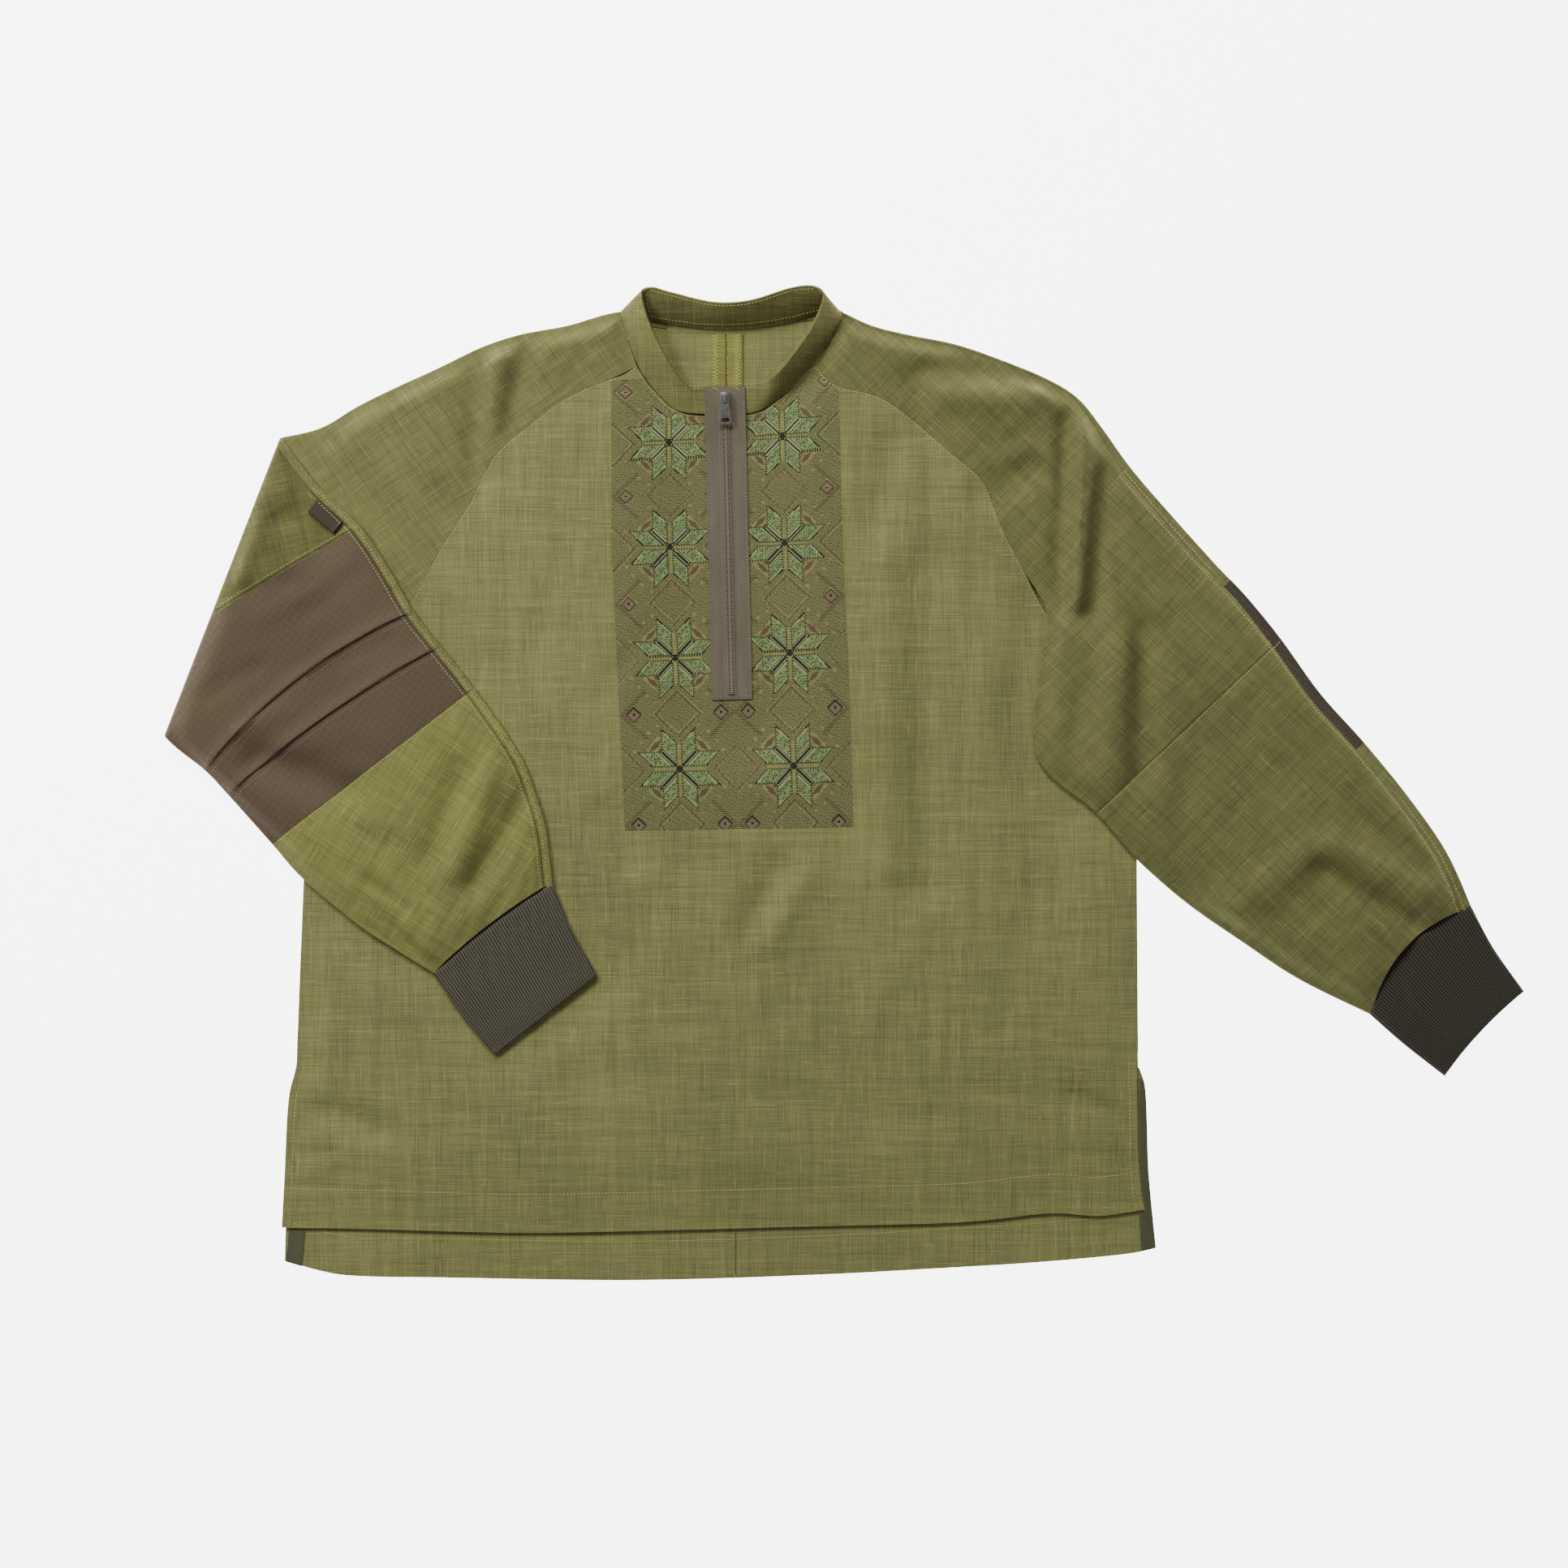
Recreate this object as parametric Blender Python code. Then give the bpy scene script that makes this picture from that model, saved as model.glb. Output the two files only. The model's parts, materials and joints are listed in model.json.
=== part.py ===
"""A linen pullover shirt laid flat, face up: zip neck, raglan sleeves, elbow patches, ribbed cuffs.

Tables and sizes are millimetres, X to the viewer's right, Y towards the collar, Z up from the floor.
The origin is on the floor under the middle of the whole outline. Left is the viewer's left.
"""

import math

import bmesh
import bpy
import numpy as np
from mathutils import Matrix, Vector

MM = 0.001

# Cloth and the levels of its layers
CLOTH = 1.2
GAP = 0.3
PITCH = 2.0
BACK_LEVEL = CLOTH / 2
FRONT_LEVEL = BACK_LEVEL + PITCH
FRONT_TOP = FRONT_LEVEL + CLOTH / 2
EDGE_RADIUS = PITCH / 2
QUARTER = EDGE_RADIUS * math.pi / 2
FOLD_HEIGHT = BACK_LEVEL + 1.5 * PITCH
OVERLAY = 2 * PITCH
SEAM_STEP = 0.01
CUFF_STEP = 0.02
HALF_GAP = GAP / 2
TURN_UNDER = 6.0
SHORT_OF_TURN = EDGE_RADIUS + TURN_UNDER - QUARTER + 6 * GAP
SPACING = 0.35
ROUND = (-QUARTER, -QUARTER / 2, 0.0, QUARTER / 2, QUARTER)
FAR = 99.0

# Relief of the cloth: how high it puffs and how far from an edge it lies pressed
BODY_PUFF = 1.4
SLEEVE_PUFF = 2.6
PRESSED = 26.0
SLEEVE_PRESSED = 20.0
EDGE_FLAT = 1.0
EDGE_ROLL = 0.5
COVER_CLEAR = 9.0
COVER_FREE = 40.0
SHOULDER_FREE = 32.0
TAPE_CLEAR = 9.0
TAPE_FREE = 35.0
CUFF_PUFF = 0.25
CUFF_FREE = 26.0

# Side seams, hems and neck, from the armpit down and from left to right
SIDE_LEFT = ((-413, 59), (-419, -72), (-424, -198), (-425, -219), (-431, -246), (-434, -304), (-436, -344))
SIDE_RIGHT = ((225, 62), (227, -56), (228, -207), (227, -217), (228, -288), (231, -320), (233, -330))
HEM_FRONT = ((-436, -344), (-372, -345), (-259, -348), (-176, -347), (-25, -343), (88, -340), (159, -333),
             (197, -335), (233, -330))
VENT_LEFT = ((-413, 59), (-419, -72), (-424, -198), (-425, -219), (-429, -246), (-432, -304), (-434, -370))
VENT_RIGHT = ((225, 62), (227, -56), (228, -207), (229, -220), (234, -238), (236, -294), (238, -320), (242, -360))
HEM_BACK = ((-434, -370), (-401, -379), (-374, -382), (-312, -383), (-164, -385), (-25, -381), (88, -375),
            (152, -371), (217, -365), (242, -360))
NECK_LEFT = ((-161, 324), (-152, 310), (-142, 299), (-132, 290), (-118, 286), (-95, 285))
NECK_RIGHT = ((-21, 324), (-28, 321), (-42, 305), (-52, 297), (-66, 288), (-93, 285))
BACK_NECK_LEFT = ((-151, 359), (-141, 357), (-107, 353), (-91, 352))
BACK_NECK_RIGHT = ((-19, 364), (-44, 358), (-73, 354), (-91, 352))
ARMPIT_RIGHT = ((192, 95), (225, 62))
HEM_CENTRE_FRONT = (-84, -345)
HEM_CENTRE_BACK = (-84, -383)

# Sleeves: a row for each section, from the neck to the cuff.
# outer: the point on the sleeve's top edge; inner: on the raglan seam or the underarm edge.
# bow: how far the middle of the row bends back towards the neck; seam: the outer-arm seam's distance
# in from the outer edge, positive on the front. folded: the point lies past the elbow fold.
RIGHT_SLEEVE = (
    # name, outer x, outer y, inner x, inner y, under x, under y, bow, seam
    ("neck", 0, 365, -21, 324, -19, 364, 0, 2.4),
    ("yoke", 22, 355, -6, 309, 4, 342, 0, 2.4),
    ("blade", 50, 348, 27, 300, 28, 316, 0, 2.4),
    ("shoulder", 85, 341, 55, 281, 56, 280, 0, 2.4),
    ("cap", 118, 330, 82, 257, 80, 248, 0, 2.4),
    ("cap_2", 157, 314, 108, 234, 104, 216, 0, 2.4),
    ("cap_3", 181, 299, 121, 201, 124, 190, 0, 2.8),
    ("cap_4", 199, 277, 140, 164, 144, 163, 0, 4.5),
    ("fold_start", 222, 245, 157, 132, 166, 135, 0, 7),
    ("armhole", 252, 210, 151, 84, 200, 94, 0, 8),
    ("armpit", 287, 171, 147, 38, 236, 52, 0, 8),
    ("upper_arm", 311, 146, 157, 9, 232, 8, 0, 8),
    ("elbow_seam", 338, 113, 195, -22, 232, -22, 0, 9),
    ("forearm", 369, 70, 227, -58, 231, -58, 0, 9),
    ("forearm_2", 403, 32, 266, -92, 266, -92, 0, 9),
    ("forearm_3", 438, -11, 309, -122, 309, -122, 2, 9),
    ("wrist", 467, -53, 353, -151, 353, -151, 6, 9),
    ("cuff_seam", 486, -95, 408, -178, 408, -178, 13, 9),
)
LEFT_SLEEVE = (
    # name, outer x, outer y, folded, inner x, inner y, folded, under x, under y, bow
    ("neck", -174, 366, False, -161, 324, False, -151, 359, 0),
    ("yoke", -188, 363, False, -178, 315, False, -168, 346, 0),
    ("blade", -215, 355, False, -201, 306, False, -190, 321, 0),
    ("shoulder", -252, 348, False, -220, 296, False, -216, 287, 0),
    ("cap", -282, 338, False, -244, 278, False, -240, 252, 0),
    ("cap_2", -315, 322, False, -271, 254, False, -262, 222, 0),
    ("cap_3", -350, 306, False, -293, 213, False, -290, 186, 0),
    ("cap_4", -378, 292, False, -313, 182, False, -316, 155, 0),
    ("armhole", -403, 277, False, -333, 146, False, -338, 130, 0),
    ("armhole_2", -428, 270, False, -378, 98, False, -378, 91, 0),
    ("armpit", -408, 231, True, -413, 59, False, -414, 60, 0),
    ("patch_top", -376, 200, True, -469, 50, False, -469, 50, 0),
    ("elbow", -354, 168, True, -527, 38, True, -527, 38, 4),
    ("tuck_1", -334, 134, True, -495, 11, True, -495, 11, 12),
    ("tuck_2", -313, 107, True, -477, -8, True, -477, -8, 6),
    ("elbow_seam", -287, 74, True, -443, -46, True, -443, -46, 0),
    ("forearm", -253, 25, True, -419, -73, True, -419, -73, 0),
    ("forearm_2", -240, -6, True, -375, -110, True, -375, -110, 0),
    ("wrist", -231, -37, True, -346, -129, True, -346, -129, 0),
    ("cuff_seam", -226, -79, True, -317, -147, True, -317, -147, 3),
)
LEFT_SEAM = -6.5
FOLD_TOP = (-440, 262)
FOLD_BOTTOM = (-527, 38)
FOLD_ALONG = (Vector(FOLD_BOTTOM) - Vector(FOLD_TOP)).normalized()
FOLD_OUT = Vector((FOLD_ALONG.y, -FOLD_ALONG.x))
OUTER_BEND = FOLD_HEIGHT - BACK_LEVEL
INNER_BEND = FOLD_HEIGHT - FRONT_LEVEL
MIDDLE_BEND = (OUTER_BEND + INNER_BEND) / 2
FOLD_AXIS = Vector(FOLD_TOP) - FOLD_OUT * (OUTER_BEND + CLOTH / 2)
PATCH_ABOVE = 1.5
PATCH_BELOW = 2.0

# Cuffs: seam end and hem end of each edge
RIGHT_CUFF = (("seam", 486, -95, 408, -178, 13), ("middle", 503, -127, 434, -201, 7),
              ("hem", 527, -161, 466, -226, 3))
LEFT_CUFF = (("seam", -226, -79, -317, -147, 3), ("middle", -210, -117, -295, -180, 1),
             ("hem", -192, -148, -271, -209, 0))
RIB_COUNT = 48
RIB_HEIGHT = 0.45
RIB_MARGIN = 0.02

# Folds of the cloth: soft ridges, or troughs where the height is negative
FOLDS = (
    # from x, y, to x, y, half width, height
    (173, 281, 167, 142, 8, -2.2), (186, 287, 180, 142, 9, 2.4), (201, 237, 192, 136, 10, -2.0),
    (234, 117, 230, 10, 12, -2.6), (212, 111, 208, 10, 12, 1.8), (365, -66, 441, -110, 9, -2.4),
    (359, -56, 290, -103, 13, 1.8), (378, -46, 450, -84, 9, 1.8), (54, 312, 63, 275, 11, -2.2),
    (70, 320, 158, 322, 11, -1.6), (80, 300, 150, 296, 12, 1.4), (38, 268, 28, 205, 10, -1.4),
    (110, 224, 142, 243, 11, -2.2), (-285, 338, -284, 231, 9, -2.0), (-246, 338, -265, 268, 10, -1.6),
    (-267, 338, -274, 256, 10, 1.8), (-441, 205, -390, 208, 10, -1.6), (-246, -9, -284, -78, 10, -2.2),
    (-296, 10, -321, -59, 10, -1.8), (-271, 10, -302, -66, 10, 1.8), (-454, 20, -384, -3, 8, -1.4),
    (-183, -21, -164, -59, 11, -1.2), (-50, -66, -76, -116, 12, -1.2), (-30, -70, -58, -120, 12, 1.0),
    (63, 168, 63, -84, 14, -0.9), (30, 168, 34, -60, 16, 0.8), (-410, -255, -359, -267, 10, -1.0),
    (-365, -78, -337, -125, 8, -1.6),
)
TUCK_DEPTH = 9.0
TUCK_HEIGHT = 1.3
TUCK_EDGE = 1.5
TUCK_FADE = 10.0

# The front's slit under the zip
HALF_SLIT = 0.6
SLIT_FOOT = 75.0

# Areas of the body that the folded left sleeve and the right sleeve cover, and where the right one is lifted
LEFT_COVER = ((-440, 262), (-408, 232), (-376, 200), (-337, 140), (-313, 107), (-287, 74), (-253, 25),
              (-240, -6), (-231, -37), (-226, -79), (-210, -117), (-192, -148), (-271, -209), (-295, -180),
              (-317, -147), (-375, -110), (-419, -73), (-443, -46), (-527, 38))
RIGHT_COVER = ((157, 132), (151, 84), (147, 38), (157, 9), (195, -22), (227, -58), (309, -122), (408, -178),
               (486, -95), (438, -11), (338, 113), (252, 210), (222, 245))
BODY_RIGHT = ((157, 132), (225, 62), (227, -56), (228, -207), (0, -207), (0, 132))
LIFT_CLEAR = 14.0
LIFT_END = 36.0
LIFT_STEPS = ((-164.0, -138.0), (-136.0, -112.0))

# Collar band: a row for each station round the neck, seam edge, top edge, height of the top edge
COLLAR = (
    # seam x, seam y, top x, top y, top z
    (-95.5, 285.6, -94.8, 306.2, 4.6), (-110, 286, -107, 306.2, 5.2), (-131, 290, -122, 307, 9),
    (-151, 310, -134, 323, 14), (-160, 324, -142, 337, 17), (-165.5, 338, -148, 350, 19),
    (-170.5, 353, -153, 363, 20), (-173, 365.5, -155.8, 379, 20.5), (-163, 362.4, -148, 383, 20),
    (-141, 357.4, -134, 379.3, 19.5), (-107, 353, -101, 371.7, 19.5), (-73, 353.7, -73, 373, 20),
    (-44, 358, -42, 382.4, 20), (-20, 364, -25, 384.2, 20), (-5, 366.5, -17, 379, 20.5),
    (-2, 359, -17.6, 370, 20), (-12, 343, -24, 355, 20.5), (-25, 327, -32, 342, 20), (-42, 306, -49, 320, 18),
    (-66, 289, -63, 308.7, 9), (-80, 286, -80, 307.5, 5.2), (-92.8, 285.6, -92, 307.5, 4.6),
)
BAND_WALL = 2.0
BAND_FOOT = 3.2
BAND_INSET = 1.2
BAND_BULGE = 0.8
BAND_ROLL = 0.06
BAND_STATIONS = 56

# Zip: centre line from its foot to its top end, tape, coil, slider and pull tab
ZIP_FOOT = (-86.9, 65.5)
ZIP_TOP = (-92.7, 307.8)
TAPE_HALF = 15.8
TAPE_WALL = 1.0
COIL_HALF = 2.6
COIL_HEIGHT = 1.3
ZIP_ON_FRONT = FRONT_TOP + GAP
ZIP_ON_BAND = 4.9
ZIP_RISE = 1.9
COLLAR_STEP = (262.0, 284.0)
COLLAR_SLOPE = (280.0, 308.0)
COIL_SHORT = 0.8
SLIDER_FROM_TOP = 9.0
SLIDER_LENGTH = 9.0
SLIDER_WIDTH = 7.4
SLIDER_HEIGHT = 3.0
SLIDER_TAPER = 0.8
BRIDGE_LENGTH = 7.6
BRIDGE_WIDTH = 2.8
BRIDGE_HEIGHT = 3.2
BRIDGE_WALL = 0.9
BRIDGE_CORNER = 0.8
BRIDGE_SINK = 0.3
PIN_AHEAD = 1.9
PIN_HALF = 0.6
EYE_WIDTH = 6.4
EYE_RAIL = 1.2
EYE_LENGTH = 6.4
TAB_LENGTH = 22.5
TAB_TOP = 7.2
TAB_FOOT = 10.2
TAB_WALL = 1.0
TAB_HOLE = (6.6, 3.2)
TAB_HOLE_UP = 3.7
TAB_HOLE_CORNER = 0.8
TAB_NECK = 1.4
TAB_CORNER = 1.6
TAB_FLARE = 3.4
CUTTER_REACH = 2.0
TAB_TILT = 3.0

# Small pieces
ALLOWANCE_LEFT = (-103.5, -92.0)
ALLOWANCE_RIGHT = (-90.5, -79.0)
ALLOWANCE_FOOT = 303.5
ALLOWANCE_TOP = 349.5
LOOP_CORNERS = ((-407.6, 219.9), (-388.1, 202.9), (-395.6, 194.0), (-414.5, 211.7))
LOOP_WALL = 1.0
LOOP_MARGIN = 0.005
FACING_WALL = 1.0
FACING_RIGHT = (
    # inner x, y, outer x, y: down the front's edge, then the whole width below its hem
    (229.6, -228, 231.0, -228), (229.6, -244, 234.2, -244), (230.0, -294, 235.2, -294),
    (232.6, -320, 237.2, -320), (235.0, -332.4, 238.4, -332.4), (229.0, -334.6, 238.8, -334.0),
    (230.5, -362.0, 241.2, -359.6),
)
FACING_LEFT = (
    (-418.6, -346.8, -430.6, -346.4), (-419.4, -360, -431.6, -359), (-421.0, -374, -433.0, -370.5),
)


def clear_scene():
    """Removes whatever the scene holds."""
    for found in list(bpy.data.objects):
        bpy.data.objects.remove(found, do_unlink=True)


def finish(name, colour, roughness, metallic=0.0):
    """A Principled material with one colour."""
    material = bpy.data.materials.new(name)
    material.use_nodes = True
    shader = material.node_tree.nodes["Principled BSDF"]
    shader.inputs["Base Color"].default_value = (*colour, 1.0)
    shader.inputs["Roughness"].default_value = roughness
    shader.inputs["Metallic"].default_value = metallic
    return material


# Numbers along curves and over areas


def ease(value, low, high):
    """0 below low, 1 above high, smooth between."""
    share = np.clip((np.asarray(value, float) - low) / (high - low), 0.0, 1.0)
    return share * share * (3 - 2 * share)


def spline(points, at):
    """Catmull-Rom curve through the points, read at positions counted in points from 0."""
    points = np.asarray(points, float)
    last = len(points) - 1
    at = np.clip(np.atleast_1d(np.asarray(at, float)), 0, last)
    first = np.minimum(at.astype(int), last - 1)
    share = (at - first)[:, None]
    before = points[np.maximum(first - 1, 0)]
    start, end = points[first], points[first + 1]
    after = points[np.minimum(first + 2, last)]
    return 0.5 * (2 * start + (end - before) * share
                  + (2 * before - 5 * start + 4 * end - after) * share ** 2
                  + (3 * start - before - 3 * end + after) * share ** 3)


def evenly(points, count):
    """The curve through the points, as count points an even distance apart."""
    fine = spline(points, np.linspace(0, len(points) - 1, 16 * len(points)))
    walked = np.concatenate([[0], np.cumsum(np.linalg.norm(np.diff(fine, axis=0), axis=1))])
    wanted = np.linspace(0, walked[-1], count)
    return np.stack([np.interp(wanted, walked, fine[:, k]) for k in range(fine.shape[1])], axis=1)


def distance_to(line, x, y):
    """Distance in plan from each place to a line of points."""
    line = np.asarray(line, float)
    places = np.stack([x, y], axis=-1)[..., None, :]
    start, span = line[:-1], np.diff(line, axis=0)
    share = ((places - start) * span).sum(-1) / (span ** 2).sum(-1)
    nearest = start + np.clip(share, 0, 1)[..., None] * span
    return np.linalg.norm(places - nearest, axis=-1).min(axis=-1)


def inside(outline, x, y):
    """Whether each place lies within a closed outline."""
    outline = np.asarray(outline, float)
    within = np.zeros(np.shape(x), bool)
    for (ax, ay), (bx, by) in zip(outline, np.roll(outline, -1, axis=0)):
        if ay == by:
            continue
        crosses = (ay > y) != (by > y)
        within ^= crosses & (x < (bx - ax) * (y - ay) / (by - ay) + ax)
    return within


def outside_by(outline, x, y):
    """Distance outside a closed outline, negative within it."""
    closed = list(outline) + [outline[0]]
    return distance_to(closed, x, y) * np.where(inside(outline, x, y), -1, 1)


def folds_at(x, y):
    """Height of all the soft folds together at each place."""
    height = np.zeros(np.shape(x))
    for start_x, start_y, end_x, end_y, width, rise in FOLDS:
        away = distance_to(((start_x, start_y), (end_x, end_y)), x, y)
        height = height + rise * np.exp(-(away / width) ** 2)
    return height


# Meshes


def new_object(name, mesh, material):
    made = bpy.data.objects.new(name, mesh)
    bpy.context.scene.collection.objects.link(made)
    mesh.materials.clear()
    mesh.materials.append(material)
    mesh.shade_smooth()
    mesh.set_sharp_from_angle(angle=math.radians(40))
    return made


def walled(mesh, wall):
    """The sheet's mesh with a wall's thickness, half to each side."""
    carrier = bpy.data.objects.new("carrier", mesh)
    bpy.context.scene.collection.objects.link(carrier)
    thicken = carrier.modifiers.new("wall", "SOLIDIFY")
    thicken.thickness = wall * MM
    thicken.offset = 0.0
    thicken.use_even_offset = True
    graph = bpy.context.evaluated_depsgraph_get()
    solid = bpy.data.meshes.new_from_object(carrier.evaluated_get(graph))
    bpy.data.objects.remove(carrier, do_unlink=True)
    return solid


def grid_mesh(name, points, slit=None):
    """A sheet of four-sided faces through rows and columns of points."""
    rows, columns = points.shape[:2]
    bm = bmesh.new()
    bmesh.ops.create_grid(bm, x_segments=columns - 1, y_segments=rows - 1, size=1.0)
    places = {}
    for vertex in bm.verts:
        column = round((vertex.co.x + 1) / 2 * (columns - 1))
        row = round((vertex.co.y + 1) / 2 * (rows - 1))
        places[vertex] = (row, column)
    if slit:
        middle, foot = slit
        edges = [e for e in bm.edges
                 if all(places[v][1] == middle and places[v][0] >= foot for v in e.verts)]
        sides = {f: np.mean([places[v][1] for v in f.verts]) for f in bm.faces}
        bmesh.ops.split_edges(bm, edges=edges)
        centred = {tuple(round(c, 5) for c in v.co): place for v, place in places.items() if v.is_valid}
        for vertex in bm.verts:
            place = centred[tuple(round(c, 5) for c in vertex.co)]
            places[vertex] = place
            if place[1] == middle and place[0] > foot:
                side = np.mean([sides[f] for f in vertex.link_faces])
                places[vertex] = (*place, HALF_SLIT if side > middle else -HALF_SLIT)
    for vertex in bm.verts:
        row, column, *shift = places[vertex]
        vertex.co = Vector(points[row, column]) * MM
        if shift:
            vertex.co.x += shift[0] * MM
    bmesh.ops.triangulate(bm, faces=bm.faces)
    bmesh.ops.recalc_face_normals(bm, faces=bm.faces)
    mesh = bpy.data.meshes.new(name)
    bm.to_mesh(mesh)
    bm.free()
    return mesh


def cloth(name, points, material, shape=None, wall=CLOTH, cuts=(), slit=None):
    """A named piece of cloth: a grid of points given a wall, cut along planes, then shaped.

    shape takes and returns x, y and z in millimetres. A cut is a point and a normal in plan.
    """
    mesh = walled(grid_mesh(name, points, slit), wall)
    bm = bmesh.new()
    bm.from_mesh(mesh)
    for place, normal in cuts:
        everything = bm.verts[:] + bm.edges[:] + bm.faces[:]
        bmesh.ops.bisect_plane(bm, geom=everything, dist=1e-7, plane_co=Vector((*place, 0)) * MM,
                               plane_no=Vector((*normal, 0)))
    bmesh.ops.triangulate(bm, faces=bm.faces)
    if shape:
        found = np.array([v.co for v in bm.verts]) / MM
        moved = np.stack(shape(*found.T), axis=1)
        for vertex, place in zip(bm.verts, moved):
            vertex.co = Vector(place) * MM
    bmesh.ops.recalc_face_normals(bm, faces=bm.faces)
    if bm.calc_volume(signed=True) < 0:
        bmesh.ops.reverse_faces(bm, faces=bm.faces)
    bm.to_mesh(mesh)
    bm.free()
    return new_object(name, mesh, material)


# Front and back


def row_index(table, name):
    return next(k for k, row in enumerate(table) if row[0] == name)


def raglan_left():
    """The left raglan seam, from the armpit to the neck."""
    return [row[4:6] for row in LEFT_SLEEVE[:row_index(LEFT_SLEEVE, "armpit") + 1]][::-1]


def raglan_right():
    """The right raglan seam, from the armpit to the neck."""
    shown = [row[3:5] for row in RIGHT_SLEEVE[:row_index(RIGHT_SLEEVE, "fold_start") + 1]]
    return [*ARMPIT_RIGHT[::-1], *shown[::-1]]


def patch_between(bottom, top, side, centre):
    """A Coons patch: rows from bottom to top, columns from the side to the centre."""
    rows, columns = len(side), len(bottom)
    u = np.linspace(0, 1, columns)[None, :, None]
    v = np.linspace(0, 1, rows)[:, None, None]
    flat = ((1 - v) * bottom[None] + v * top[None] + (1 - u) * side[:, None] + u * centre[:, None]
            - (1 - u) * (1 - v) * bottom[0] - u * (1 - v) * bottom[-1]
            - (1 - u) * v * top[0] - u * v * top[-1])
    return flat


def set_in(line, inwards):
    """A line of points moved half a seam gap to one side, towards a place inside."""
    line = np.asarray(line, float)
    along = np.gradient(line, axis=0)
    across = np.stack([-along[:, 1], along[:, 0]], axis=1)
    across /= np.linalg.norm(across, axis=1)[:, None]
    turn = np.sign(((np.asarray(inwards, float) - line) * across).sum(axis=1))[:, None]
    return line + across * turn * HALF_GAP


def half_panel(side, hem, raglan, neck, centre_foot, counts):
    """Half a body panel in plan, from its side seam to its centre line."""
    neck_columns, rows = counts
    top = np.concatenate([set_in(raglan, centre_foot), evenly(neck, neck_columns + 1)[1:]])
    foot = evenly(hem, 60)
    along = np.linspace(side[-1][0], centre_foot[0], len(top))
    bottom = np.stack([along, np.interp(along, foot[:, 0], foot[:, 1])], axis=1)
    seam = evenly(side[::-1], rows + 1)
    line = np.linspace(bottom[-1], top[-1], rows + 1)
    return patch_between(bottom, top, seam, line)


def lifted(plan, level):
    """Plan points with one height."""
    return np.concatenate([plan, np.full((*plan.shape[:2], 1), level)], axis=2)


def front_relief(x, y):
    """How far the front stands above its flat level."""
    edges = (SIDE_LEFT, SIDE_RIGHT, HEM_FRONT, raglan_left(), raglan_right(), NECK_LEFT, NECK_RIGHT)
    away = np.min([distance_to(edge, x, y) for edge in edges], axis=0)
    free = ease(away, EDGE_FLAT, PRESSED)
    free = free * ease(outside_by(LEFT_COVER, x, y), COVER_CLEAR, COVER_FREE)
    free = free * ease(outside_by(RIGHT_COVER, x, y), COVER_CLEAR, COVER_FREE)
    zip_away = distance_to((ZIP_FOOT, ZIP_TOP), x, y)
    free = free * ease(zip_away, TAPE_HALF + TAPE_CLEAR, TAPE_HALF + TAPE_FREE)
    return np.maximum(0, (BODY_PUFF + folds_at(x, y)) * free)


def build_front(linen):
    """The front: one piece, slit from the neck under the zip."""
    counts = (4, 20)
    left = half_panel(SIDE_LEFT, HEM_FRONT, raglan_left(), NECK_LEFT, HEM_CENTRE_FRONT, counts)
    right = half_panel(SIDE_RIGHT, HEM_FRONT, raglan_right(), NECK_RIGHT, HEM_CENTRE_FRONT, counts)
    middle = (left[:, -1] + right[:, -1]) / 2
    plan = np.concatenate([left[:, :-1], middle[:, None], right[:, -2::-1]], axis=1)
    foot = int(np.argmax(middle[:, 1] > SLIT_FOOT))

    def shape(x, y, z):
        return x, y, z + front_relief(x, y)

    return cloth("front", lifted(plan, FRONT_LEVEL), linen, shape, slit=(left.shape[1] - 1, foot))


def build_back(linen):
    """The two halves of the back, flat on the floor, a seam apart."""
    counts = (3, 7)
    left_seam = [row[7:9] for row in LEFT_SLEEVE[:row_index(LEFT_SLEEVE, "armpit") + 1]][::-1]
    right_seam = [ARMPIT_RIGHT[-1]] + [row[5:7] for row in RIGHT_SLEEVE[:row_index(RIGHT_SLEEVE, "armpit")]][::-1]
    left = half_panel(VENT_LEFT, HEM_BACK, left_seam, BACK_NECK_LEFT, HEM_CENTRE_BACK, counts)
    right = half_panel(VENT_RIGHT, HEM_BACK, right_seam, BACK_NECK_RIGHT, HEM_CENTRE_BACK, counts)
    left[:, -1, 0] -= HALF_GAP
    right[:, -1, 0] += HALF_GAP
    cloth("back_left", lifted(left, BACK_LEVEL), linen)
    cloth("back_right", lifted(right, BACK_LEVEL), linen)


def strip(name, corners, level, wall, material, rows=2):
    """A flat four-cornered piece of cloth. Corners run foot left, foot right, top right, top left."""
    foot_left, foot_right, top_right, top_left = (np.array(c, float) for c in corners)
    left = np.linspace(foot_left, top_left, rows)
    right = np.linspace(foot_right, top_right, rows)
    return cloth(name, lifted(np.stack([left, right], axis=1), level), material, wall=wall)


def build_allowances(linen):
    """The centre-back seam's allowances, pressed open, where the neck shows them."""
    level = CLOTH + GAP + CLOTH / 2
    for name, (near, far) in (("back_allowance_left", ALLOWANCE_LEFT), ("back_allowance_right", ALLOWANCE_RIGHT)):
        corners = ((near, ALLOWANCE_FOOT), (far, ALLOWANCE_FOOT), (far, ALLOWANCE_TOP), (near, ALLOWANCE_TOP))
        strip(name, corners, level, CLOTH, linen, rows=4)


def build_facings(tape):
    """The herringbone facings of the back's vents, where they show past the front."""
    level = CLOTH + GAP + FACING_WALL / 2
    for name, table in (("vent_facing_right", FACING_RIGHT), ("vent_facing_left", FACING_LEFT)):
        plan = np.array([[row[0:2], row[2:4]] for row in table], float)
        cloth(name, lifted(plan, level), tape, wall=FACING_WALL)


# Sleeves as flat tubes


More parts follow.
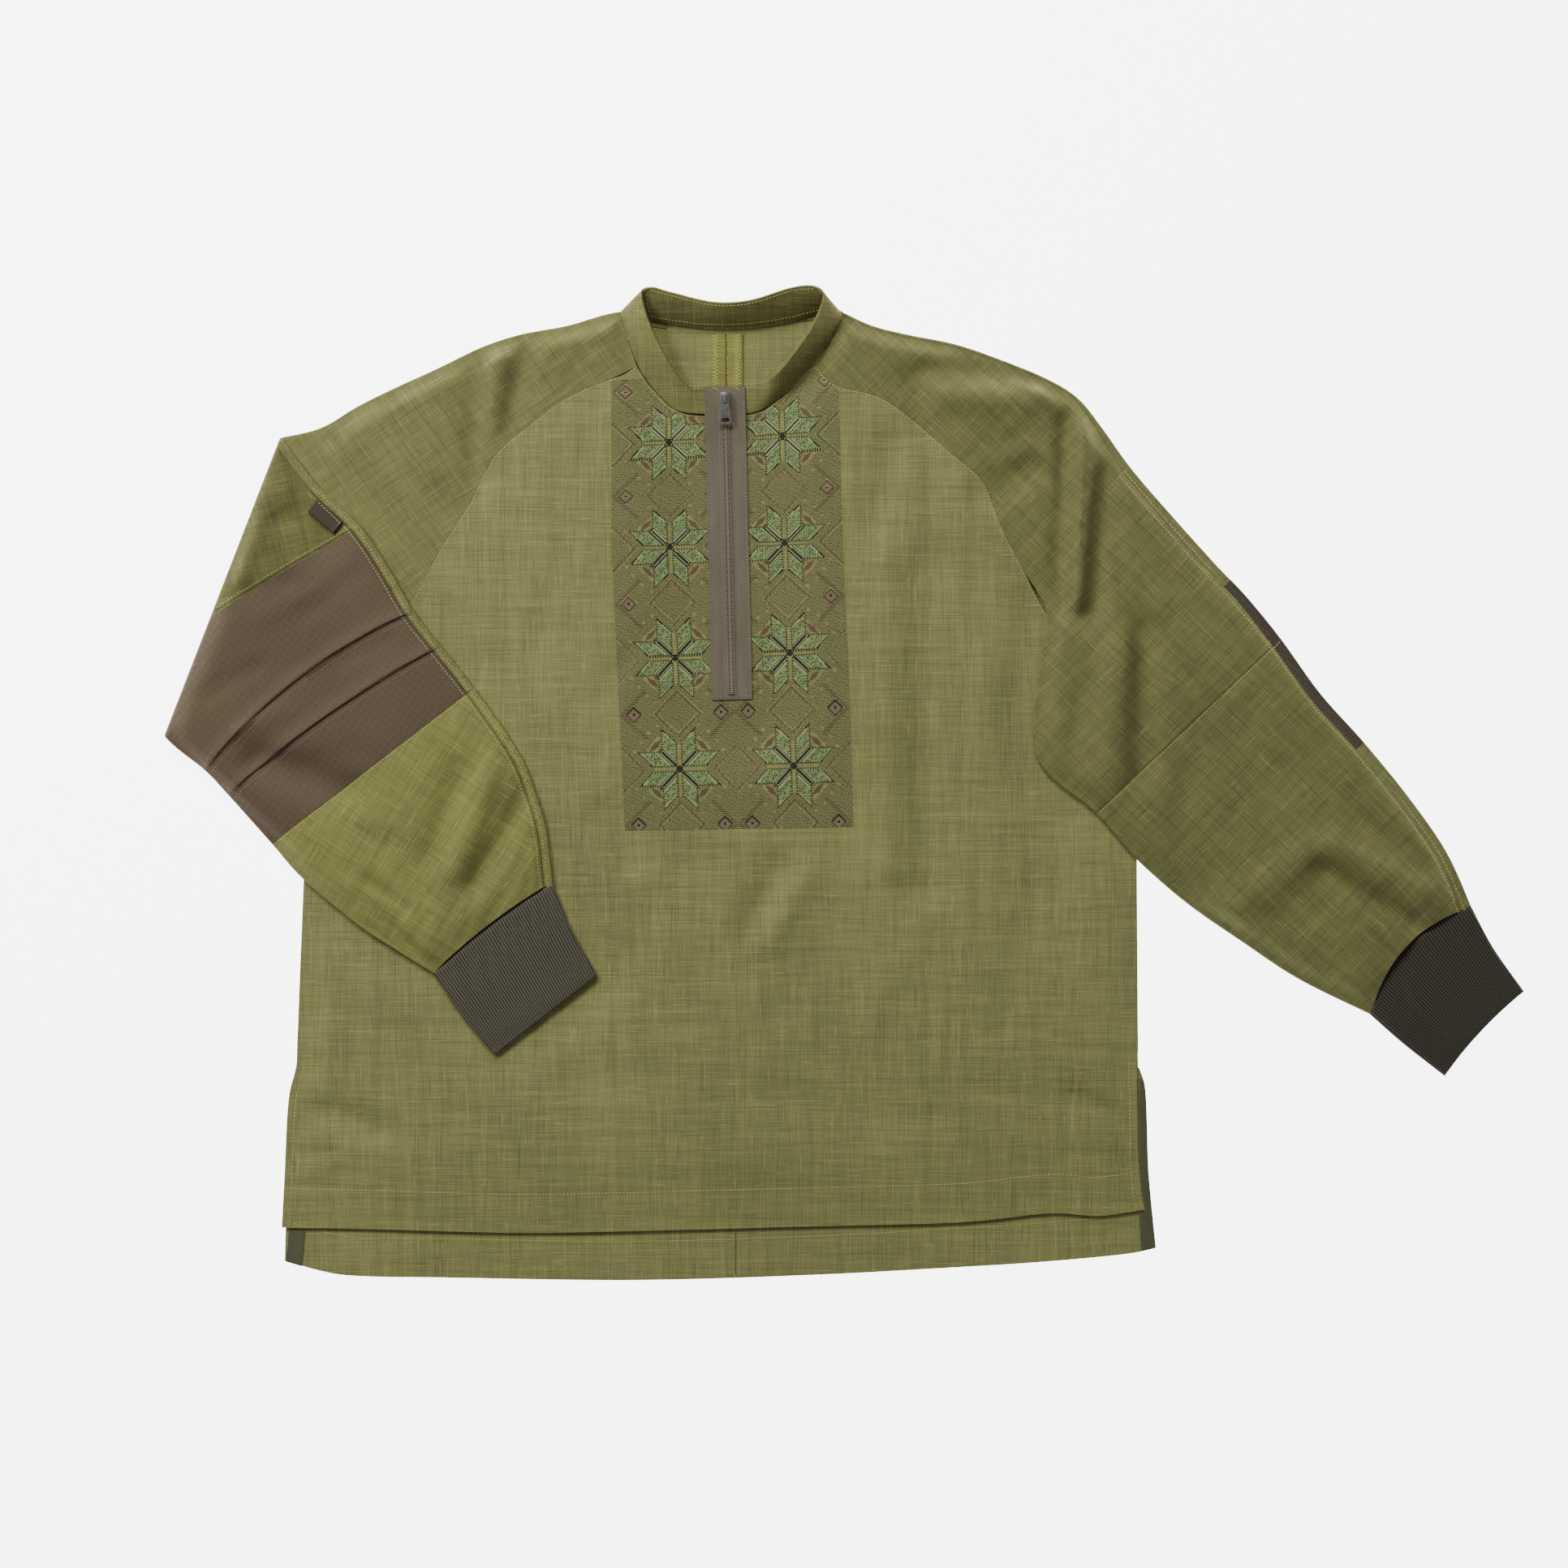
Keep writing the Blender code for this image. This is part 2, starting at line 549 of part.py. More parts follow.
class Tube:
    """A sleeve as a flat tube: rows run from the neck to the cuff, columns from the outer to the inner edge.

    Each edge is turned by one of the two layers. turned is the layer that turns at the inner edge, from the
    row turned_from on. The other one stops short of it, from the row short_from on.
    """

    def __init__(self, outer, inner, under, bow, seam, turned=None, turned_from=0.0, short_from=0.0):
        self.outer = np.array(outer, float)
        self.inner = np.array(inner, float)
        self.under = np.array(under, float)
        self.bow = np.array(bow, float)[:, None]
        self.seam = np.array(seam, float)[:, None]
        self.turned = turned
        self.turned_from = turned_from
        self.short_from = short_from

    def side_way(self, line, at, towards):
        """Unit vectors across an edge, pointing into the sleeve."""
        step = 0.05
        along = spline(line, at + step) - spline(line, at - step)
        across = np.stack([-along[:, 1], along[:, 0]], axis=1)
        across /= np.linalg.norm(across, axis=1)[:, None]
        turn = np.sign((across * towards).sum(axis=1))[:, None]
        return across * turn

    def read_inner(self, at, layer):
        """The inner edge's points; the hidden layer's run straight from row to row."""
        if layer == "back" and self.turned == "front":
            rows = np.arange(len(self.under))
            return np.stack([np.interp(at, rows, self.under[:, k]) for k in range(2)], axis=1)
        return spline(self.under if layer == "back" else self.inner, at)

    def grid(self, stations, columns, layer):
        """Points (rows, columns, 3) of a piece. Its columns are edge places by path length, or shares."""
        at = np.asarray(stations, float)
        outer, inner = spline(self.outer, at), self.read_inner(at, layer)
        across = inner - outer
        way_out = self.side_way(self.outer, at, across)
        way_in = self.side_way(self.under if layer == "back" else self.inner, at, -across)
        turned = np.clip(at - self.turned_from, 0, 1)
        short = np.clip(at - self.short_from, 0, 1)
        end = np.full(len(at), -TURN_UNDER * 2)
        if layer == self.turned:
            inner = inner - way_in * ((EDGE_RADIUS - HALF_GAP) * (1 - turned))[:, None]
            end = QUARTER - turned * (QUARTER + TURN_UNDER)
        bow, seam = spline(self.bow, at), spline(self.seam, at)[:, 0]
        middle = (self.outer + (self.under if layer == "back" else self.inner)) / 2
        neckwards = spline(middle, at - 0.05) - spline(middle, at + 0.05)
        neckwards /= np.linalg.norm(neckwards, axis=1)[:, None]
        made = [None] * len(columns)
        for index, (kind, value, rank) in enumerate(columns):
            if kind == "outer":
                limit = seam + rank * SPACING + math.copysign(HALF_GAP, rank)
                path = np.maximum(value, limit) if rank > 0 else np.minimum(value, limit)
                reach, height = edge_path(path)
                made[index] = (outer + way_out * reach[:, None], height)
            elif kind == "inner":
                reach, height = edge_path(np.maximum(value, end + SPACING * rank))
                made[index] = (inner + way_in * reach[:, None], 1 - height if layer == "back" else height)
            elif kind == "flat":
                reach = HALF_GAP + short * (SHORT_OF_TURN - HALF_GAP)
                made[index] = (inner + way_in * reach[:, None], np.full(len(at), float(layer == "front")))
        ends = [k for k, found in enumerate(made) if found is not None]
        for index, (kind, share, _) in enumerate(columns):
            if kind == "share":
                before = max(k for k in ends if k < index)
                after = min(k for k in ends if k > index)
                place = made[before][0] * (1 - share) + made[after][0] * share
                made[index] = (place + neckwards * bow * 4 * share * (1 - share), made[before][1])
        plan = np.stack([place for place, _ in made], axis=1)
        height = np.stack([level for _, level in made], axis=1)
        return np.concatenate([plan, (BACK_LEVEL + PITCH * height)[..., None]], axis=2)


def edge_path(path):
    """Reach into the sleeve and layer (0 back, 1 front) at a path length round its edge."""
    turn = np.clip(path / EDGE_RADIUS, -math.pi / 2, math.pi / 2)
    straight = np.maximum(np.abs(path) - QUARTER, 0)
    return EDGE_RADIUS * (1 - np.cos(turn)) + straight, (1 + np.sin(turn)) / 2


def shares_of(count):
    """Columns at even shares of the way between two edges."""
    return [("share", share, 0) for share in np.linspace(0, 1, count + 1)[1:-1]]


def seam_on(side):
    """The column beside the outer-arm seam: side 1 towards the front, -1 towards the back."""
    return [("outer", -FAR * side, 0.001 * side)]


def turn_outer(side):
    """Columns that turn the outer edge, away from the seam."""
    knots = [*(side * knot for knot in ROUND), side * (QUARTER + 3.0)]
    return [("outer", knot, side * (rank + 1)) for rank, knot in enumerate(knots)]


def turn_inner():
    """Columns that turn the inner edge and end under it."""
    knots = (QUARTER + 4.0, *ROUND[::-1], -TURN_UNDER)
    return [("inner", knot, len(knots) - 1 - rank) for rank, knot in enumerate(knots)]


def stations_between(found, low, high):
    """The rows that a piece has from one seam to another, each seam a little short."""
    inside_rows = [row for row in found if low + 4 * SEAM_STEP < row < high - 4 * SEAM_STEP]
    return [low + SEAM_STEP if low > 0 else 0.0, *inside_rows, high - SEAM_STEP]


# The right sleeve lies out to the side, its underarm edge over the body


def right_tube():
    rows = RIGHT_SLEEVE
    return Tube([r[1:3] for r in rows], [r[3:5] for r in rows], [r[5:7] for r in rows], [r[7] for r in rows],
                [r[8] for r in rows], "front", row_index(rows, "fold_start"), row_index(rows, "elbow_seam"))


def right_relief(x, y):
    """Puff and folds of the right sleeve's front."""
    tube = right_tube()
    outer, inner = tube.outer, tube.inner
    away = np.minimum(distance_to(outer, x, y) - EDGE_RADIUS, distance_to(inner, x, y) - EDGE_RADIUS)
    away = np.minimum(away, distance_to((outer[0], inner[0]), x, y))
    free = ease(away, 0.0, SLEEVE_PRESSED)
    seam = tube.outer[-1], tube.inner[-1]
    free = free * (CUFF_PUFF + (1 - CUFF_PUFF) * ease(distance_to(seam, x, y), 0, CUFF_FREE))
    return np.maximum(0, (SLEEVE_PUFF + folds_at(x, y)) * free)


def right_lift(x, y):
    """How far the sleeve's front is carried up where it lies over the body."""
    over = 1 - ease(outside_by(BODY_RIGHT, x, y), LIFT_CLEAR, LIFT_END)
    start = sum(ease(-y, low, high) for low, high in LIFT_STEPS)
    return over * start * PITCH


def right_shape(x, y, z):
    upper = np.clip((z - CLOTH) / (PITCH - CLOTH), 0, 1)
    return x, y, z + right_lift(x, y) + upper * right_relief(x, y)


def right_back_shape(x, y, z):
    upper = np.clip((z - CLOTH) / (PITCH - CLOTH), 0, 1)
    return x, y, z + upper * right_relief(x, y)


def build_right_sleeve(linen, ripstop):
    tube = right_tube()
    turned, elbow = row_index(RIGHT_SLEEVE, "fold_start"), row_index(RIGHT_SLEEVE, "elbow_seam")
    last = len(RIGHT_SLEEVE) - 1 - (CUFF_STEP - SEAM_STEP)
    patch_top, patch_foot = elbow - PATCH_ABOVE, elbow + PATCH_BELOW
    found = [*range(turned), *np.linspace(turned, turned + 1, 8), turned + 2, patch_top, elbow - 1, elbow,
             *np.arange(elbow + 0.5, last, 0.5)]
    front = [*seam_on(1), *shares_of(8), *turn_inner()]
    back = [*seam_on(-1), *turn_outer(-1), *shares_of(3), ("flat", 0.0, 0)]
    pieces = (
        ("right_sleeve_front", 0, elbow, front, "front", linen, right_shape),
        ("right_forearm_front", elbow, last, front, "front", linen, right_shape),
        ("right_sleeve_back", 0, patch_top, back, "back", linen, right_back_shape),
        ("right_elbow_patch", patch_top, patch_foot, back, "back", ripstop, right_back_shape),
        ("right_forearm_back", patch_foot, last, back, "back", linen, right_back_shape),
    )
    for name, low, high, columns, layer, material, shape in pieces:
        cloth(name, tube.grid(stations_between(found, low, high), columns, layer), material, shape)


# The left sleeve is laid out the same way, then folded back over itself and the body


def past_fold(x, y):
    """Distance past the elbow fold's axis."""
    return (x - FOLD_AXIS.x) * FOLD_OUT.x + (y - FOLD_AXIS.y) * FOLD_OUT.y


def unfolded(point):
    """Where a folded-over point lies when the sleeve is laid out straight."""
    back = past_fold(*point)
    travel = -2 * back + math.pi * MIDDLE_BEND
    return (point[0] + FOLD_OUT.x * travel, point[1] + FOLD_OUT.y * travel)


def left_tube():
    """The left sleeve laid out straight, its elbow unfolded."""
    rows = LEFT_SLEEVE
    armpit = row_index(rows, "armpit")
    outer = [unfolded(row[1:3]) if row[3] else row[1:3] for row in rows]
    inner = [unfolded(row[4:6]) if row[6] else row[4:6] for row in rows]
    under = [inner[k] if k > armpit else row[7:9] for k, row in enumerate(rows)]
    return Tube(outer, inner, under, [row[9] for row in rows], [LEFT_SEAM] * len(rows), "back", armpit, armpit)


def tuck_ledge(x, y):
    """The elbow patch's two tucks: each rises from the shoulder side and drops sharply."""
    height = np.zeros(np.shape(x))
    for name in ("tuck_1", "tuck_2"):
        row = LEFT_SLEEVE[row_index(LEFT_SLEEVE, name)]
        outer, inner = np.array(row[1:3], float), np.array(row[4:6], float)
        across = (inner - outer) / np.linalg.norm(inner - outer)
        neckwards = np.array((-across[1], across[0]))
        if neckwards[1] < 0:
            neckwards = -neckwards
        share = np.linspace(0, 1, 12)[:, None]
        line = outer + (inner - outer) * share + neckwards * row[9] * 4 * share * (1 - share)
        away = distance_to(line, x, y)
        reach = ((x - outer[0]) * across[0] + (y - outer[1]) * across[1]) / np.linalg.norm(inner - outer)
        bend = row[9] * 4 * reach * (1 - reach)
        above = (x - outer[0]) * neckwards[0] + (y - outer[1]) * neckwards[1] > bend
        rise = np.where(above, 1 - ease(away, 0.0, TUCK_DEPTH), 1 - ease(away, 0.0, TUCK_EDGE))
        height = height + TUCK_HEIGHT * rise
    return height


def folded_relief(x, y):
    """Puff and folds of the folded-over sleeve, seen from above."""
    away = -outside_by(LEFT_COVER, x, y)
    free = ease(away, EDGE_ROLL, SLEEVE_PRESSED)
    cuff = (LEFT_CUFF[0][1:3], LEFT_CUFF[0][3:5])
    free = free * (CUFF_PUFF + (1 - CUFF_PUFF) * ease(distance_to(cuff, x, y), 0, CUFF_FREE))
    return np.maximum(0, (SLEEVE_PUFF + folds_at(x, y)) * free) + tuck_ledge(x, y) * ease(away, 0.0, TUCK_FADE)


def shoulder_relief(x, y):
    """Puff and folds of the left shoulder, pressed flat under the folded sleeve."""
    outer = [r[1:3] for r in LEFT_SLEEVE[:row_index(LEFT_SLEEVE, "armpit")]]
    raglan = raglan_left()
    away = np.minimum(distance_to(outer, x, y) - EDGE_RADIUS, distance_to(raglan, x, y))
    away = np.minimum(away, distance_to((outer[0], raglan[-1]), x, y))
    free = ease(away, 0.0, SLEEVE_PRESSED) * ease(outside_by(LEFT_COVER, x, y), COVER_CLEAR, SHOULDER_FREE)
    return np.maximum(0, (SLEEVE_PUFF + folds_at(x, y)) * free)


def left_shape(x, y, z):
    """Folds the laid-out sleeve back along its axis and adds its relief."""
    out = past_fold(x, y)
    foot_x, foot_y = x - out * FOLD_OUT.x, y - out * FOLD_OUT.y
    front = np.clip((z - CLOTH) / (PITCH - CLOTH), 0, 1)
    turn = np.clip(out / MIDDLE_BEND, 0, math.pi)
    radius = FOLD_HEIGHT - z
    past = np.maximum(out - math.pi * MIDDLE_BEND, 0)
    reach = np.where(out <= 0, out, radius * np.sin(turn) - past)
    height = FOLD_HEIGHT - radius * np.cos(turn)
    new_x, new_y = foot_x + reach * FOLD_OUT.x, foot_y + reach * FOLD_OUT.y
    over = (1 - np.cos(turn)) / 2
    height = height + over * (1 - front) * folded_relief(new_x, new_y)
    height = height + (1 - over) * front * np.where(turn == 0, shoulder_relief(x, y), 0)
    return new_x, new_y, np.maximum(height, 0)


def fold_cuts():
    """Planes along the elbow fold, where the layers bend."""
    places = [math.pi * MIDDLE_BEND * share for share in (0.0, 0.25, 0.5, 0.75, 1.0)]
    return [(tuple(FOLD_AXIS + FOLD_OUT * place), tuple(FOLD_OUT)) for place in places]


def build_left_sleeve(linen, ripstop):
    tube = left_tube()
    table = LEFT_SLEEVE
    armpit, patch, elbow = (row_index(table, name) for name in ("armpit", "patch_top", "elbow_seam"))
    tuck_1, tuck_2 = row_index(table, "tuck_1"), row_index(table, "tuck_2")
    last = len(table) - 1 - (CUFF_STEP - SEAM_STEP)
    found = [*range(armpit), armpit, armpit + 0.06, *np.linspace(armpit, patch, 8)[1:], patch + 0.5, patch + 1]
    found += [tuck + step for tuck in (tuck_1, tuck_2) for step in (-0.35, -0.02, 0.05)]
    found += [elbow - 0.5, elbow, *np.arange(elbow + 0.5, last, 0.5)]
    front = [*seam_on(1), *turn_outer(1), *shares_of(7), ("flat", 0.0, 0)]
    back = [*seam_on(-1), *shares_of(8), *turn_inner()]
    pieces = (
        ("left_sleeve_front", 0, elbow, front, "front", linen),
        ("left_forearm_front", elbow, last, front, "front", linen),
        ("left_sleeve_back", 0, patch, back, "back", linen),
        ("left_elbow_patch", patch, elbow, back, "back", ripstop),
        ("left_forearm_back", elbow, last, back, "back", linen),
    )
    for name, low, high, columns, layer, material in pieces:
        points = tube.grid(stations_between(found, low, high), columns, layer)
        cloth(name, points, material, left_shape, cuts=fold_cuts())


# Cuffs


def build_cuff(name, table, base, rib_knit):
    """A ribbed cuff: one strip round from its seam under the inner edge, ribs raised on top."""
    outer, inner = [r[1:3] for r in table], [r[3:5] for r in table]
    tube = Tube(outer, inner, inner, [r[5] for r in table], [FAR] * len(table))
    knots = [("outer", knot, 0.0) for knot in ROUND]
    columns = [("inner", -QUARTER - 2 * GAP, 0), *shares_of(3), *knots, *shares_of(2 * RIB_COUNT)]
    columns += [("inner", knot, 0) for knot in ROUND[::-1]]
    stations = [CUFF_STEP, 1.0, 2.0]
    points = tube.grid(stations, columns, "front")
    outer_line, inner_line = spline(outer, stations), spline(inner, stations)

    def shape(x, y, z):
        share = across_share(outer_line, inner_line, x, y)
        ridge = 0.5 - 0.5 * np.cos(2 * math.pi * RIB_COUNT * share)
        outside = np.clip((z - FRONT_LEVEL) / (CLOTH / 2), 0, 1)
        outside = outside * ease(share, 0.0, RIB_MARGIN) * ease(1 - share, 0.0, RIB_MARGIN)
        return x, y, z + base + RIB_HEIGHT * ridge * outside

    return cloth(name, points, rib_knit, shape)


def across_share(outer_line, inner_line, x, y):
    """Share of the way across from the outer to the inner edge, taken square to the cuff's length."""
    seam, hem = 0, -1
    mid_seam = (outer_line[seam] + inner_line[seam]) / 2
    mid_hem = (outer_line[hem] + inner_line[hem]) / 2
    length = mid_hem - mid_seam
    reach = ((x - mid_seam[0]) * length[0] + (y - mid_seam[1]) * length[1]) / (length ** 2).sum()
    width_seam = inner_line[seam] - outer_line[seam]
    width_hem = inner_line[hem] - outer_line[hem]
    span_x = width_seam[0] + (width_hem[0] - width_seam[0]) * reach
    span_y = width_seam[1] + (width_hem[1] - width_seam[1]) * reach
    start_x = outer_line[seam][0] + (outer_line[hem][0] - outer_line[seam][0]) * reach
    start_y = outer_line[seam][1] + (outer_line[hem][1] - outer_line[seam][1]) * reach
    return ((x - start_x) * span_x + (y - start_y) * span_y) / (span_x ** 2 + span_y ** 2)


# Collar band


def build_collar(linen):
    """The stand collar band, open at the zip, leaning inwards all round."""
    count = BAND_STATIONS
    rows = np.array(COLLAR, float)
    at = np.linspace(0, len(rows) - 1, count)
    seam, top = spline(rows[:, :2], at), spline(rows[:, 2:4], at)
    top_z = spline(rows[:, 4:5], at)[:, 0]
    inwards = (top - seam) / np.linalg.norm(top - seam, axis=1)[:, None]
    seam = seam + inwards * BAND_INSET
    heights = np.linspace(0, 1, 4)
    points = np.empty((len(heights), count, 3))
    for k, share in enumerate(heights):
        bulge = 4 * share * (1 - share)
        points[k, :, :2] = seam + (top - seam) * share - inwards * BAND_BULGE * bulge
        points[k, :, 2] = BAND_FOOT + (top_z - BAND_FOOT) * share + BAND_ROLL * (top_z - BAND_FOOT) * bulge
    return cloth("collar_band", points, linen, wall=BAND_WALL)


# Zip


def zip_line(share):
    """A point in plan on the zip's centre line, from foot to top."""
    foot, top = np.array(ZIP_FOOT), np.array(ZIP_TOP)
    return foot + (top - foot) * np.asarray(share, float)[..., None]


def zip_base(y):
    """Height under the zip tape: the front's face, then the collar band's."""
    return ZIP_ON_FRONT + ease(y, *COLLAR_STEP) * (ZIP_ON_BAND - ZIP_ON_FRONT) + ease(y, *COLLAR_SLOPE) * ZIP_RISE


def tape_points(near, far, level, shares):
    """Rows of a strip along the zip between two offsets from its centre line."""
    middle = zip_line(shares)
    along = np.array(ZIP_TOP) - np.array(ZIP_FOOT)
    across = np.array((along[1], -along[0])) / np.linalg.norm(along)
    sides = [middle + across * offset for offset in (near, far)]
    height = zip_base(middle[:, 1]) + level
    return np.stack([np.concatenate([side, height[:, None]], axis=1) for side in sides], axis=1)


def slider_frame():
    """Matrix of the zip's slider: X across, Y up the zip, Z away from the tape."""
    length = np.linalg.norm(np.array(ZIP_TOP) - np.array(ZIP_FOOT))
    middle = zip_line(1 - SLIDER_FROM_TOP / length)
    ahead = zip_line(1 - (SLIDER_FROM_TOP - 2) / length)
    low, high = zip_base(middle[1]), zip_base(ahead[1])
    along = Vector((*(ahead - middle), high - low)).normalized()
    across = Vector((ZIP_TOP[1] - ZIP_FOOT[1], ZIP_FOOT[0] - ZIP_TOP[0], 0)).normalized()
    away = across.cross(along)
    place = Vector((*middle, low + TAPE_WALL + 2 * GAP)) * MM
    return Matrix.Translation(place) @ Matrix((across, along, away)).transposed().to_4x4()


def box(bm, low, high):
    """Adds a box between two corners, in millimetres."""
    made = bmesh.ops.create_cube(bm, size=1.0)["verts"]
    low, high = Vector(low) * MM, Vector(high) * MM
    for vertex in made:
        vertex.co = Vector(high[k] if vertex.co[k] > 0 else low[k] for k in range(3))
    return made


def build_zip_tape(tape, coil):
    """Both tapes and the closed coil between them."""
    foot_share = np.concatenate([np.linspace(0, 0.84, 6), np.linspace(0.86, 1.0, 9)])
    level = TAPE_WALL / 2
    cloth("zip_tape_left", tape_points(-TAPE_HALF, -HALF_GAP, level, foot_share), tape, wall=TAPE_WALL)
    cloth("zip_tape_right", tape_points(HALF_GAP, TAPE_HALF, level, foot_share), tape, wall=TAPE_WALL)
    length = np.linalg.norm(np.array(ZIP_TOP) - np.array(ZIP_FOOT))
    end = 1 - (SLIDER_FROM_TOP + SLIDER_LENGTH / 2 + COIL_SHORT) / length
    shares = np.concatenate([np.linspace(0.02, 0.84, 5), np.linspace(0.87, end, 4)])
    level = TAPE_WALL + GAP + COIL_HEIGHT / 2
    cloth("zip_coil", tape_points(-COIL_HALF, COIL_HALF, level, shares), coil, wall=COIL_HEIGHT)


def build_slider(metal):
    """The slider: a tapered body with a bridge over it, which the pull tab's pin passes under."""
    bm = bmesh.new()
    half_length, half_width = SLIDER_LENGTH / 2, SLIDER_WIDTH / 2
    body = box(bm, (-half_width, -half_length, 0), (half_width, half_length, SLIDER_HEIGHT))
    for vertex in body:
        if vertex.co.y > 0:
            vertex.co.x *= SLIDER_TAPER
    post, top = BRIDGE_WALL, SLIDER_HEIGHT + BRIDGE_HEIGHT
    front, rear = -BRIDGE_LENGTH / 2, BRIDGE_LENGTH / 2
    half = BRIDGE_WIDTH / 2
    base = SLIDER_HEIGHT - BRIDGE_SINK
    corner = BRIDGE_CORNER
    foot = bpy_piece(bm, "zip_slider", metal)
    arch = bmesh.new()
    outline = [(front, base), (front, top - corner), (front + corner, top), (rear - corner, top),
               (rear, top - corner), (rear, base), (rear - post, base), (rear - post, top - post),
               (front + post, top - post),
               (front + post, base)]
    ring = [arch.verts.new(Vector((-half, along, up)) * MM) for along, up in outline]
    face = arch.faces.new(ring)
    grown = bmesh.ops.extrude_face_region(arch, geom=[face])["geom"]
    bmesh.ops.translate(arch, vec=Vector((BRIDGE_WIDTH * MM, 0, 0)),
                        verts=[v for v in grown if isinstance(v, bmesh.types.BMVert)])
    bmesh.ops.recalc_face_normals(arch, faces=arch.faces)
    bridge = bpy_piece(arch, "slider_bridge_form", metal)
    join(foot, bridge, "UNION")
    foot.matrix_world = slider_frame()
    bridge.matrix_world = slider_frame()
    return foot


def bpy_piece(bm, name, material):
    mesh = bpy.data.meshes.new(name)
    bmesh.ops.recalc_face_normals(bm, faces=bm.faces)
    bm.to_mesh(mesh)
    bm.free()
    return new_object(name, mesh, material)


def join(piece, other, operation):
    """Joins or cuts a piece with a helper, which is left out of the result."""
    change = piece.modifiers.new(other.name, "BOOLEAN")
    change.operation = operation
    change.object = other
    change.solver = "EXACT"
    other.hide_render = True
    other.display_type = "WIRE"


def build_pull_tab(metal):
    """The pull tab: a pin under the bridge, an eye round it and a flared tab with a hole."""
    half = TAB_WALL / 2
    bm = bmesh.new()
    eye, rail = EYE_WIDTH / 2, EYE_RAIL
    right_side = ((eye, PIN_HALF), (eye, -EYE_LENGTH), (TAB_TOP / 2, -EYE_LENGTH - TAB_NECK),
                  (TAB_FOOT / 2, -TAB_LENGTH + TAB_FLARE), (TAB_FOOT / 2, -TAB_LENGTH + TAB_CORNER),
                  (TAB_FOOT / 2 - TAB_CORNER, -TAB_LENGTH))
    outline = (*right_side, *((-x, y) for x, y in right_side[::-1]))
    prism(bm, outline, -half, half)
    tab = bpy_piece(bm, "zip_pull_tab", metal)
    hole = bmesh.new()
    inner = eye - rail
    prism(hole, ((-inner, -PIN_HALF), (inner, -PIN_HALF), (inner, -EYE_LENGTH),
                 (-inner, -EYE_LENGTH)), -CUTTER_REACH, CUTTER_REACH)
    wide, high = TAB_HOLE
    foot = -TAB_LENGTH + TAB_HOLE_UP - high / 2
    window = bmesh.new()
    corner = TAB_HOLE_CORNER
    prism(window, ((-wide / 2, foot), (wide / 2, foot), (wide / 2, foot + high - corner),
                   (wide / 2 - corner, foot + high), (corner - wide / 2, foot + high),
                   (-wide / 2, foot + high - corner)), -CUTTER_REACH, CUTTER_REACH)
    slider = slider_frame()
    pin = Matrix.Translation(Vector((0, PIN_AHEAD, SLIDER_HEIGHT + (BRIDGE_HEIGHT - BRIDGE_WALL) / 2)) * MM)
    place = slider @ pin @ Matrix.Rotation(math.radians(TAB_TILT), 4, "X")
    for cutter, name in ((hole, "eye_form"), (window, "window_form")):
        form = bpy_piece(cutter, name, metal)
        join(tab, form, "DIFFERENCE")
        form.matrix_world = place
    tab.matrix_world = place
    return tab


def prism(bm, outline, low, high):
    """An outline in X and Y raised between two heights."""
    ring = [bm.verts.new(Vector((x, y, low)) * MM) for x, y in outline]
    face = bm.faces.new(ring)
    grown = bmesh.ops.extrude_face_region(bm, geom=[face])["geom"]
    bmesh.ops.translate(bm, vec=Vector((0, 0, (high - low) * MM)),
                        verts=[v for v in grown if isinstance(v, bmesh.types.BMVert)])
    bmesh.ops.recalc_face_normals(bm, faces=bm.faces)


# Webbing loop


def build_loop(webbing):
    """A short loop of webbing sewn into the left sleeve's outer seam, lying on the sleeve."""
    near, far, low, left = (np.array(c) for c in LOOP_CORNERS)
    depth_way = ((low - far) + (left - near)) / 2
    depth = np.linalg.norm(depth_way)
    depth_way = depth_way / depth
    radius = LOOP_WALL / 2 + GAP
    turns = np.linspace(-math.pi / 2, math.pi / 2, 5)
    path = [(0.0, 0.0), (depth / 2, 0.0), *((depth - radius + radius * math.cos(t), radius + radius * math.sin(t))
            for t in turns), (depth / 2, 2 * radius), (0.0, 2 * radius)]
    base = OVERLAY + FRONT_TOP + 3 * GAP + LOOP_WALL / 2
    points = np.empty((len(path), 4, 3))
    for row, (reach, up) in enumerate(path):
        for column, share in enumerate(np.linspace(LOOP_MARGIN, 1 - LOOP_MARGIN, 4)):
            plan = near + (far - near) * share + depth_way * reach
            points[row, column] = (*plan, base + up)

    def shape(x, y, z):
        return x, y, z + folded_relief(x, y)

    return cloth("webbing_loop", points, webbing, shape, wall=LOOP_WALL)


def main():
    clear_scene()
    linen = finish("olive linen", (0.21, 0.195, 0.083), 0.9)
    ripstop = finish("brown ripstop", (0.127, 0.091, 0.054), 0.8)
    rib_knit = finish("dark rib knit", (0.06, 0.056, 0.043), 0.95)
    zip_tape = finish("brown-grey zip tape", (0.165, 0.143, 0.096), 0.85)
    coil = finish("zip coil", (0.13, 0.11, 0.075), 0.5)
    metal = finish("dark zip metal", (0.1, 0.1, 0.095), 0.35, 1.0)
    webbing = finish("brown webbing", (0.056, 0.045, 0.026), 0.85)
    herringbone = finish("dark green herringbone tape", (0.075, 0.082, 0.038), 0.85)
    build_front(linen)
    build_back(linen)
    build_allowances(linen)
    build_facings(herringbone)
    build_right_sleeve(linen, ripstop)
    build_left_sleeve(linen, ripstop)
    build_cuff("right_cuff", RIGHT_CUFF, 0.0, rib_knit)
    build_cuff("left_cuff", LEFT_CUFF, OVERLAY, rib_knit)
    build_collar(linen)
    build_zip_tape(zip_tape, coil)
    build_slider(metal)
    build_pull_tab(metal)
    build_loop(webbing)


main()
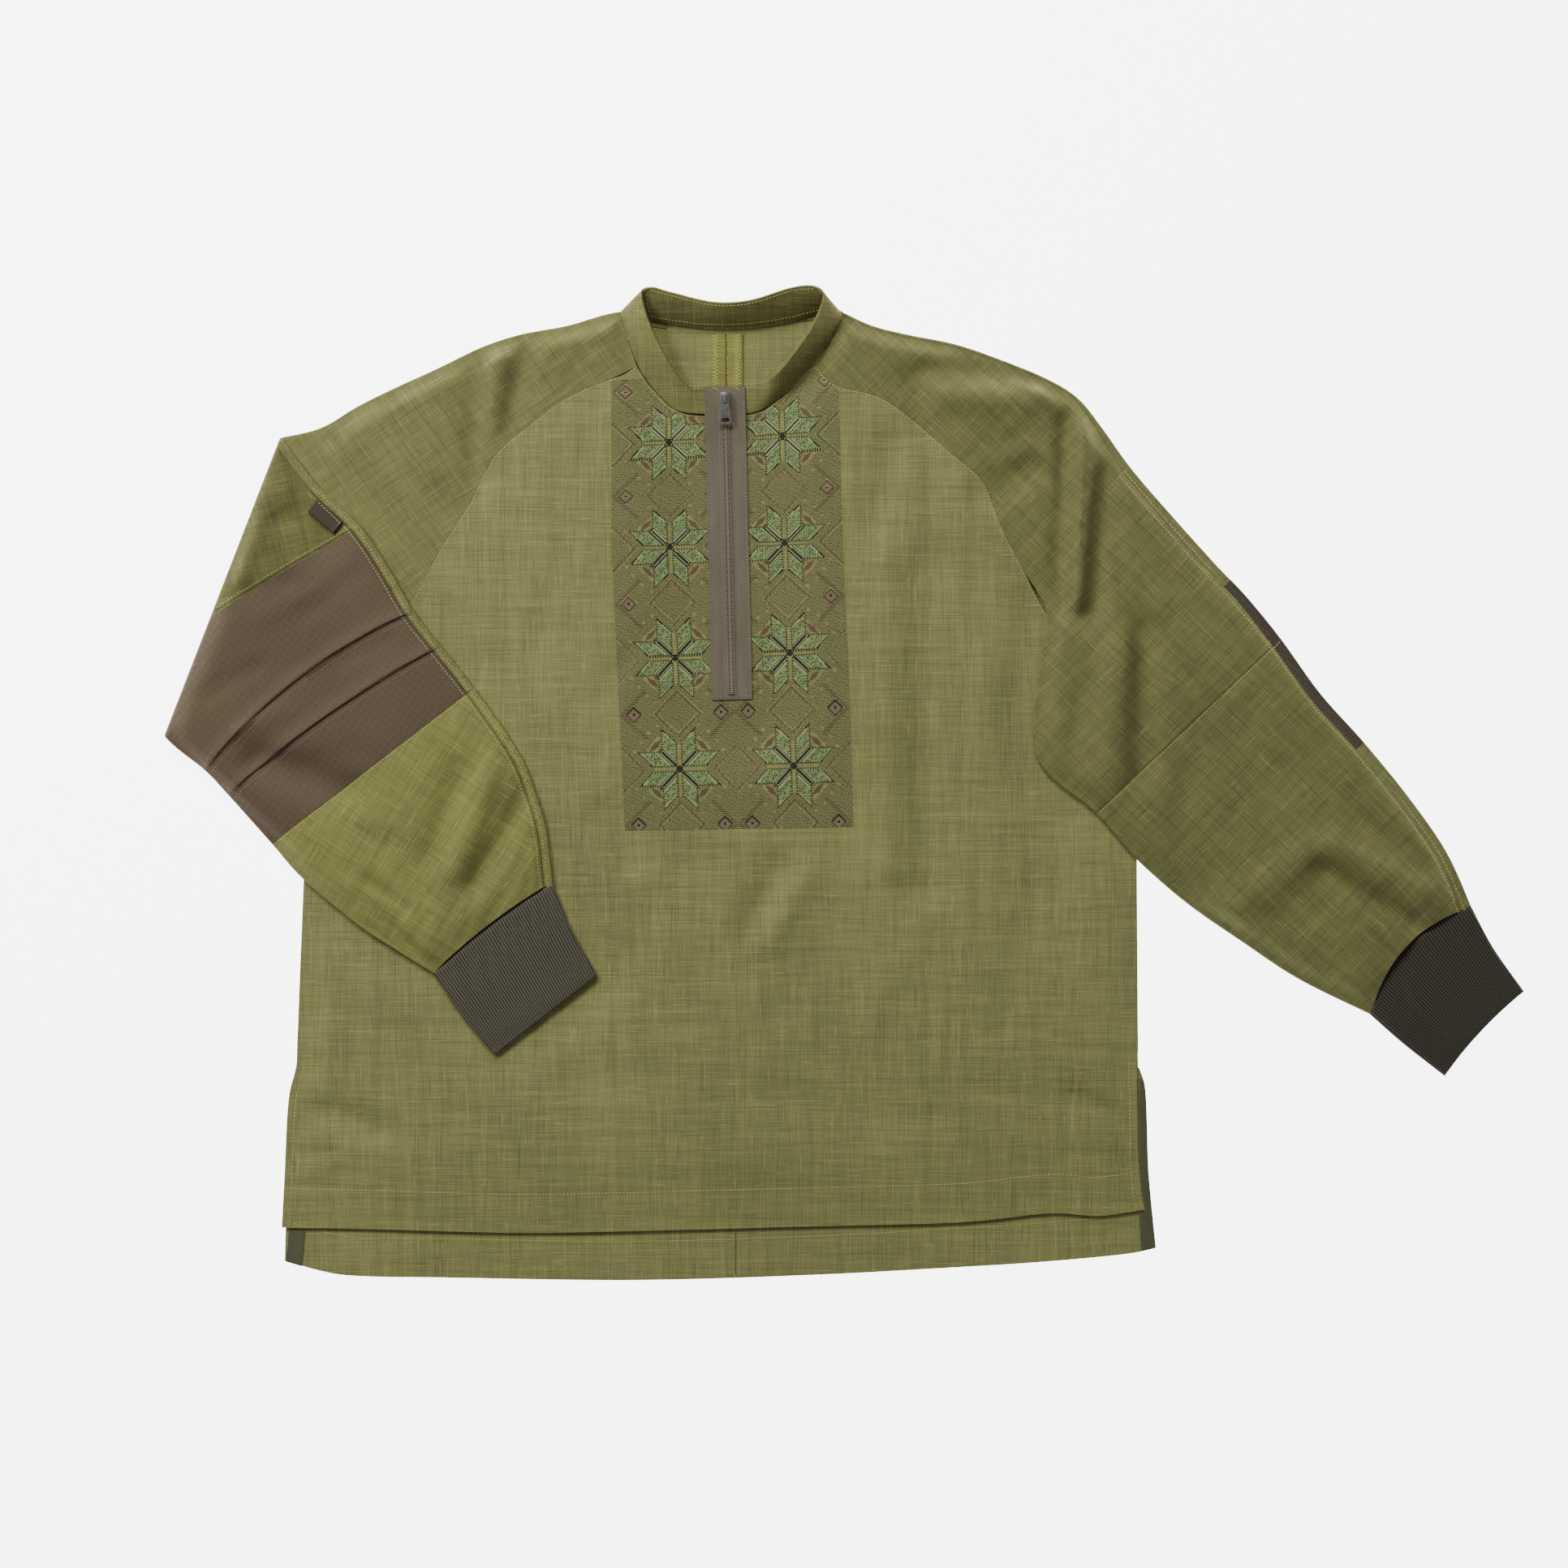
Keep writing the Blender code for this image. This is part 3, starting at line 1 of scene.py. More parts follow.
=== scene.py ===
"""Looks of a linen pullover shirt laid flat: cloth shells, stitching, embroidery, zip and soft light.

Tables and sizes are millimetres, X to the viewer's right, Y towards the collar, Z up from the floor.
Left is the viewer's left. Meshes are made in metres.
"""

from __future__ import annotations

import json
import logging
import math
from collections.abc import Callable, Iterable, Sequence
from dataclasses import dataclass, field
from enum import Enum

import bmesh
import bpy
import numpy as np
from mathutils import Matrix, Vector, noise
from mathutils.bvhtree import BVHTree

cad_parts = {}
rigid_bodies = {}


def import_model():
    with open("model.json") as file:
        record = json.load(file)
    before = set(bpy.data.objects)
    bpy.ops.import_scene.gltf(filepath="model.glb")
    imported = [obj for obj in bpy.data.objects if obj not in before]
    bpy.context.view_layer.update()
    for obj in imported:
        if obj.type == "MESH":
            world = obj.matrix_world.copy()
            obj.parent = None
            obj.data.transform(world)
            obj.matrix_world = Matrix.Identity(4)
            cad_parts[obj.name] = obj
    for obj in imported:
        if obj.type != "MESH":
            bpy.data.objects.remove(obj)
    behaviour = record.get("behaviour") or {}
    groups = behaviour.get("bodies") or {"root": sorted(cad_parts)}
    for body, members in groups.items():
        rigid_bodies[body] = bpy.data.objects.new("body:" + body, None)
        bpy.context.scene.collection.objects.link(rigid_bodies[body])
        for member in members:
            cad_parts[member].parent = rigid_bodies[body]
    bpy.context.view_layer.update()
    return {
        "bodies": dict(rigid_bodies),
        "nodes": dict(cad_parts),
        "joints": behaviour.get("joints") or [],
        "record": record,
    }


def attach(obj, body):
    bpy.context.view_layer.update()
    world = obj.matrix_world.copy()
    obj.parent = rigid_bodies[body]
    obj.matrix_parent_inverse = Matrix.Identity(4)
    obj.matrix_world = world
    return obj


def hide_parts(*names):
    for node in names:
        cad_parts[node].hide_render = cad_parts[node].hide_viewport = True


LOG = logging.getLogger("shirt")
MM = 0.001
Point = tuple[float, float]
Pair = tuple[float, float]
Triple = tuple[float, float, float]
Places = tuple[np.ndarray, np.ndarray, np.ndarray]
Shape = Callable[[np.ndarray, np.ndarray, np.ndarray], Places]

CLOTH = 1.2
GAP = 0.3
PITCH = 2.0
BACK_LEVEL = CLOTH / 2
FRONT_LEVEL = BACK_LEVEL + PITCH
FRONT_TOP = FRONT_LEVEL + CLOTH / 2
EDGE_RADIUS = PITCH / 2
QUARTER = EDGE_RADIUS * math.pi / 2
FOLD_HEIGHT = BACK_LEVEL + 1.5 * PITCH
OVERLAY = 2 * PITCH
SEAM_STEP = 0.0003
CUFF_STEP = 0.014
HALF_GAP = 0.1
TURN_UNDER = 6.0
SHORT_OF_TURN = EDGE_RADIUS + TURN_UNDER - QUARTER + 6 * GAP
SPACING = 0.15
FAR = 99.0
BACK_GAP = 0.012
BODY_PUFF = 4.2
SLEEVE_PUFF = 6.5
FOLD_GAIN = 3.2
CREASE_GAIN = 2.4
PRESSED = 26.0
SLEEVE_PRESSED = 15.0
SEAM_SHARE = 0.8
COVERED = 9.0
UNCOVERED = 40.0
CUFF_SHARE = 0.25
CUFF_REACH = 26.0
FLAT_ROUND = 0.6
PUFF_REACH = 60.0
BROAD_WAVE = (52, 41)
FINE_WAVE = (15, 19)
BODY_WAVES = (0.5, 0.16)
RIGHT_WAVES = (0.6, 0.25)
LEFT_WAVES = (0.6, 0.22)
ZIP_CLEAR = (9.0, 62.0)
LIFT_AWAY = (14.0, 36.0)
LIFT_FIRST = (-164.0, -138.0)
LIFT_SECOND = (-136.0, -112.0)
# Rise, and the groove's depth and breadth
FRONT_HEM = (0.35, 0.3, 1.6)
BACK_HEM = (0.25, 0.25, 1.5)
# Distance from the edge, height and breadth
OUTER_RIDGE = (3.6, 0.9, 2.0)
OUTER_DENT = (6.8, 1.0, 1.2)
SEAM_DENT = 1.3
SEAM_RIDGE = 0.3
RIDGE_AWAY = 3.2
RIDGE_BREADTH = 2.0
RIGHT_SEAM_DEPTH = 0.7
LEFT_SEAM_DEPTH = 0.6
PATCH_ABOVE = 1.5
PATCH_BELOW = 2.0
LEAST_SIDE = 0.011
LEAST_SHARE = 0.31

SIDE_LEFT = ((-413, 59), (-419, -72), (-424, -198), (-425, -219), (-431, -246), (-434, -304), (-436, -344))
SIDE_RIGHT = ((225, 62), (227, -56), (228, -207), (227, -217), (228, -288), (231, -320), (233, -330))
HEM_FRONT = ((-436, -344), (-372, -345), (-259, -348), (-176, -347), (-25, -343), (88, -340), (159, -333),
             (197, -335), (233, -330))
VENT_LEFT = ((-413, 59), (-419, -72), (-424, -198), (-425, -219), (-429, -246), (-432, -304), (-434, -370))
VENT_RIGHT = ((225, 62), (227, -56), (228, -207), (229, -220), (234, -238), (236, -294), (238, -320),
              (242, -360))
HEM_BACK = ((-434, -370), (-401, -379), (-374, -382), (-312, -383), (-164, -385), (-25, -381), (88, -375),
            (152, -371), (217, -365), (242, -360))
NECK_LEFT = ((-161, 324), (-152, 310), (-142, 299), (-132, 290), (-118, 286), (-95, 285))
NECK_RIGHT = ((-21, 324), (-28, 321), (-42, 305), (-52, 297), (-66, 288), (-93, 285))
BACK_NECK_LEFT = ((-151, 359), (-141, 366), (-107, 361), (-91, 360))
BACK_NECK_RIGHT = ((-19, 364), (-44, 367), (-73, 363), (-91, 360))
ARMPIT_RIGHT = ((192, 95), (225, 62))
HEM_CENTRE_FRONT = (-84, -345)
HEM_CENTRE_BACK = (-84, -383)
SLIT_FOOT = 75.0
HALF_SLIT = 0.6
HEM_DEPTH = 30.0
HEM_EDGE = 1.5

RIGHT_SLEEVE = (
    # name, outer x, outer y, inner x, inner y, under x, under y, bow, seam
    ("neck", 0, 365, -21, 324, -19, 364, 0, 2.4), ("yoke", 22, 355, -6, 309, 4, 342, 0, 2.4),
    ("blade", 50, 348, 27, 300, 28, 316, 0, 2.4), ("shoulder", 85, 341, 55, 281, 56, 280, 0, 2.4),
    ("cap", 118, 330, 82, 257, 80, 248, 0, 2.4), ("cap_2", 157, 314, 108, 234, 104, 216, 0, 2.4),
    ("cap_3", 181, 299, 121, 201, 124, 190, 0, 2.8), ("cap_4", 199, 277, 140, 164, 144, 163, 0, 4.5),
    ("fold_start", 222, 245, 157, 132, 166, 135, 0, 7), ("armhole", 252, 210, 151, 84, 200, 94, 0, 8),
    ("armpit", 287, 171, 147, 38, 236, 52, 0, 8), ("upper_arm", 311, 146, 157, 9, 232, 8, 0, 8),
    ("elbow_seam", 338, 113, 195, -22, 232, -22, 0, 9), ("forearm", 369, 70, 227, -58, 231, -58, 0, 9),
    ("forearm_2", 403, 32, 266, -92, 266, -92, 0, 9), ("forearm_3", 438, -11, 309, -122, 309, -122, 2, 9),
    ("wrist", 467, -53, 353, -151, 353, -151, 6, 9), ("cuff_seam", 486, -95, 408, -178, 408, -178, 13, 9),
)
LEFT_SLEEVE = (
    # name, outer x, outer y, folded, inner x, inner y, folded, under x, under y, bow
    ("neck", -174, 366, False, -161, 324, False, -151, 359, 0),
    ("yoke", -188, 363, False, -178, 315, False, -168, 346, 0),
    ("blade", -215, 355, False, -201, 306, False, -190, 321, 0),
    ("shoulder", -252, 348, False, -220, 296, False, -216, 287, 0),
    ("cap", -282, 338, False, -244, 278, False, -240, 252, 0),
    ("cap_2", -315, 322, False, -271, 254, False, -262, 222, 0),
    ("cap_3", -350, 306, False, -293, 213, False, -290, 186, 0),
    ("cap_4", -378, 292, False, -313, 182, False, -316, 155, 0),
    ("armhole", -403, 277, False, -333, 146, False, -338, 130, 0),
    ("armhole_2", -428, 270, False, -378, 98, False, -378, 91, 0),
    ("armpit", -408, 231, True, -413, 59, False, -414, 60, 0),
    ("patch_top", -376, 200, True, -469, 50, False, -469, 50, 0),
    ("elbow", -354, 168, True, -527, 38, True, -527, 38, 4),
    ("tuck_1", -334, 134, True, -495, 11, True, -495, 11, 12),
    ("tuck_2", -313, 107, True, -477, -8, True, -477, -8, 6),
    ("elbow_seam", -287, 74, True, -443, -46, True, -443, -46, 0),
    ("forearm", -253, 25, True, -419, -73, True, -419, -73, 0),
    ("forearm_2", -240, -6, True, -375, -110, True, -375, -110, 0),
    ("wrist", -231, -37, True, -346, -129, True, -346, -129, 0),
    ("cuff_seam", -226, -79, True, -317, -147, True, -317, -147, 3),
)
LEFT_SEAM = -6.5
FOLD_TOP = (-440, 262)
FOLD_BOTTOM = (-527, 38)
PATCH_TOP = ((-382, 197), (-487, 134))
RIGHT_CUFF = (("seam", 486, -95, 408, -178, 13), ("middle", 503, -127, 434, -201, 7),
              ("hem", 527, -161, 466, -226, 3))
LEFT_CUFF = (("seam", -226, -79, -317, -147, 3), ("middle", -210, -117, -295, -180, 1),
             ("hem", -192, -148, -271, -209, 0))
LEFT_COVER = ((-440, 262), (-408, 232), (-376, 200), (-337, 140), (-313, 107), (-287, 74), (-253, 25),
              (-240, -6), (-231, -37), (-226, -79), (-210, -117), (-192, -148), (-271, -209), (-295, -180),
              (-317, -147), (-375, -110), (-419, -73), (-443, -46), (-527, 38))
RIGHT_COVER = ((157, 132), (151, 84), (147, 38), (157, 9), (195, -22), (227, -58), (309, -122), (408, -178),
               (486, -95), (438, -11), (338, 113), (252, 210), (222, 245))
BODY_RIGHT = ((157, 132), (225, 62), (227, -56), (228, -207), (0, -207), (0, 132))

# Large folds, as in the solids: from x, y, to x, y, half width, height
FOLDS = (
    (173, 281, 167, 142, 8, -2.2), (186, 287, 180, 142, 9, 2.4), (201, 237, 192, 136, 10, -2.0),
    (234, 117, 230, 10, 12, -2.6), (212, 111, 208, 10, 12, 1.8), (365, -66, 441, -110, 9, -2.4),
    (359, -56, 290, -103, 13, 1.8), (378, -46, 450, -84, 9, 1.8), (54, 312, 63, 275, 11, -2.2),
    (70, 320, 158, 322, 11, -1.6), (80, 300, 150, 296, 12, 1.4), (38, 268, 28, 205, 10, -1.4),
    (110, 224, 142, 243, 11, -2.2), (-285, 338, -284, 231, 9, -2.0), (-246, 338, -265, 268, 10, -1.6),
    (-267, 338, -274, 256, 10, 1.8), (-441, 205, -390, 208, 10, -1.6), (-246, -9, -284, -78, 10, -2.2),
    (-296, 10, -321, -59, 10, -1.8), (-271, 10, -302, -66, 10, 1.8), (-452, 18, -386, -5, 13, -2.4),
    (-183, -21, -164, -59, 11, -1.2), (-50, -66, -76, -116, 12, -1.2), (-30, -70, -58, -120, 12, 1.0),
    (63, 168, 63, -84, 15, -1.2), (30, 168, 34, -60, 17, 1.1), (-410, -255, -359, -267, 10, -1.0),
    (-365, -78, -337, -125, 8, -1.6), (-424, 240, -402, 190, 17, -2.0), (-450, 226, -468, 162, 9, 1.4),
    (-426, 256, -392, 268, 6, -1.4),
)
# Finer creases of the cloth alone, placed one by one
CREASES = (
    (-250, 335, -240, 300, 5, -0.8), (-226, 328, -232, 306, 4, -0.6), (-306, 322, -298, 292, 5, -0.7),
    (-352, 296, -330, 268, 5, -0.8), (-338, 262, -322, 240, 4, 0.6), (-398, 268, -368, 240, 6, -0.8),
    (-412, 246, -384, 224, 5, 0.7), (-204, 336, -212, 316, 4, -0.5), (96, 330, 128, 306, 5, -0.8),
    (142, 306, 166, 300, 5, 0.7), (26, 330, 40, 306, 5, -0.6), (114, 262, 150, 270, 5, -0.8),
    (150, 246, 158, 210, 5, -0.8), (208, 208, 216, 150, 6, -0.9), (246, 152, 238, 96, 6, 0.7),
    (182, 72, 176, 20, 6, -0.9), (196, 60, 202, 4, 5, 0.7), (276, 40, 262, -20, 7, -0.7),
    (330, 20, 372, -6, 7, -0.7), (392, -24, 438, -52, 5, -0.9), (402, -70, 452, -104, 4, 0.8),
    (372, -92, 420, -132, 5, -0.9), (348, -112, 392, -150, 4, 0.7), (300, -84, 346, -112, 6, -0.7),
    (-474, 146, -426, 158, 6, -0.8), (-462, 124, -404, 150, 5, 0.6), (-388, 96, -350, 112, 5, -0.7),
    (-418, 132, -372, 166, 6, -0.6), (-496, 66, -452, 92, 5, -0.8), (-470, 40, -430, 58, 4, 0.7),
    (-420, 16, -372, 26, 6, -0.7), (-400, -22, -352, -50, 6, -0.8), (-352, -36, -322, -86, 6, -0.8),
    (-262, 12, -276, -30, 5, -0.8), (-244, -46, -262, -88, 5, -0.9), (-300, -92, -312, -126, 4, -0.8),
    (-276, -72, -288, -110, 4, 0.7), (-262, -66, -272, -100, 4, -0.7), (-332, -100, -344, -120, 4, 0.6),
    (-150, 120, -196, 60, 9, -0.5), (-210, 200, -236, 110, 9, -0.5), (-120, -60, -180, -150, 12, -0.5),
    (-20, -130, -70, -200, 12, -0.5), (60, -100, 20, -190, 12, 0.5), (150, -80, 120, -190, 12, -0.6),
    (-260, -220, -170, -236, 10, -0.5), (-60, -240, 60, -262, 12, -0.5), (100, -236, 196, -250, 10, -0.5),
    (-340, -190, -300, -260, 10, -0.5), (180, -240, 220, -262, 6, -0.8), (176, -284, 220, -288, 5, -0.7),
    (-424, -246, -396, -252, 5, -0.8), (-426, -282, -398, -286, 5, -0.8), (-428, -310, -404, -312, 4, -0.7),
    (96, 150, 88, 40, 12, -0.5), (110, 20, 120, -70, 12, 0.5), (22, 240, 16, 150, 9, -0.5),
    (-192, 300, -206, 240, 8, -0.6), (60, 232, 74, 170, 8, -0.7), (100, 178, 110, 120, 8, -0.6),
    (-374, -90, -324, -138, 4, -1.0), (-366, -84, -318, -132, 4, 0.8), (-292, -112, -284, -90, 3, -0.9),
    (-268, -96, -258, -76, 3, -0.9), (-246, -88, -244, -66, 3, -0.7),
)
TUCK_DEPTH = 9.0
TUCK_HEIGHT = 1.9
TUCK_EDGE = 1.2

COLLAR = (
    # seam x, seam y, top x, top y, top z
    (-95.5, 285.6, -94.8, 306.2, 4.6), (-110, 286, -107, 306.2, 5.2), (-131, 290, -122, 307, 9),
    (-151, 310, -134, 323, 14), (-160, 324, -142, 337, 17), (-165.5, 338, -148, 350, 19),
    (-170.5, 353, -153, 363, 20), (-173, 365.5, -155.8, 379, 20.5), (-163, 362.4, -148, 383, 20),
    (-141, 357.4, -134, 379.3, 19.5), (-107, 353, -101, 371.7, 19.5), (-73, 353.7, -73, 373, 20),
    (-44, 358, -42, 382.4, 20), (-20, 364, -25, 384.2, 20), (-5, 366.5, -17, 379, 20.5),
    (-2, 359, -17.6, 370, 20), (-12, 343, -24, 355, 20.5), (-25, 327, -32, 342, 20), (-42, 306, -49, 320, 18),
    (-66, 289, -63, 308.7, 9), (-80, 286, -80, 307.5, 5.2), (-92.8, 285.6, -92, 307.5, 4.6),
)
# Narrow binding that closes the neck seam where back, sleeve and band meet
NECK_CORNER_LEFT = ((-163, 344), (-169, 356), (-172.6, 365.4), (-163, 361.5), (-148, 357.5), (-138, 356))
NECK_CORNER_RIGHT = ((-36, 361), (-22, 363), (-9, 365.5), (-2.4, 364.4), (-1.2, 359.6), (-4.5, 353),
                     (-10, 347))
BAND_WALL = 2.0
BAND_FOOT = 3.2
BAND_INSET = 1.2
ZIP_FOOT = (-86.9, 65.5)
ZIP_TOP = (-92.7, 307.8)
TAPE_HALF = 15.8
TAPE_WALL = 1.0
ZIP_ON_FRONT = FRONT_TOP + GAP
ZIP_ON_BAND = 4.9
ZIP_RISE = 1.9
LOOP_CORNERS = ((-407.6, 219.9), (-388.1, 202.9), (-395.6, 194.0), (-414.5, 211.7))
FACING_RIGHT = (
    # inner x, y, outer x, y
    (229.6, -228, 231.0, -228), (229.6, -244, 234.2, -244), (230.0, -294, 235.2, -294),
    (232.6, -320, 237.2, -320), (235.0, -332.4, 238.4, -332.4), (229.0, -334.6, 238.8, -334.0),
    (230.5, -362.0, 241.2, -359.6),
)
FACING_LEFT = (
    (-418.6, -346.8, -430.6, -346.4), (-419.4, -360, -431.6, -359), (-421.0, -374, -433.0, -370.5),
)
# Square metres of each sheet's cloth within its own outline, laid flat
FLAT_AREA = {
    "front": 0.370, "back_left": 0.205, "back_right": 0.197, "left_sleeve_front": 0.0846,
    "left_forearm_front": 0.0267, "left_sleeve_back": 0.0496, "left_elbow_patch": 0.0340,
    "left_forearm_back": 0.0262, "right_sleeve_front": 0.0477, "right_forearm_front": 0.0421,
    "right_sleeve_back": 0.0364, "right_elbow_patch": 0.0237, "right_forearm_back": 0.0237,
    "left_cuff": 0.0182, "right_cuff": 0.0182,
}


class Layer(Enum):
    """The two layers of a flat sleeve."""

    FRONT = "front"
    BACK = "back"


class Hold(Enum):
    """How a sheet of cloth is held."""

    LAID = "laid"
    FOLDED = "folded"


# Curves and areas


def ease(value: np.ndarray | float, low: float, high: float) -> np.ndarray:
    """0 below low, 1 above high, smooth between."""
    share = np.clip((np.asarray(value, float) - low) / (high - low), 0.0, 1.0)
    return share * share * (3 - 2 * share)


def spline(points: Sequence | np.ndarray, at: Iterable | np.ndarray) -> np.ndarray:
    """Reads a Catmull-Rom curve through points.

    Args:
        points: The points that it passes, one a row.
        at: Positions counted in points from 0.

    Returns:
        One point for each position.
    """
    points = np.asarray(points, float)
    last = len(points) - 1
    at = np.clip(np.atleast_1d(np.asarray(at, float)), 0, last)
    first = np.minimum(at.astype(int), last - 1)
    share = (at - first)[:, None]
    before = points[np.maximum(first - 1, 0)]
    start, end = points[first], points[first + 1]
    after = points[np.minimum(first + 2, last)]
    return 0.5 * (2 * start + (end - before) * share
                  + (2 * before - 5 * start + 4 * end - after) * share ** 2
                  + (3 * start - before - 3 * end + after) * share ** 3)


def evenly(points: Sequence | np.ndarray, count: int) -> np.ndarray:
    """The curve through points, as count points an even distance apart."""
    fine = spline(points, np.linspace(0, len(points) - 1, 24 * len(points)))
    walked = np.concatenate([[0], np.cumsum(np.linalg.norm(np.diff(fine, axis=0), axis=1))])
    wanted = np.linspace(0, walked[-1], count)
    return np.stack([np.interp(wanted, walked, fine[:, k]) for k in range(fine.shape[1])], axis=1)


def closer(points: Sequence, step: float = 20.0) -> np.ndarray:
    """The line with its points at most a step apart, so that its curve can't run back on itself."""
    made = [points[0]]
    for start, end in zip(points[:-1], points[1:]):
        count = math.ceil(math.dist(start, end) / step)
        made += [tuple(spot) for spot in np.linspace(start, end, count + 1)[1:]]
    return np.array(made, float)


def straight(points: Sequence | np.ndarray, at: np.ndarray) -> np.ndarray:
    """Reads a line that runs straight from point to point, at positions counted in points."""
    points = np.asarray(points, float)
    rows = np.arange(len(points))
    return np.stack([np.interp(at, rows, points[:, k]) for k in range(points.shape[1])], axis=1)


def quarters(points: Sequence) -> np.ndarray:
    """Positions a quarter of a point apart along a line."""
    return np.arange(0, len(points) - 0.99, 0.25)


def sideways(along: np.ndarray) -> np.ndarray:
    """Unit vectors a quarter turn to the left of each direction."""
    across = np.stack([-along[:, 1], along[:, 0]], axis=1)
    return across / np.linalg.norm(across, axis=1)[:, None]


def length_of(points: Sequence | np.ndarray) -> float:
    """Length of the curve through points."""
    fine = spline(points, np.linspace(0, len(points) - 1, 24 * len(points)))
    return float(np.linalg.norm(np.diff(fine, axis=0), axis=1).sum())


def distance_to(line: Sequence | np.ndarray, x: np.ndarray, y: np.ndarray) -> np.ndarray:
    """Distance in plan from each place to a line of points."""
    line = np.asarray(line, float)
    near = np.full(np.shape(x), np.inf)
    for (ax, ay), (bx, by) in zip(line[:-1], line[1:]):
        span = max((bx - ax) ** 2 + (by - ay) ** 2, 1e-9)
        share = np.clip(((x - ax) * (bx - ax) + (y - ay) * (by - ay)) / span, 0, 1)
        near = np.minimum(near, np.hypot(x - ax - share * (bx - ax), y - ay - share * (by - ay)))
    return near


def inside(outline: Sequence | np.ndarray, x: np.ndarray, y: np.ndarray) -> np.ndarray:
    """Whether each place lies within a closed outline."""
    outline = np.asarray(outline, float)
    within = np.zeros(np.shape(x), bool)
    for (ax, ay), (bx, by) in zip(outline, np.roll(outline, -1, axis=0)):
        if ay != by:
            within ^= ((ay > y) != (by > y)) & (x < (bx - ax) * (y - ay) / (by - ay) + ax)
    return within


def outside_by(outline: Sequence | np.ndarray, x: np.ndarray, y: np.ndarray) -> np.ndarray:
    """Distance outside a closed outline, negative within it."""
    closed = [*outline, outline[0]]
    return distance_to(closed, x, y) * np.where(inside(outline, x, y), -1, 1)


def clear_of(outline: Sequence | np.ndarray, x: np.ndarray, y: np.ndarray) -> np.ndarray:
    """0 under and beside what covers the cloth, 1 well away from it."""
    return ease(outside_by(outline, x, y), COVERED, UNCOVERED)


def bell(away: np.ndarray, height: float, breadth: float) -> np.ndarray:
    """A rounded ridge along a line, from the distance to it."""
    return height * np.exp(-(away / breadth) ** 2)


def row_index(table: Sequence, name: str) -> int:
    """The place of a named row in a table."""
    return next(k for k, row in enumerate(table) if row[0] == name)


def points_of(table: Sequence, column: int) -> list[Point]:
    """A table's points, whose X stands in one column and Y in the next."""
    return [row[column:column + 2] for row in table]


def folded_edge() -> list[Point]:
    """The outer edge of the left sleeve where it is folded over."""
    return [row[1:3] for row in LEFT_SLEEVE if row[3]]


def left_elbow_seam() -> tuple[Point, Point]:
    """The folded sleeve's elbow seam, from its outer to its inner edge."""
    row = LEFT_SLEEVE[row_index(LEFT_SLEEVE, "elbow_seam")]
    return row[1:3], row[4:6]


def refined(stations: Sequence[float], step: float) -> list[float]:
    """Stations with more put between those that lie further apart than step."""
    made = [stations[0]]
    for start, end in zip(stations[:-1], stations[1:]):
        count = max(1, math.ceil((end - start) / step - 1e-6))
        made += list(np.linspace(start, end, count + 1)[1:])
    return made


# Height of the cloth


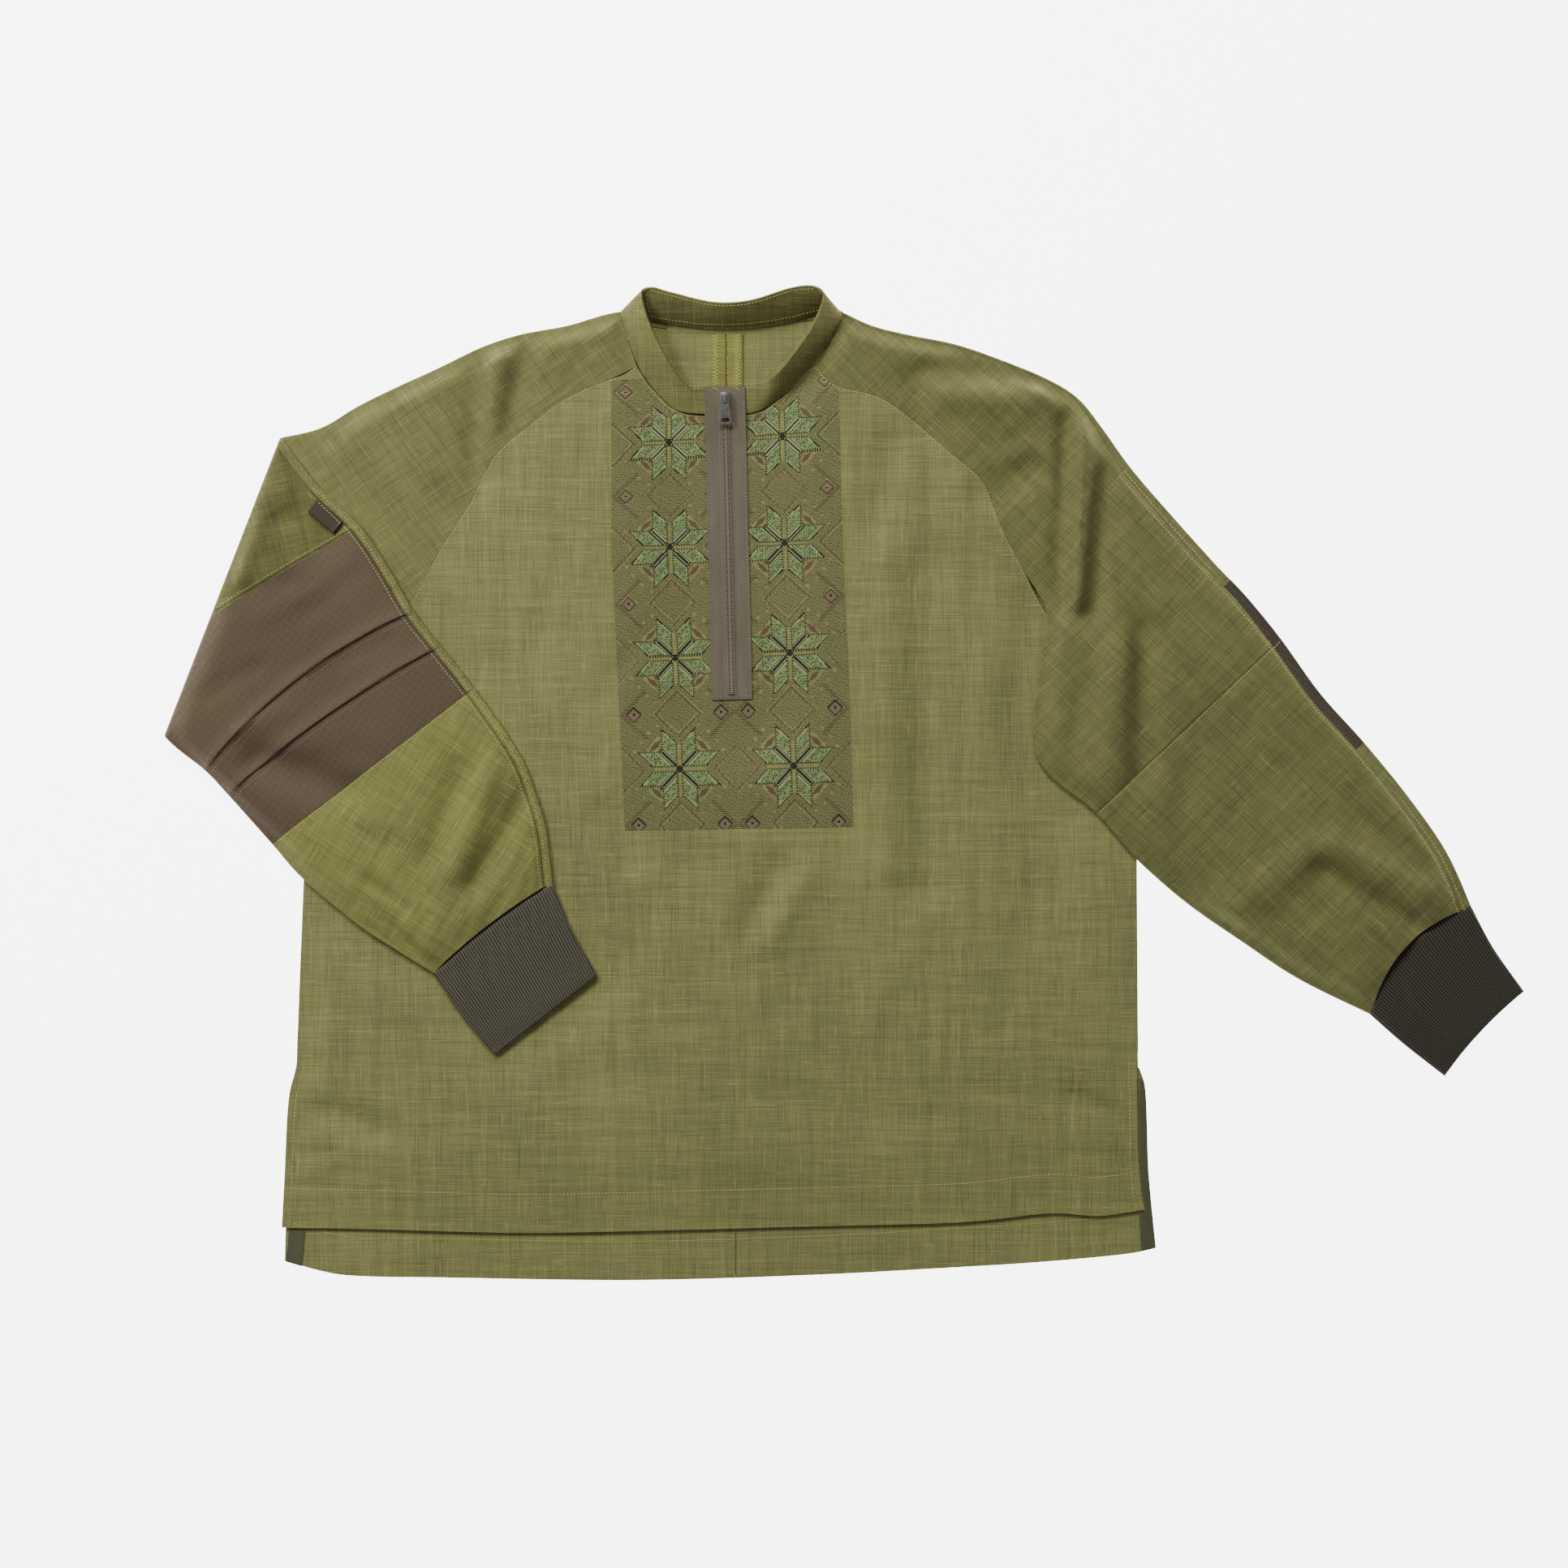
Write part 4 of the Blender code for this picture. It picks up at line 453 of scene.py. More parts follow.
class Relief:
    """Heights of the cloth above its flat level: puff, folds, creases and a fine rumple."""

    @staticmethod
    def folds(x: np.ndarray, y: np.ndarray) -> np.ndarray:
        """Height of all folds and creases at each place."""
        height = np.zeros(np.shape(x))
        for table, gain in ((FOLDS, FOLD_GAIN), (CREASES, CREASE_GAIN)):
            for start_x, start_y, end_x, end_y, width, rise in table:
                away = distance_to(((start_x, start_y), (end_x, end_y)), x, y)
                height = height + bell(away, gain * rise, width)
        return height

    @staticmethod
    def rumple(x: np.ndarray, y: np.ndarray, broad: float, fine: float) -> np.ndarray:
        """Soft waves of two sizes, the same on each run."""
        found = [broad * noise.noise(Vector((a / BROAD_WAVE[0], b / BROAD_WAVE[1], 0.3)))
                 + fine * noise.noise(Vector((a / FINE_WAVE[0], b / FINE_WAVE[1], 7.1)))
                 for a, b in zip(np.ravel(x), np.ravel(y))]
        return np.array(found).reshape(np.shape(x))

    @classmethod
    def front(cls, x: np.ndarray, y: np.ndarray) -> np.ndarray:
        """Height of the shirt's front above its level."""
        edges = (SIDE_LEFT, SIDE_RIGHT, NECK_LEFT, NECK_RIGHT)
        away = np.min([distance_to(edge, x, y) for edge in edges], axis=0)
        seam = np.minimum(distance_to(raglan_left(), x, y), distance_to(raglan_right(), x, y))
        hem = distance_to(HEM_FRONT, x, y)
        free = ease(away, 1.0, PRESSED) * ease(hem, 1.0, 2.5 * PRESSED) * kept_at_seam(seam)
        free = free * clear_of(LEFT_COVER, x, y) * clear_of(RIGHT_COVER, x, y)
        free = free * ease(distance_to((ZIP_FOOT, ZIP_TOP), x, y) - TAPE_HALF, *ZIP_CLEAR)
        height = raised(BODY_PUFF + cls.folds(x, y) + cls.rumple(x, y, *BODY_WAVES)) * free
        return height + turned_hem(hem, *FRONT_HEM)

    @classmethod
    def right_sleeve(cls, x: np.ndarray, y: np.ndarray) -> np.ndarray:
        """Height of the right sleeve's front above its level."""
        outer, inner = points_of(RIGHT_SLEEVE, 1), points_of(RIGHT_SLEEVE, 3)
        turned, elbow = (row_index(RIGHT_SLEEVE, name) for name in ("fold_start", "elbow_seam"))
        away = np.minimum(distance_to(outer, x, y), distance_to(inner[turned:], x, y)) - EDGE_RADIUS
        away = np.minimum(away, distance_to((outer[0], inner[0]), x, y))
        seam = distance_to(inner[:turned + 1], x, y)
        from_turn = np.hypot(x - inner[turned][0], y - inner[turned][1])
        near = SEAM_SHARE * ease(from_turn, COVERED, UNCOVERED)
        free = ease(away, 0.0, SLEEVE_PRESSED) * kept_at_seam(seam, near) * kept_at_cuff(RIGHT_CUFF, x, y)
        groove = cross_seam(distance_to((outer[elbow], inner[elbow]), x, y), RIGHT_SEAM_DEPTH)
        soft = raised(sleeve_puff(seam) + cls.folds(x, y) + cls.rumple(x, y, *RIGHT_WAVES)) * free
        return np.maximum(0, soft + groove * ease(away, 0.0, 4.0))

    @staticmethod
    def right_lift(x: np.ndarray, y: np.ndarray) -> np.ndarray:
        """How far the right sleeve's front is carried up over the body."""
        over = 1 - ease(outside_by(BODY_RIGHT, x, y), *LIFT_AWAY)
        start = ease(-y, *LIFT_FIRST) + ease(-y, *LIFT_SECOND)
        return over * start * PITCH

    @staticmethod
    def tucks(x: np.ndarray, y: np.ndarray) -> np.ndarray:
        """The elbow patch's two tucks: each rises from the shoulder side and drops sharply."""
        height = np.zeros(np.shape(x))
        for line, above in (tuck_line(name, x, y) for name in ("tuck_1", "tuck_2")):
            away = distance_to(line, x, y)
            rise = np.where(above, 1 - ease(away, 0.0, TUCK_DEPTH), 1 - ease(away, 0.0, TUCK_EDGE))
            height = height + TUCK_HEIGHT * rise
        return height

    @classmethod
    def folded(cls, x: np.ndarray, y: np.ndarray) -> np.ndarray:
        """Height of the folded-over left sleeve above its level, seen from above."""
        away = -outside_by(LEFT_COVER, x, y)
        free = ease(away, 0.5, SLEEVE_PRESSED) * kept_at_cuff(LEFT_CUFF, x, y)
        soft = raised(SLEEVE_PUFF + cls.folds(x, y) + cls.rumple(x, y, *LEFT_WAVES)) * free
        seam = distance_to(folded_edge(), x, y)
        band = bell(seam - OUTER_RIDGE[0], *OUTER_RIDGE[1:]) - bell(seam - OUTER_DENT[0], *OUTER_DENT[1:])
        for line in (PATCH_TOP, left_elbow_seam()):
            band = band + cross_seam(distance_to(line, x, y), LEFT_SEAM_DEPTH)
        return np.maximum(0, soft + band * ease(away, 0.0, 3.0)) + cls.tucks(x, y) * ease(away, 0.0, 10.0)

    @classmethod
    def shoulder(cls, x: np.ndarray, y: np.ndarray) -> np.ndarray:
        """Height of the left shoulder above its level."""
        outer = points_of(LEFT_SLEEVE[:row_index(LEFT_SLEEVE, "armpit")], 1)
        raglan = raglan_left()
        seam = distance_to(raglan, x, y)
        away = np.minimum(distance_to(outer, x, y) - EDGE_RADIUS, distance_to((outer[0], raglan[-1]), x, y))
        free = ease(away, 0.0, SLEEVE_PRESSED) * clear_of(LEFT_COVER, x, y) * kept_at_seam(seam)
        return raised(sleeve_puff(seam) + cls.folds(x, y) + cls.rumple(x, y, *LEFT_WAVES)) * free


def raised(height: np.ndarray) -> np.ndarray:
    """The height where it is above 0, flattened softly near it."""
    return 0.5 * (height + np.sqrt(height ** 2 + FLAT_ROUND))


def kept_at_seam(seam: np.ndarray, share: float | np.ndarray = SEAM_SHARE) -> np.ndarray:
    """The part of its height that the cloth keeps near a raglan seam."""
    return share + (1 - share) * ease(seam, 0.0, PRESSED)


def kept_at_cuff(cuff: Sequence, x: np.ndarray, y: np.ndarray) -> np.ndarray:
    """The part of its height that a sleeve keeps near its cuff's seam."""
    away = distance_to((cuff[0][1:3], cuff[0][3:5]), x, y)
    return CUFF_SHARE + (1 - CUFF_SHARE) * ease(away, 0, CUFF_REACH)


def cross_seam(away: np.ndarray, depth: float) -> np.ndarray:
    """A seam across a sleeve: a pressed line with a low ridge beside it."""
    return bell(away - RIDGE_AWAY, SEAM_RIDGE, RIDGE_BREADTH) - bell(away, depth, SEAM_DENT)


def turned_hem(away: np.ndarray, rise: float, groove: float, breadth: float) -> np.ndarray:
    """The doubled cloth of a hem, and the groove of the seam that holds it."""
    step = rise * (1 - ease(away, HEM_DEPTH - HEM_EDGE, HEM_DEPTH + HEM_EDGE))
    return step - bell(away - HEM_DEPTH, groove, breadth)


def sleeve_puff(seam: np.ndarray) -> np.ndarray:
    """A sleeve's puff, as low as the body's at the raglan seam."""
    return BODY_PUFF + (SLEEVE_PUFF - BODY_PUFF) * ease(seam, 0.0, PUFF_REACH)


def tuck_line(name: str, x: np.ndarray, y: np.ndarray) -> tuple[np.ndarray, np.ndarray]:
    """A tuck's line across the patch, and which places lie on its shoulder side."""
    row = LEFT_SLEEVE[row_index(LEFT_SLEEVE, name)]
    outer, inner = np.array(row[1:3], float), np.array(row[4:6], float)
    width = np.linalg.norm(inner - outer)
    across = (inner - outer) / width
    neckwards = np.array((-across[1], across[0]))
    neckwards = neckwards * np.sign(neckwards[1])
    share = np.linspace(0, 1, 16)[:, None]
    line = outer + (inner - outer) * share + neckwards * row[9] * 4 * share * (1 - share)
    reach = ((x - outer[0]) * across[0] + (y - outer[1]) * across[1]) / width
    bend = row[9] * 4 * reach * (1 - reach)
    above = (x - outer[0]) * neckwards[0] + (y - outer[1]) * neckwards[1] > bend
    return line, above


def raglan_left() -> list[Point]:
    """The left raglan seam, from the armpit to the neck."""
    return points_of(LEFT_SLEEVE[:row_index(LEFT_SLEEVE, "armpit") + 1], 4)[::-1]


def raglan_right() -> list[Point]:
    """The right raglan seam, from the armpit to the neck."""
    shown = points_of(RIGHT_SLEEVE[:row_index(RIGHT_SLEEVE, "fold_start") + 1], 3)
    return [*ARMPIT_RIGHT[::-1], *shown[::-1]]


# Finishes


class Value:
    """A number socket whose operators add Math nodes."""

    def __init__(self, tree: NodeBench, socket: bpy.types.NodeSocket) -> None:
        """Wraps a socket of a bench's node tree."""
        self.tree = tree
        self.socket = socket

    def _math(self, operation: str, first: Value | float, second: Value | float = 0.0) -> Value:
        """One Math node with one or two values."""
        made = self.tree.add("ShaderNodeMath", {"operation": operation}, {0: first, 1: second})
        return Value(self.tree, made.outputs[0])

    def __add__(self, other: Value | float) -> Value:
        """Sum."""
        return self._math("ADD", self, other)

    __radd__ = __add__

    def __mul__(self, other: Value | float) -> Value:
        """Product."""
        return self._math("MULTIPLY", self, other)

    __rmul__ = __mul__

    def __sub__(self, other: Value | float) -> Value:
        """Difference."""
        return self._math("SUBTRACT", self, other)

    def __rsub__(self, other: Value | float) -> Value:
        """Difference the other way round."""
        return self._math("SUBTRACT", other, self)

    def __truediv__(self, other: Value | float) -> Value:
        """Quotient."""
        return self._math("DIVIDE", self, other)

    def __abs__(self) -> Value:
        """Size without its sign."""
        return self._math("ABSOLUTE", self)

    def fraction(self) -> Value:
        """The part after the point."""
        return self._math("FRACT", self)

    def over(self, limit: Value | float) -> Value:
        """1 where the value is above a limit, else 0."""
        return self._math("GREATER_THAN", self, limit)

    def most(self, other: Value | float) -> Value:
        """The larger of two values."""
        return self._math("MAXIMUM", self, other)

    def between(self, low: float, high: float) -> Value:
        """0 below low, 1 above high, smooth between."""
        made = self.tree.add("ShaderNodeMapRange", {"interpolation_type": "SMOOTHSTEP"},
                             {"Value": self, "From Min": low, "From Max": high})
        return Value(self.tree, made.outputs["Result"])


class NodeBench:
    """Builds one material's node tree."""

    def __init__(self, name: str) -> None:
        """Starts a material with a Principled shader."""
        self.material = bpy.data.materials.new(name)
        self.material.use_nodes = True
        self.nodes = self.material.node_tree.nodes
        self.links = self.material.node_tree.links
        self.shader = self.nodes["Principled BSDF"]

    def add(self, kind: str, settings: dict | None = None, inputs: dict | None = None) -> bpy.types.Node:
        """Adds a node.

        Args:
            kind: The node's type.
            settings: Attributes, set first.
            inputs: Values or links for its sockets, by name or number.

        Returns:
            The node.
        """
        node = self.nodes.new(kind)
        for key, value in (settings or {}).items():
            setattr(node, key, value)
        for key, value in (inputs or {}).items():
            self.feed(node.inputs[key], value)
        return node

    def feed(self, socket: bpy.types.NodeSocket, value: object) -> None:
        """Links a socket, or sets its value."""
        if isinstance(value, Value):
            self.links.new(value.socket, socket)
        elif isinstance(value, bpy.types.NodeSocket):
            self.links.new(value, socket)
        else:
            socket.default_value = value

    def cloth_axes(self) -> tuple[Value, Value, bpy.types.NodeSocket]:
        """The piece's own U and V in metres, and both as a vector."""
        uv = self.add("ShaderNodeUVMap", {"uv_map": "cut"})
        split = self.add("ShaderNodeSeparateXYZ", None, {0: uv.outputs[0]})
        return Value(self, split.outputs[0]), Value(self, split.outputs[1]), uv.outputs[0]

    def noise_at(self, vector: bpy.types.NodeSocket, stretch: Pair, detail: float = 2.0) -> Value:
        """Noise over a vector stretched in its two directions, in waves a metre."""
        mapping = self.add("ShaderNodeMapping", None, {"Vector": vector, "Scale": (*stretch, 1.0)})
        made = self.add("ShaderNodeTexNoise", None,
                        {"Vector": mapping.outputs[0], "Scale": 1.0, "Detail": detail})
        return Value(self, made.outputs["Fac"])

    def blend(self, share: Value | float, first: object, second: object,
              how: str = "MIX") -> bpy.types.NodeSocket:
        """Mixes two colours."""
        made = self.add("ShaderNodeMix", {"data_type": "RGBA", "blend_type": how},
                        {0: share, 6: first, 7: second})
        return made.outputs[2]

    def bump(self, height: Value, distance: float, strength: float) -> None:
        """Feeds the shader's normal from a height."""
        made = self.add("ShaderNodeBump", None,
                        {"Height": height, "Distance": distance, "Strength": strength})
        self.links.new(made.outputs[0], self.shader.inputs["Normal"])

    def finish(self, colour: object, roughness: float, sheen: float = 0.0, metallic: float = 0.0) -> None:
        """Sets the shader's colour, roughness, sheen and metal."""
        self.feed(self.shader.inputs["Base Color"], colour)
        self.feed(self.shader.inputs["Roughness"], roughness)
        self.shader.inputs["Sheen Weight"].default_value = sheen
        self.shader.inputs["Metallic"].default_value = metallic
        self.shader.inputs["Specular IOR Level"].default_value = 0.3 if metallic == 0 else 0.5


def tone(colour: Triple, share: float = 1.0) -> tuple[float, float, float, float]:
    """A photo colour, 0 to 255, as a linear colour, made lighter or darker by a share."""
    linear = [((c / 255 + 0.055) / 1.055) ** 2.4 if c > 10 else c / 255 / 12.92 for c in colour]
    return (*(min(1.0, value * share) for value in linear), 1.0)


class Finish:
    """How a surface looks."""

    def build(self, name: str) -> bpy.types.Material:
        """Makes the material under a name."""
        bench = NodeBench(name)
        self.dress(bench)
        return bench.material

    def dress(self, bench: NodeBench) -> None:
        """Adds the finish's nodes to a bench."""
        raise NotImplementedError


@dataclass(frozen=True)
class Linen(Finish):
    """Plain-woven olive linen with uneven threads and pale slubs."""

    colour: Triple = (129, 127, 82)
    thread: float = 1500.0

    def dress(self, bench: NodeBench) -> None:
        """Adds its nodes."""
        u, v, uv = bench.cloth_axes()
        # Each thread's shades slide along it by their own length, so that no grid shows
        slid_v = v + bench.noise_at(uv, (900.0, 0.0), 0.0) * 0.3
        slid_u = u + bench.noise_at(uv, (0.0, 900.0), 0.0) * 0.3
        along_warp = bench.add("ShaderNodeCombineXYZ", None, {0: u, 1: slid_v}).outputs[0]
        along_weft = bench.add("ShaderNodeCombineXYZ", None, {0: slid_u, 1: v}).outputs[0]
        warp = bench.noise_at(along_warp, (self.thread, 32.0), 2.0)
        weft = bench.noise_at(along_weft, (28.0, self.thread), 2.0)
        streak_warp = bench.noise_at(along_warp, (620.0, 14.0), 2.0)
        streak_weft = bench.noise_at(along_weft, (12.0, 620.0), 2.0)
        slub_warp = bench.noise_at(uv, (1000.0, 60.0), 0.0).between(0.70, 0.80)
        slub_weft = bench.noise_at(uv, (52.0, 1000.0), 0.0).between(0.69, 0.79)
        bands = bench.noise_at(uv, (5.0, 160.0), 1.0) + bench.noise_at(uv, (120.0, 6.0), 1.0)
        cloud = bench.noise_at(uv, (7.0, 7.0), 3.0)
        threads = (warp + weft) * 0.5
        streaks = (streak_warp + streak_weft - 1.0) * 0.25
        share = (threads - 0.5) * 2.8 + streaks + (bands - 1.0) * 0.3 + (cloud - 0.5) * 0.4 + 0.5
        red, green, blue = self.colour
        dark, light = tone((red - 3, green - 4, blue), 0.64), tone((red + 2, green + 5, blue - 4), 1.36)
        body = bench.blend(share.between(0.0, 1.0), dark, light)
        body = bench.blend(slub_warp.most(slub_weft) * 0.5, body, tone((red + 40, green + 38, blue + 20)))
        bench.finish(body, 0.95, sheen=0.02)
        bench.bump(warp.most(weft), 0.0005, 0.55)


@dataclass(frozen=True)
class Ripstop(Finish):
    """Close brown cloth with a grid of thicker threads."""

    colour: Triple = (90, 76, 58)
    pitch: float = 0.0052

    def dress(self, bench: NodeBench) -> None:
        """Adds its nodes."""
        u, v, uv = bench.cloth_axes()
        line_u = abs((u / self.pitch).fraction() - 0.5).between(0.40, 0.48)
        line_v = abs((v / self.pitch).fraction() - 0.5).between(0.40, 0.48)
        grid = line_u.most(line_v)
        grain = bench.noise_at(uv, (1500.0, 500.0), 1.0)
        cloud = bench.noise_at(uv, (14.0, 14.0), 2.0)
        share = ((grain - 0.5) * 1.2 + (cloud - 0.5) * 0.6 + 0.5).between(0.0, 1.0)
        body = bench.blend(share, tone(self.colour, 0.8), tone(self.colour, 1.2))
        body = bench.blend(grid * 0.4, body, tone(self.colour, 1.5))
        bench.finish(body, 0.8, sheen=0.05)
        bench.bump(grid + grain * 0.3, 0.0003, 0.5)


@dataclass(frozen=True)
class RibKnit(Finish):
    """Dark knit whose ribs run along the piece."""

    colour: Triple

    def dress(self, bench: NodeBench) -> None:
        """Adds its nodes."""
        _, _, uv = bench.cloth_axes()
        rib = Value(bench, bench.add("ShaderNodeAttribute", {"attribute_name": "rib"}).outputs["Fac"])
        grain = bench.noise_at(uv, (900.0, 900.0), 2.0)
        # The rib heights are painted: tops lighter and hollows darker, as painted light and shade; the grain
        # is the knit's own uneven tone.
        share = ((rib - 0.62) * 1.5 + (grain - 0.5) * 0.9 + 0.5).between(0.0, 1.0)
        body = bench.blend(share, tone(self.colour, 0.3), tone(self.colour, 1.6))
        bench.finish(body, 0.95, sheen=0.05)
        bench.bump(grain, 0.0003, 0.5)


@dataclass(frozen=True)
class WovenTape(Finish):
    """Narrow woven tape: fine cross ribs, or a herringbone where the wave is stated. Also the dark strip of
    painted shade between the zip's loops.
    """

    colour: Triple
    pitch: float = 0.0011
    wave: float = 0.0

    def dress(self, bench: NodeBench) -> None:
        """Adds its nodes."""
        u, v, uv = bench.cloth_axes()
        zigzag = abs((u / self.wave).fraction() - 0.5) * self.wave * 2 if self.wave else u * 0.25
        ribs = abs(((v + zigzag) / self.pitch).fraction() - 0.5) * 2
        grain = bench.noise_at(uv, (1200.0, 1200.0), 1.0)
        cloud = bench.noise_at(uv, (60.0, 20.0), 2.0)
        share = ((ribs - 0.5) * 0.7 + (grain - 0.5) * 0.7 + (cloud - 0.5) * 0.9 + 0.5).between(0.0, 1.0)
        body = bench.blend(share, tone(self.colour, 0.72), tone(self.colour, 1.28))
        bench.finish(body, 0.75, sheen=0.08)
        bench.bump(ribs, 0.0003, 0.6)


@dataclass(frozen=True)
class Thread(Finish):
    """Sewing thread, also used for the dark rows of painted seam shade."""

    colour: Triple

    def dress(self, bench: NodeBench) -> None:
        """Adds its nodes."""
        place = bench.add("ShaderNodeTexCoord").outputs["Object"]
        grain = bench.noise_at(place, (1800.0, 1800.0), 1.0)
        bench.finish(bench.blend(grain, tone(self.colour, 0.75), tone(self.colour, 1.25)), 0.7, sheen=0.1)


@dataclass(frozen=True)
class StitchGround(Finish):
    """Counted embroidery: solid stitches, or dotted ones with a needle hole, painted dark as its shade, and a
    fleck of thread.
    """

    # Colour of the needle holes: painted shade.
    hole: Triple = (38, 36, 20)
    linen: Triple = (130, 127, 79)

    def dress(self, bench: NodeBench) -> None:
        """Adds its nodes."""
        u, v, uv = bench.cloth_axes()
        chart = bench.add("ShaderNodeAttribute", {"attribute_name": "thread"})
        dotted = Value(bench, chart.outputs["Alpha"]).over(0.5)
        offset = (v * 0.5).fraction().over(0.5) * 0.5
        along, up = (u + offset).fraction(), v.fraction()
        hole = self.spot(along, up, 0.28, (0.24, 0.36))
        fleck = self.spot(along, up, 0.74, (0.28, 0.40))
        grain = bench.noise_at(uv, (2.9, 2.9), 1.0)
        shade = bench.blend(grain.between(0.3, 0.7), (0.6, 0.6, 0.6, 1.0), (1.36, 1.36, 1.36, 1.0))
        thread = bench.blend(1.0, chart.outputs["Color"], shade, "MULTIPLY")
        spotted = bench.blend(fleck, tone(self.linen), thread)
        # Darkens each needle hole with painted shade.
        spotted = bench.blend(hole, spotted, tone(self.hole))
        bench.finish(bench.blend(dotted, thread, spotted), 0.75, sheen=0.05)
        bench.bump(fleck - hole, 0.0004, 0.6)

    @staticmethod
    def spot(along: Value, up: Value, middle: float, rim: Pair) -> Value:
        """1 within a soft upright spot of each cell, else 0."""
        return (1 - abs(along - middle).between(0.17, 0.27)) * (1 - abs(up - 0.5).between(*rim))


@dataclass(frozen=True)
class PlatedMetal(Finish):
    """Dark plated metal with rubbed edges."""

    colour: Triple = (168, 165, 158)

    def dress(self, bench: NodeBench) -> None:
        """Adds its nodes."""
        place = bench.add("ShaderNodeTexCoord").outputs["Object"]
        smear = bench.noise_at(place, (420.0, 420.0), 3.0)
        bench.finish(bench.blend(smear, tone(self.colour, 0.6), tone(self.colour, 1.4)), 0.34, metallic=1.0)
        bench.bump(smear, 0.0002, 0.25)


@dataclass(frozen=True)
class PaleFloor(Finish):
    """Even white lit floor."""

    level: float = 0.9
    glow: float = 6.0

    def dress(self, bench: NodeBench) -> None:
        """Adds its nodes."""
        bench.finish((self.level, self.level, self.level, 1.0), 1.0)
        bench.shader.inputs["Specular IOR Level"].default_value = 0.0
        bench.shader.inputs["Emission Color"].default_value = (1.0, 1.0, 1.0, 1.0)
        bench.shader.inputs["Emission Strength"].default_value = self.glow


# Cloth shells


def mesh_from(name: str, bm: bmesh.types.BMesh) -> bpy.types.Mesh:
    """A new mesh of what is in bm, which is freed."""
    mesh = bpy.data.meshes.new(name)
    bm.to_mesh(mesh)
    bm.free()
    return mesh


@dataclass
class ClothMaker:
    """Turns grids of points into thin shells of cloth that stand for the frame's nodes."""

    nodes: Sequence[str]
    body: str = "shirt"
    made: dict[str, bpy.types.Object] = field(default_factory=dict)

    @staticmethod
    def sheet_mesh(name: str, points: np.ndarray, slit: tuple[int, int] | None = None) -> bpy.types.Mesh:
        """A sheet through rows and columns of points.

        Args:
            name: The mesh's name.
            points: Points as (rows, columns, 3), in millimetres.
            slit: The column that is slit, and the row that the slit starts at.

        Returns:
            The mesh, in metres.
        """
        rows, columns = points.shape[:2]
        bm = bmesh.new()
        bmesh.ops.create_grid(bm, x_segments=columns - 1, y_segments=rows - 1, size=1.0)
        row = bm.verts.layers.int.new("row")
        column = bm.verts.layers.int.new("column")
        for vertex in bm.verts:
            vertex[column] = round((vertex.co.x + 1) / 2 * (columns - 1))
            vertex[row] = round((vertex.co.y + 1) / 2 * (rows - 1))
        parted = {}
        if slit:
            middle, foot = slit
            edges = [e for e in bm.edges if all(v[column] == middle and v[row] >= foot for v in e.verts)]
            bmesh.ops.split_edges(bm, edges=edges)
            parted = {v: np.mean([f.calc_center_median().x for f in v.link_faces]) > v.co.x
                      for v in bm.verts if v[column] == middle and v[row] > foot}
        for vertex in bm.verts:
            vertex.co = Vector(points[vertex[row], vertex[column]]) * MM
        for vertex, to_right in parted.items():
            vertex.co.x += (HALF_SLIT if to_right else -HALF_SLIT) * MM
        bmesh.ops.recalc_face_normals(bm, faces=bm.faces)
        return mesh_from(name, bm)

    @staticmethod
    def walled(mesh: bpy.types.Mesh, wall: float) -> bpy.types.Mesh:
        """The sheet with a wall's thickness, half to each side."""
        carrier = bpy.data.objects.new("carrier", mesh)
        bpy.context.scene.collection.objects.link(carrier)
        thicken = carrier.modifiers.new("wall", "SOLIDIFY")
        thicken.thickness = wall * MM
        thicken.offset = 0.0
        thicken.use_even_offset = True
        graph = bpy.context.evaluated_depsgraph_get()
        solid = bpy.data.meshes.new_from_object(carrier.evaluated_get(graph))
        bpy.data.objects.remove(carrier, do_unlink=True)
        return solid

    def make(self, name: str, points: np.ndarray, material: bpy.types.Material, slot: str,
             shape: Shape | None = None, wall: float = CLOTH, cuts: Sequence = (),
             slit: tuple[int, int] | None = None, grain: float = 0.0, hold: Hold = Hold.LAID,
             rests: Sequence[str] = (), declare: bool = True) -> bpy.types.Object:
        """Makes one shell, in place of the solid of the same name.

        Args:
            name: The solid's name.
            points: Grid of points of its middle, in millimetres.
            material: Its finish.
            slot: The record's slot; not used.
            shape: Moves points to where they lie.
            wall: Thickness.
            cuts: Planes where it bends, each a point and a normal in plan.
            slit: See sheet_mesh.
            grain: Turn of its weave, in degrees.
            hold: How it is held; not used.
            rests: What it rests on; not used.
            declare: Whether its size as a sheet is worked out.

        Returns:
            The piece.
        """
        mesh = self.walled(self.sheet_mesh(name, points, slit), wall)
        bm = bmesh.new()
        bm.from_mesh(mesh)
        for place, normal in cuts:
            everything = bm.verts[:] + bm.edges[:] + bm.faces[:]
            bmesh.ops.bisect_plane(bm, geom=everything, dist=1e-7, plane_co=Vector((*place, 0)) * MM,
                                   plane_no=Vector((*normal, 0)))
        layer = bm.loops.layers.uv.new("cut")
        turn, lean = math.cos(math.radians(grain)), math.sin(math.radians(grain))
        for face in bm.faces:
            for loop in face.loops:
                x, y, _ = loop.vert.co
                loop[layer].uv = (x * turn + y * lean, y * turn - x * lean)
        if shape:
            found = np.array([v.co for v in bm.verts]) / MM
            for vertex, place in zip(bm.verts, np.stack(shape(*found.T), axis=1)):
                vertex.co = Vector(place) * MM
        bmesh.ops.recalc_face_normals(bm, faces=bm.faces)
        if bm.calc_volume(signed=True) < 0:
            bmesh.ops.reverse_faces(bm, faces=bm.faces)
        area = sum(f.calc_area() for f in bm.faces) / 2
        bm.to_mesh(mesh)
        bm.free()
        piece = self.place(name, mesh, material, slot)
        if name in self.nodes:
            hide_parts(name)
        if declare:
            self.declare(piece, points, area, hold, rests)
        return piece

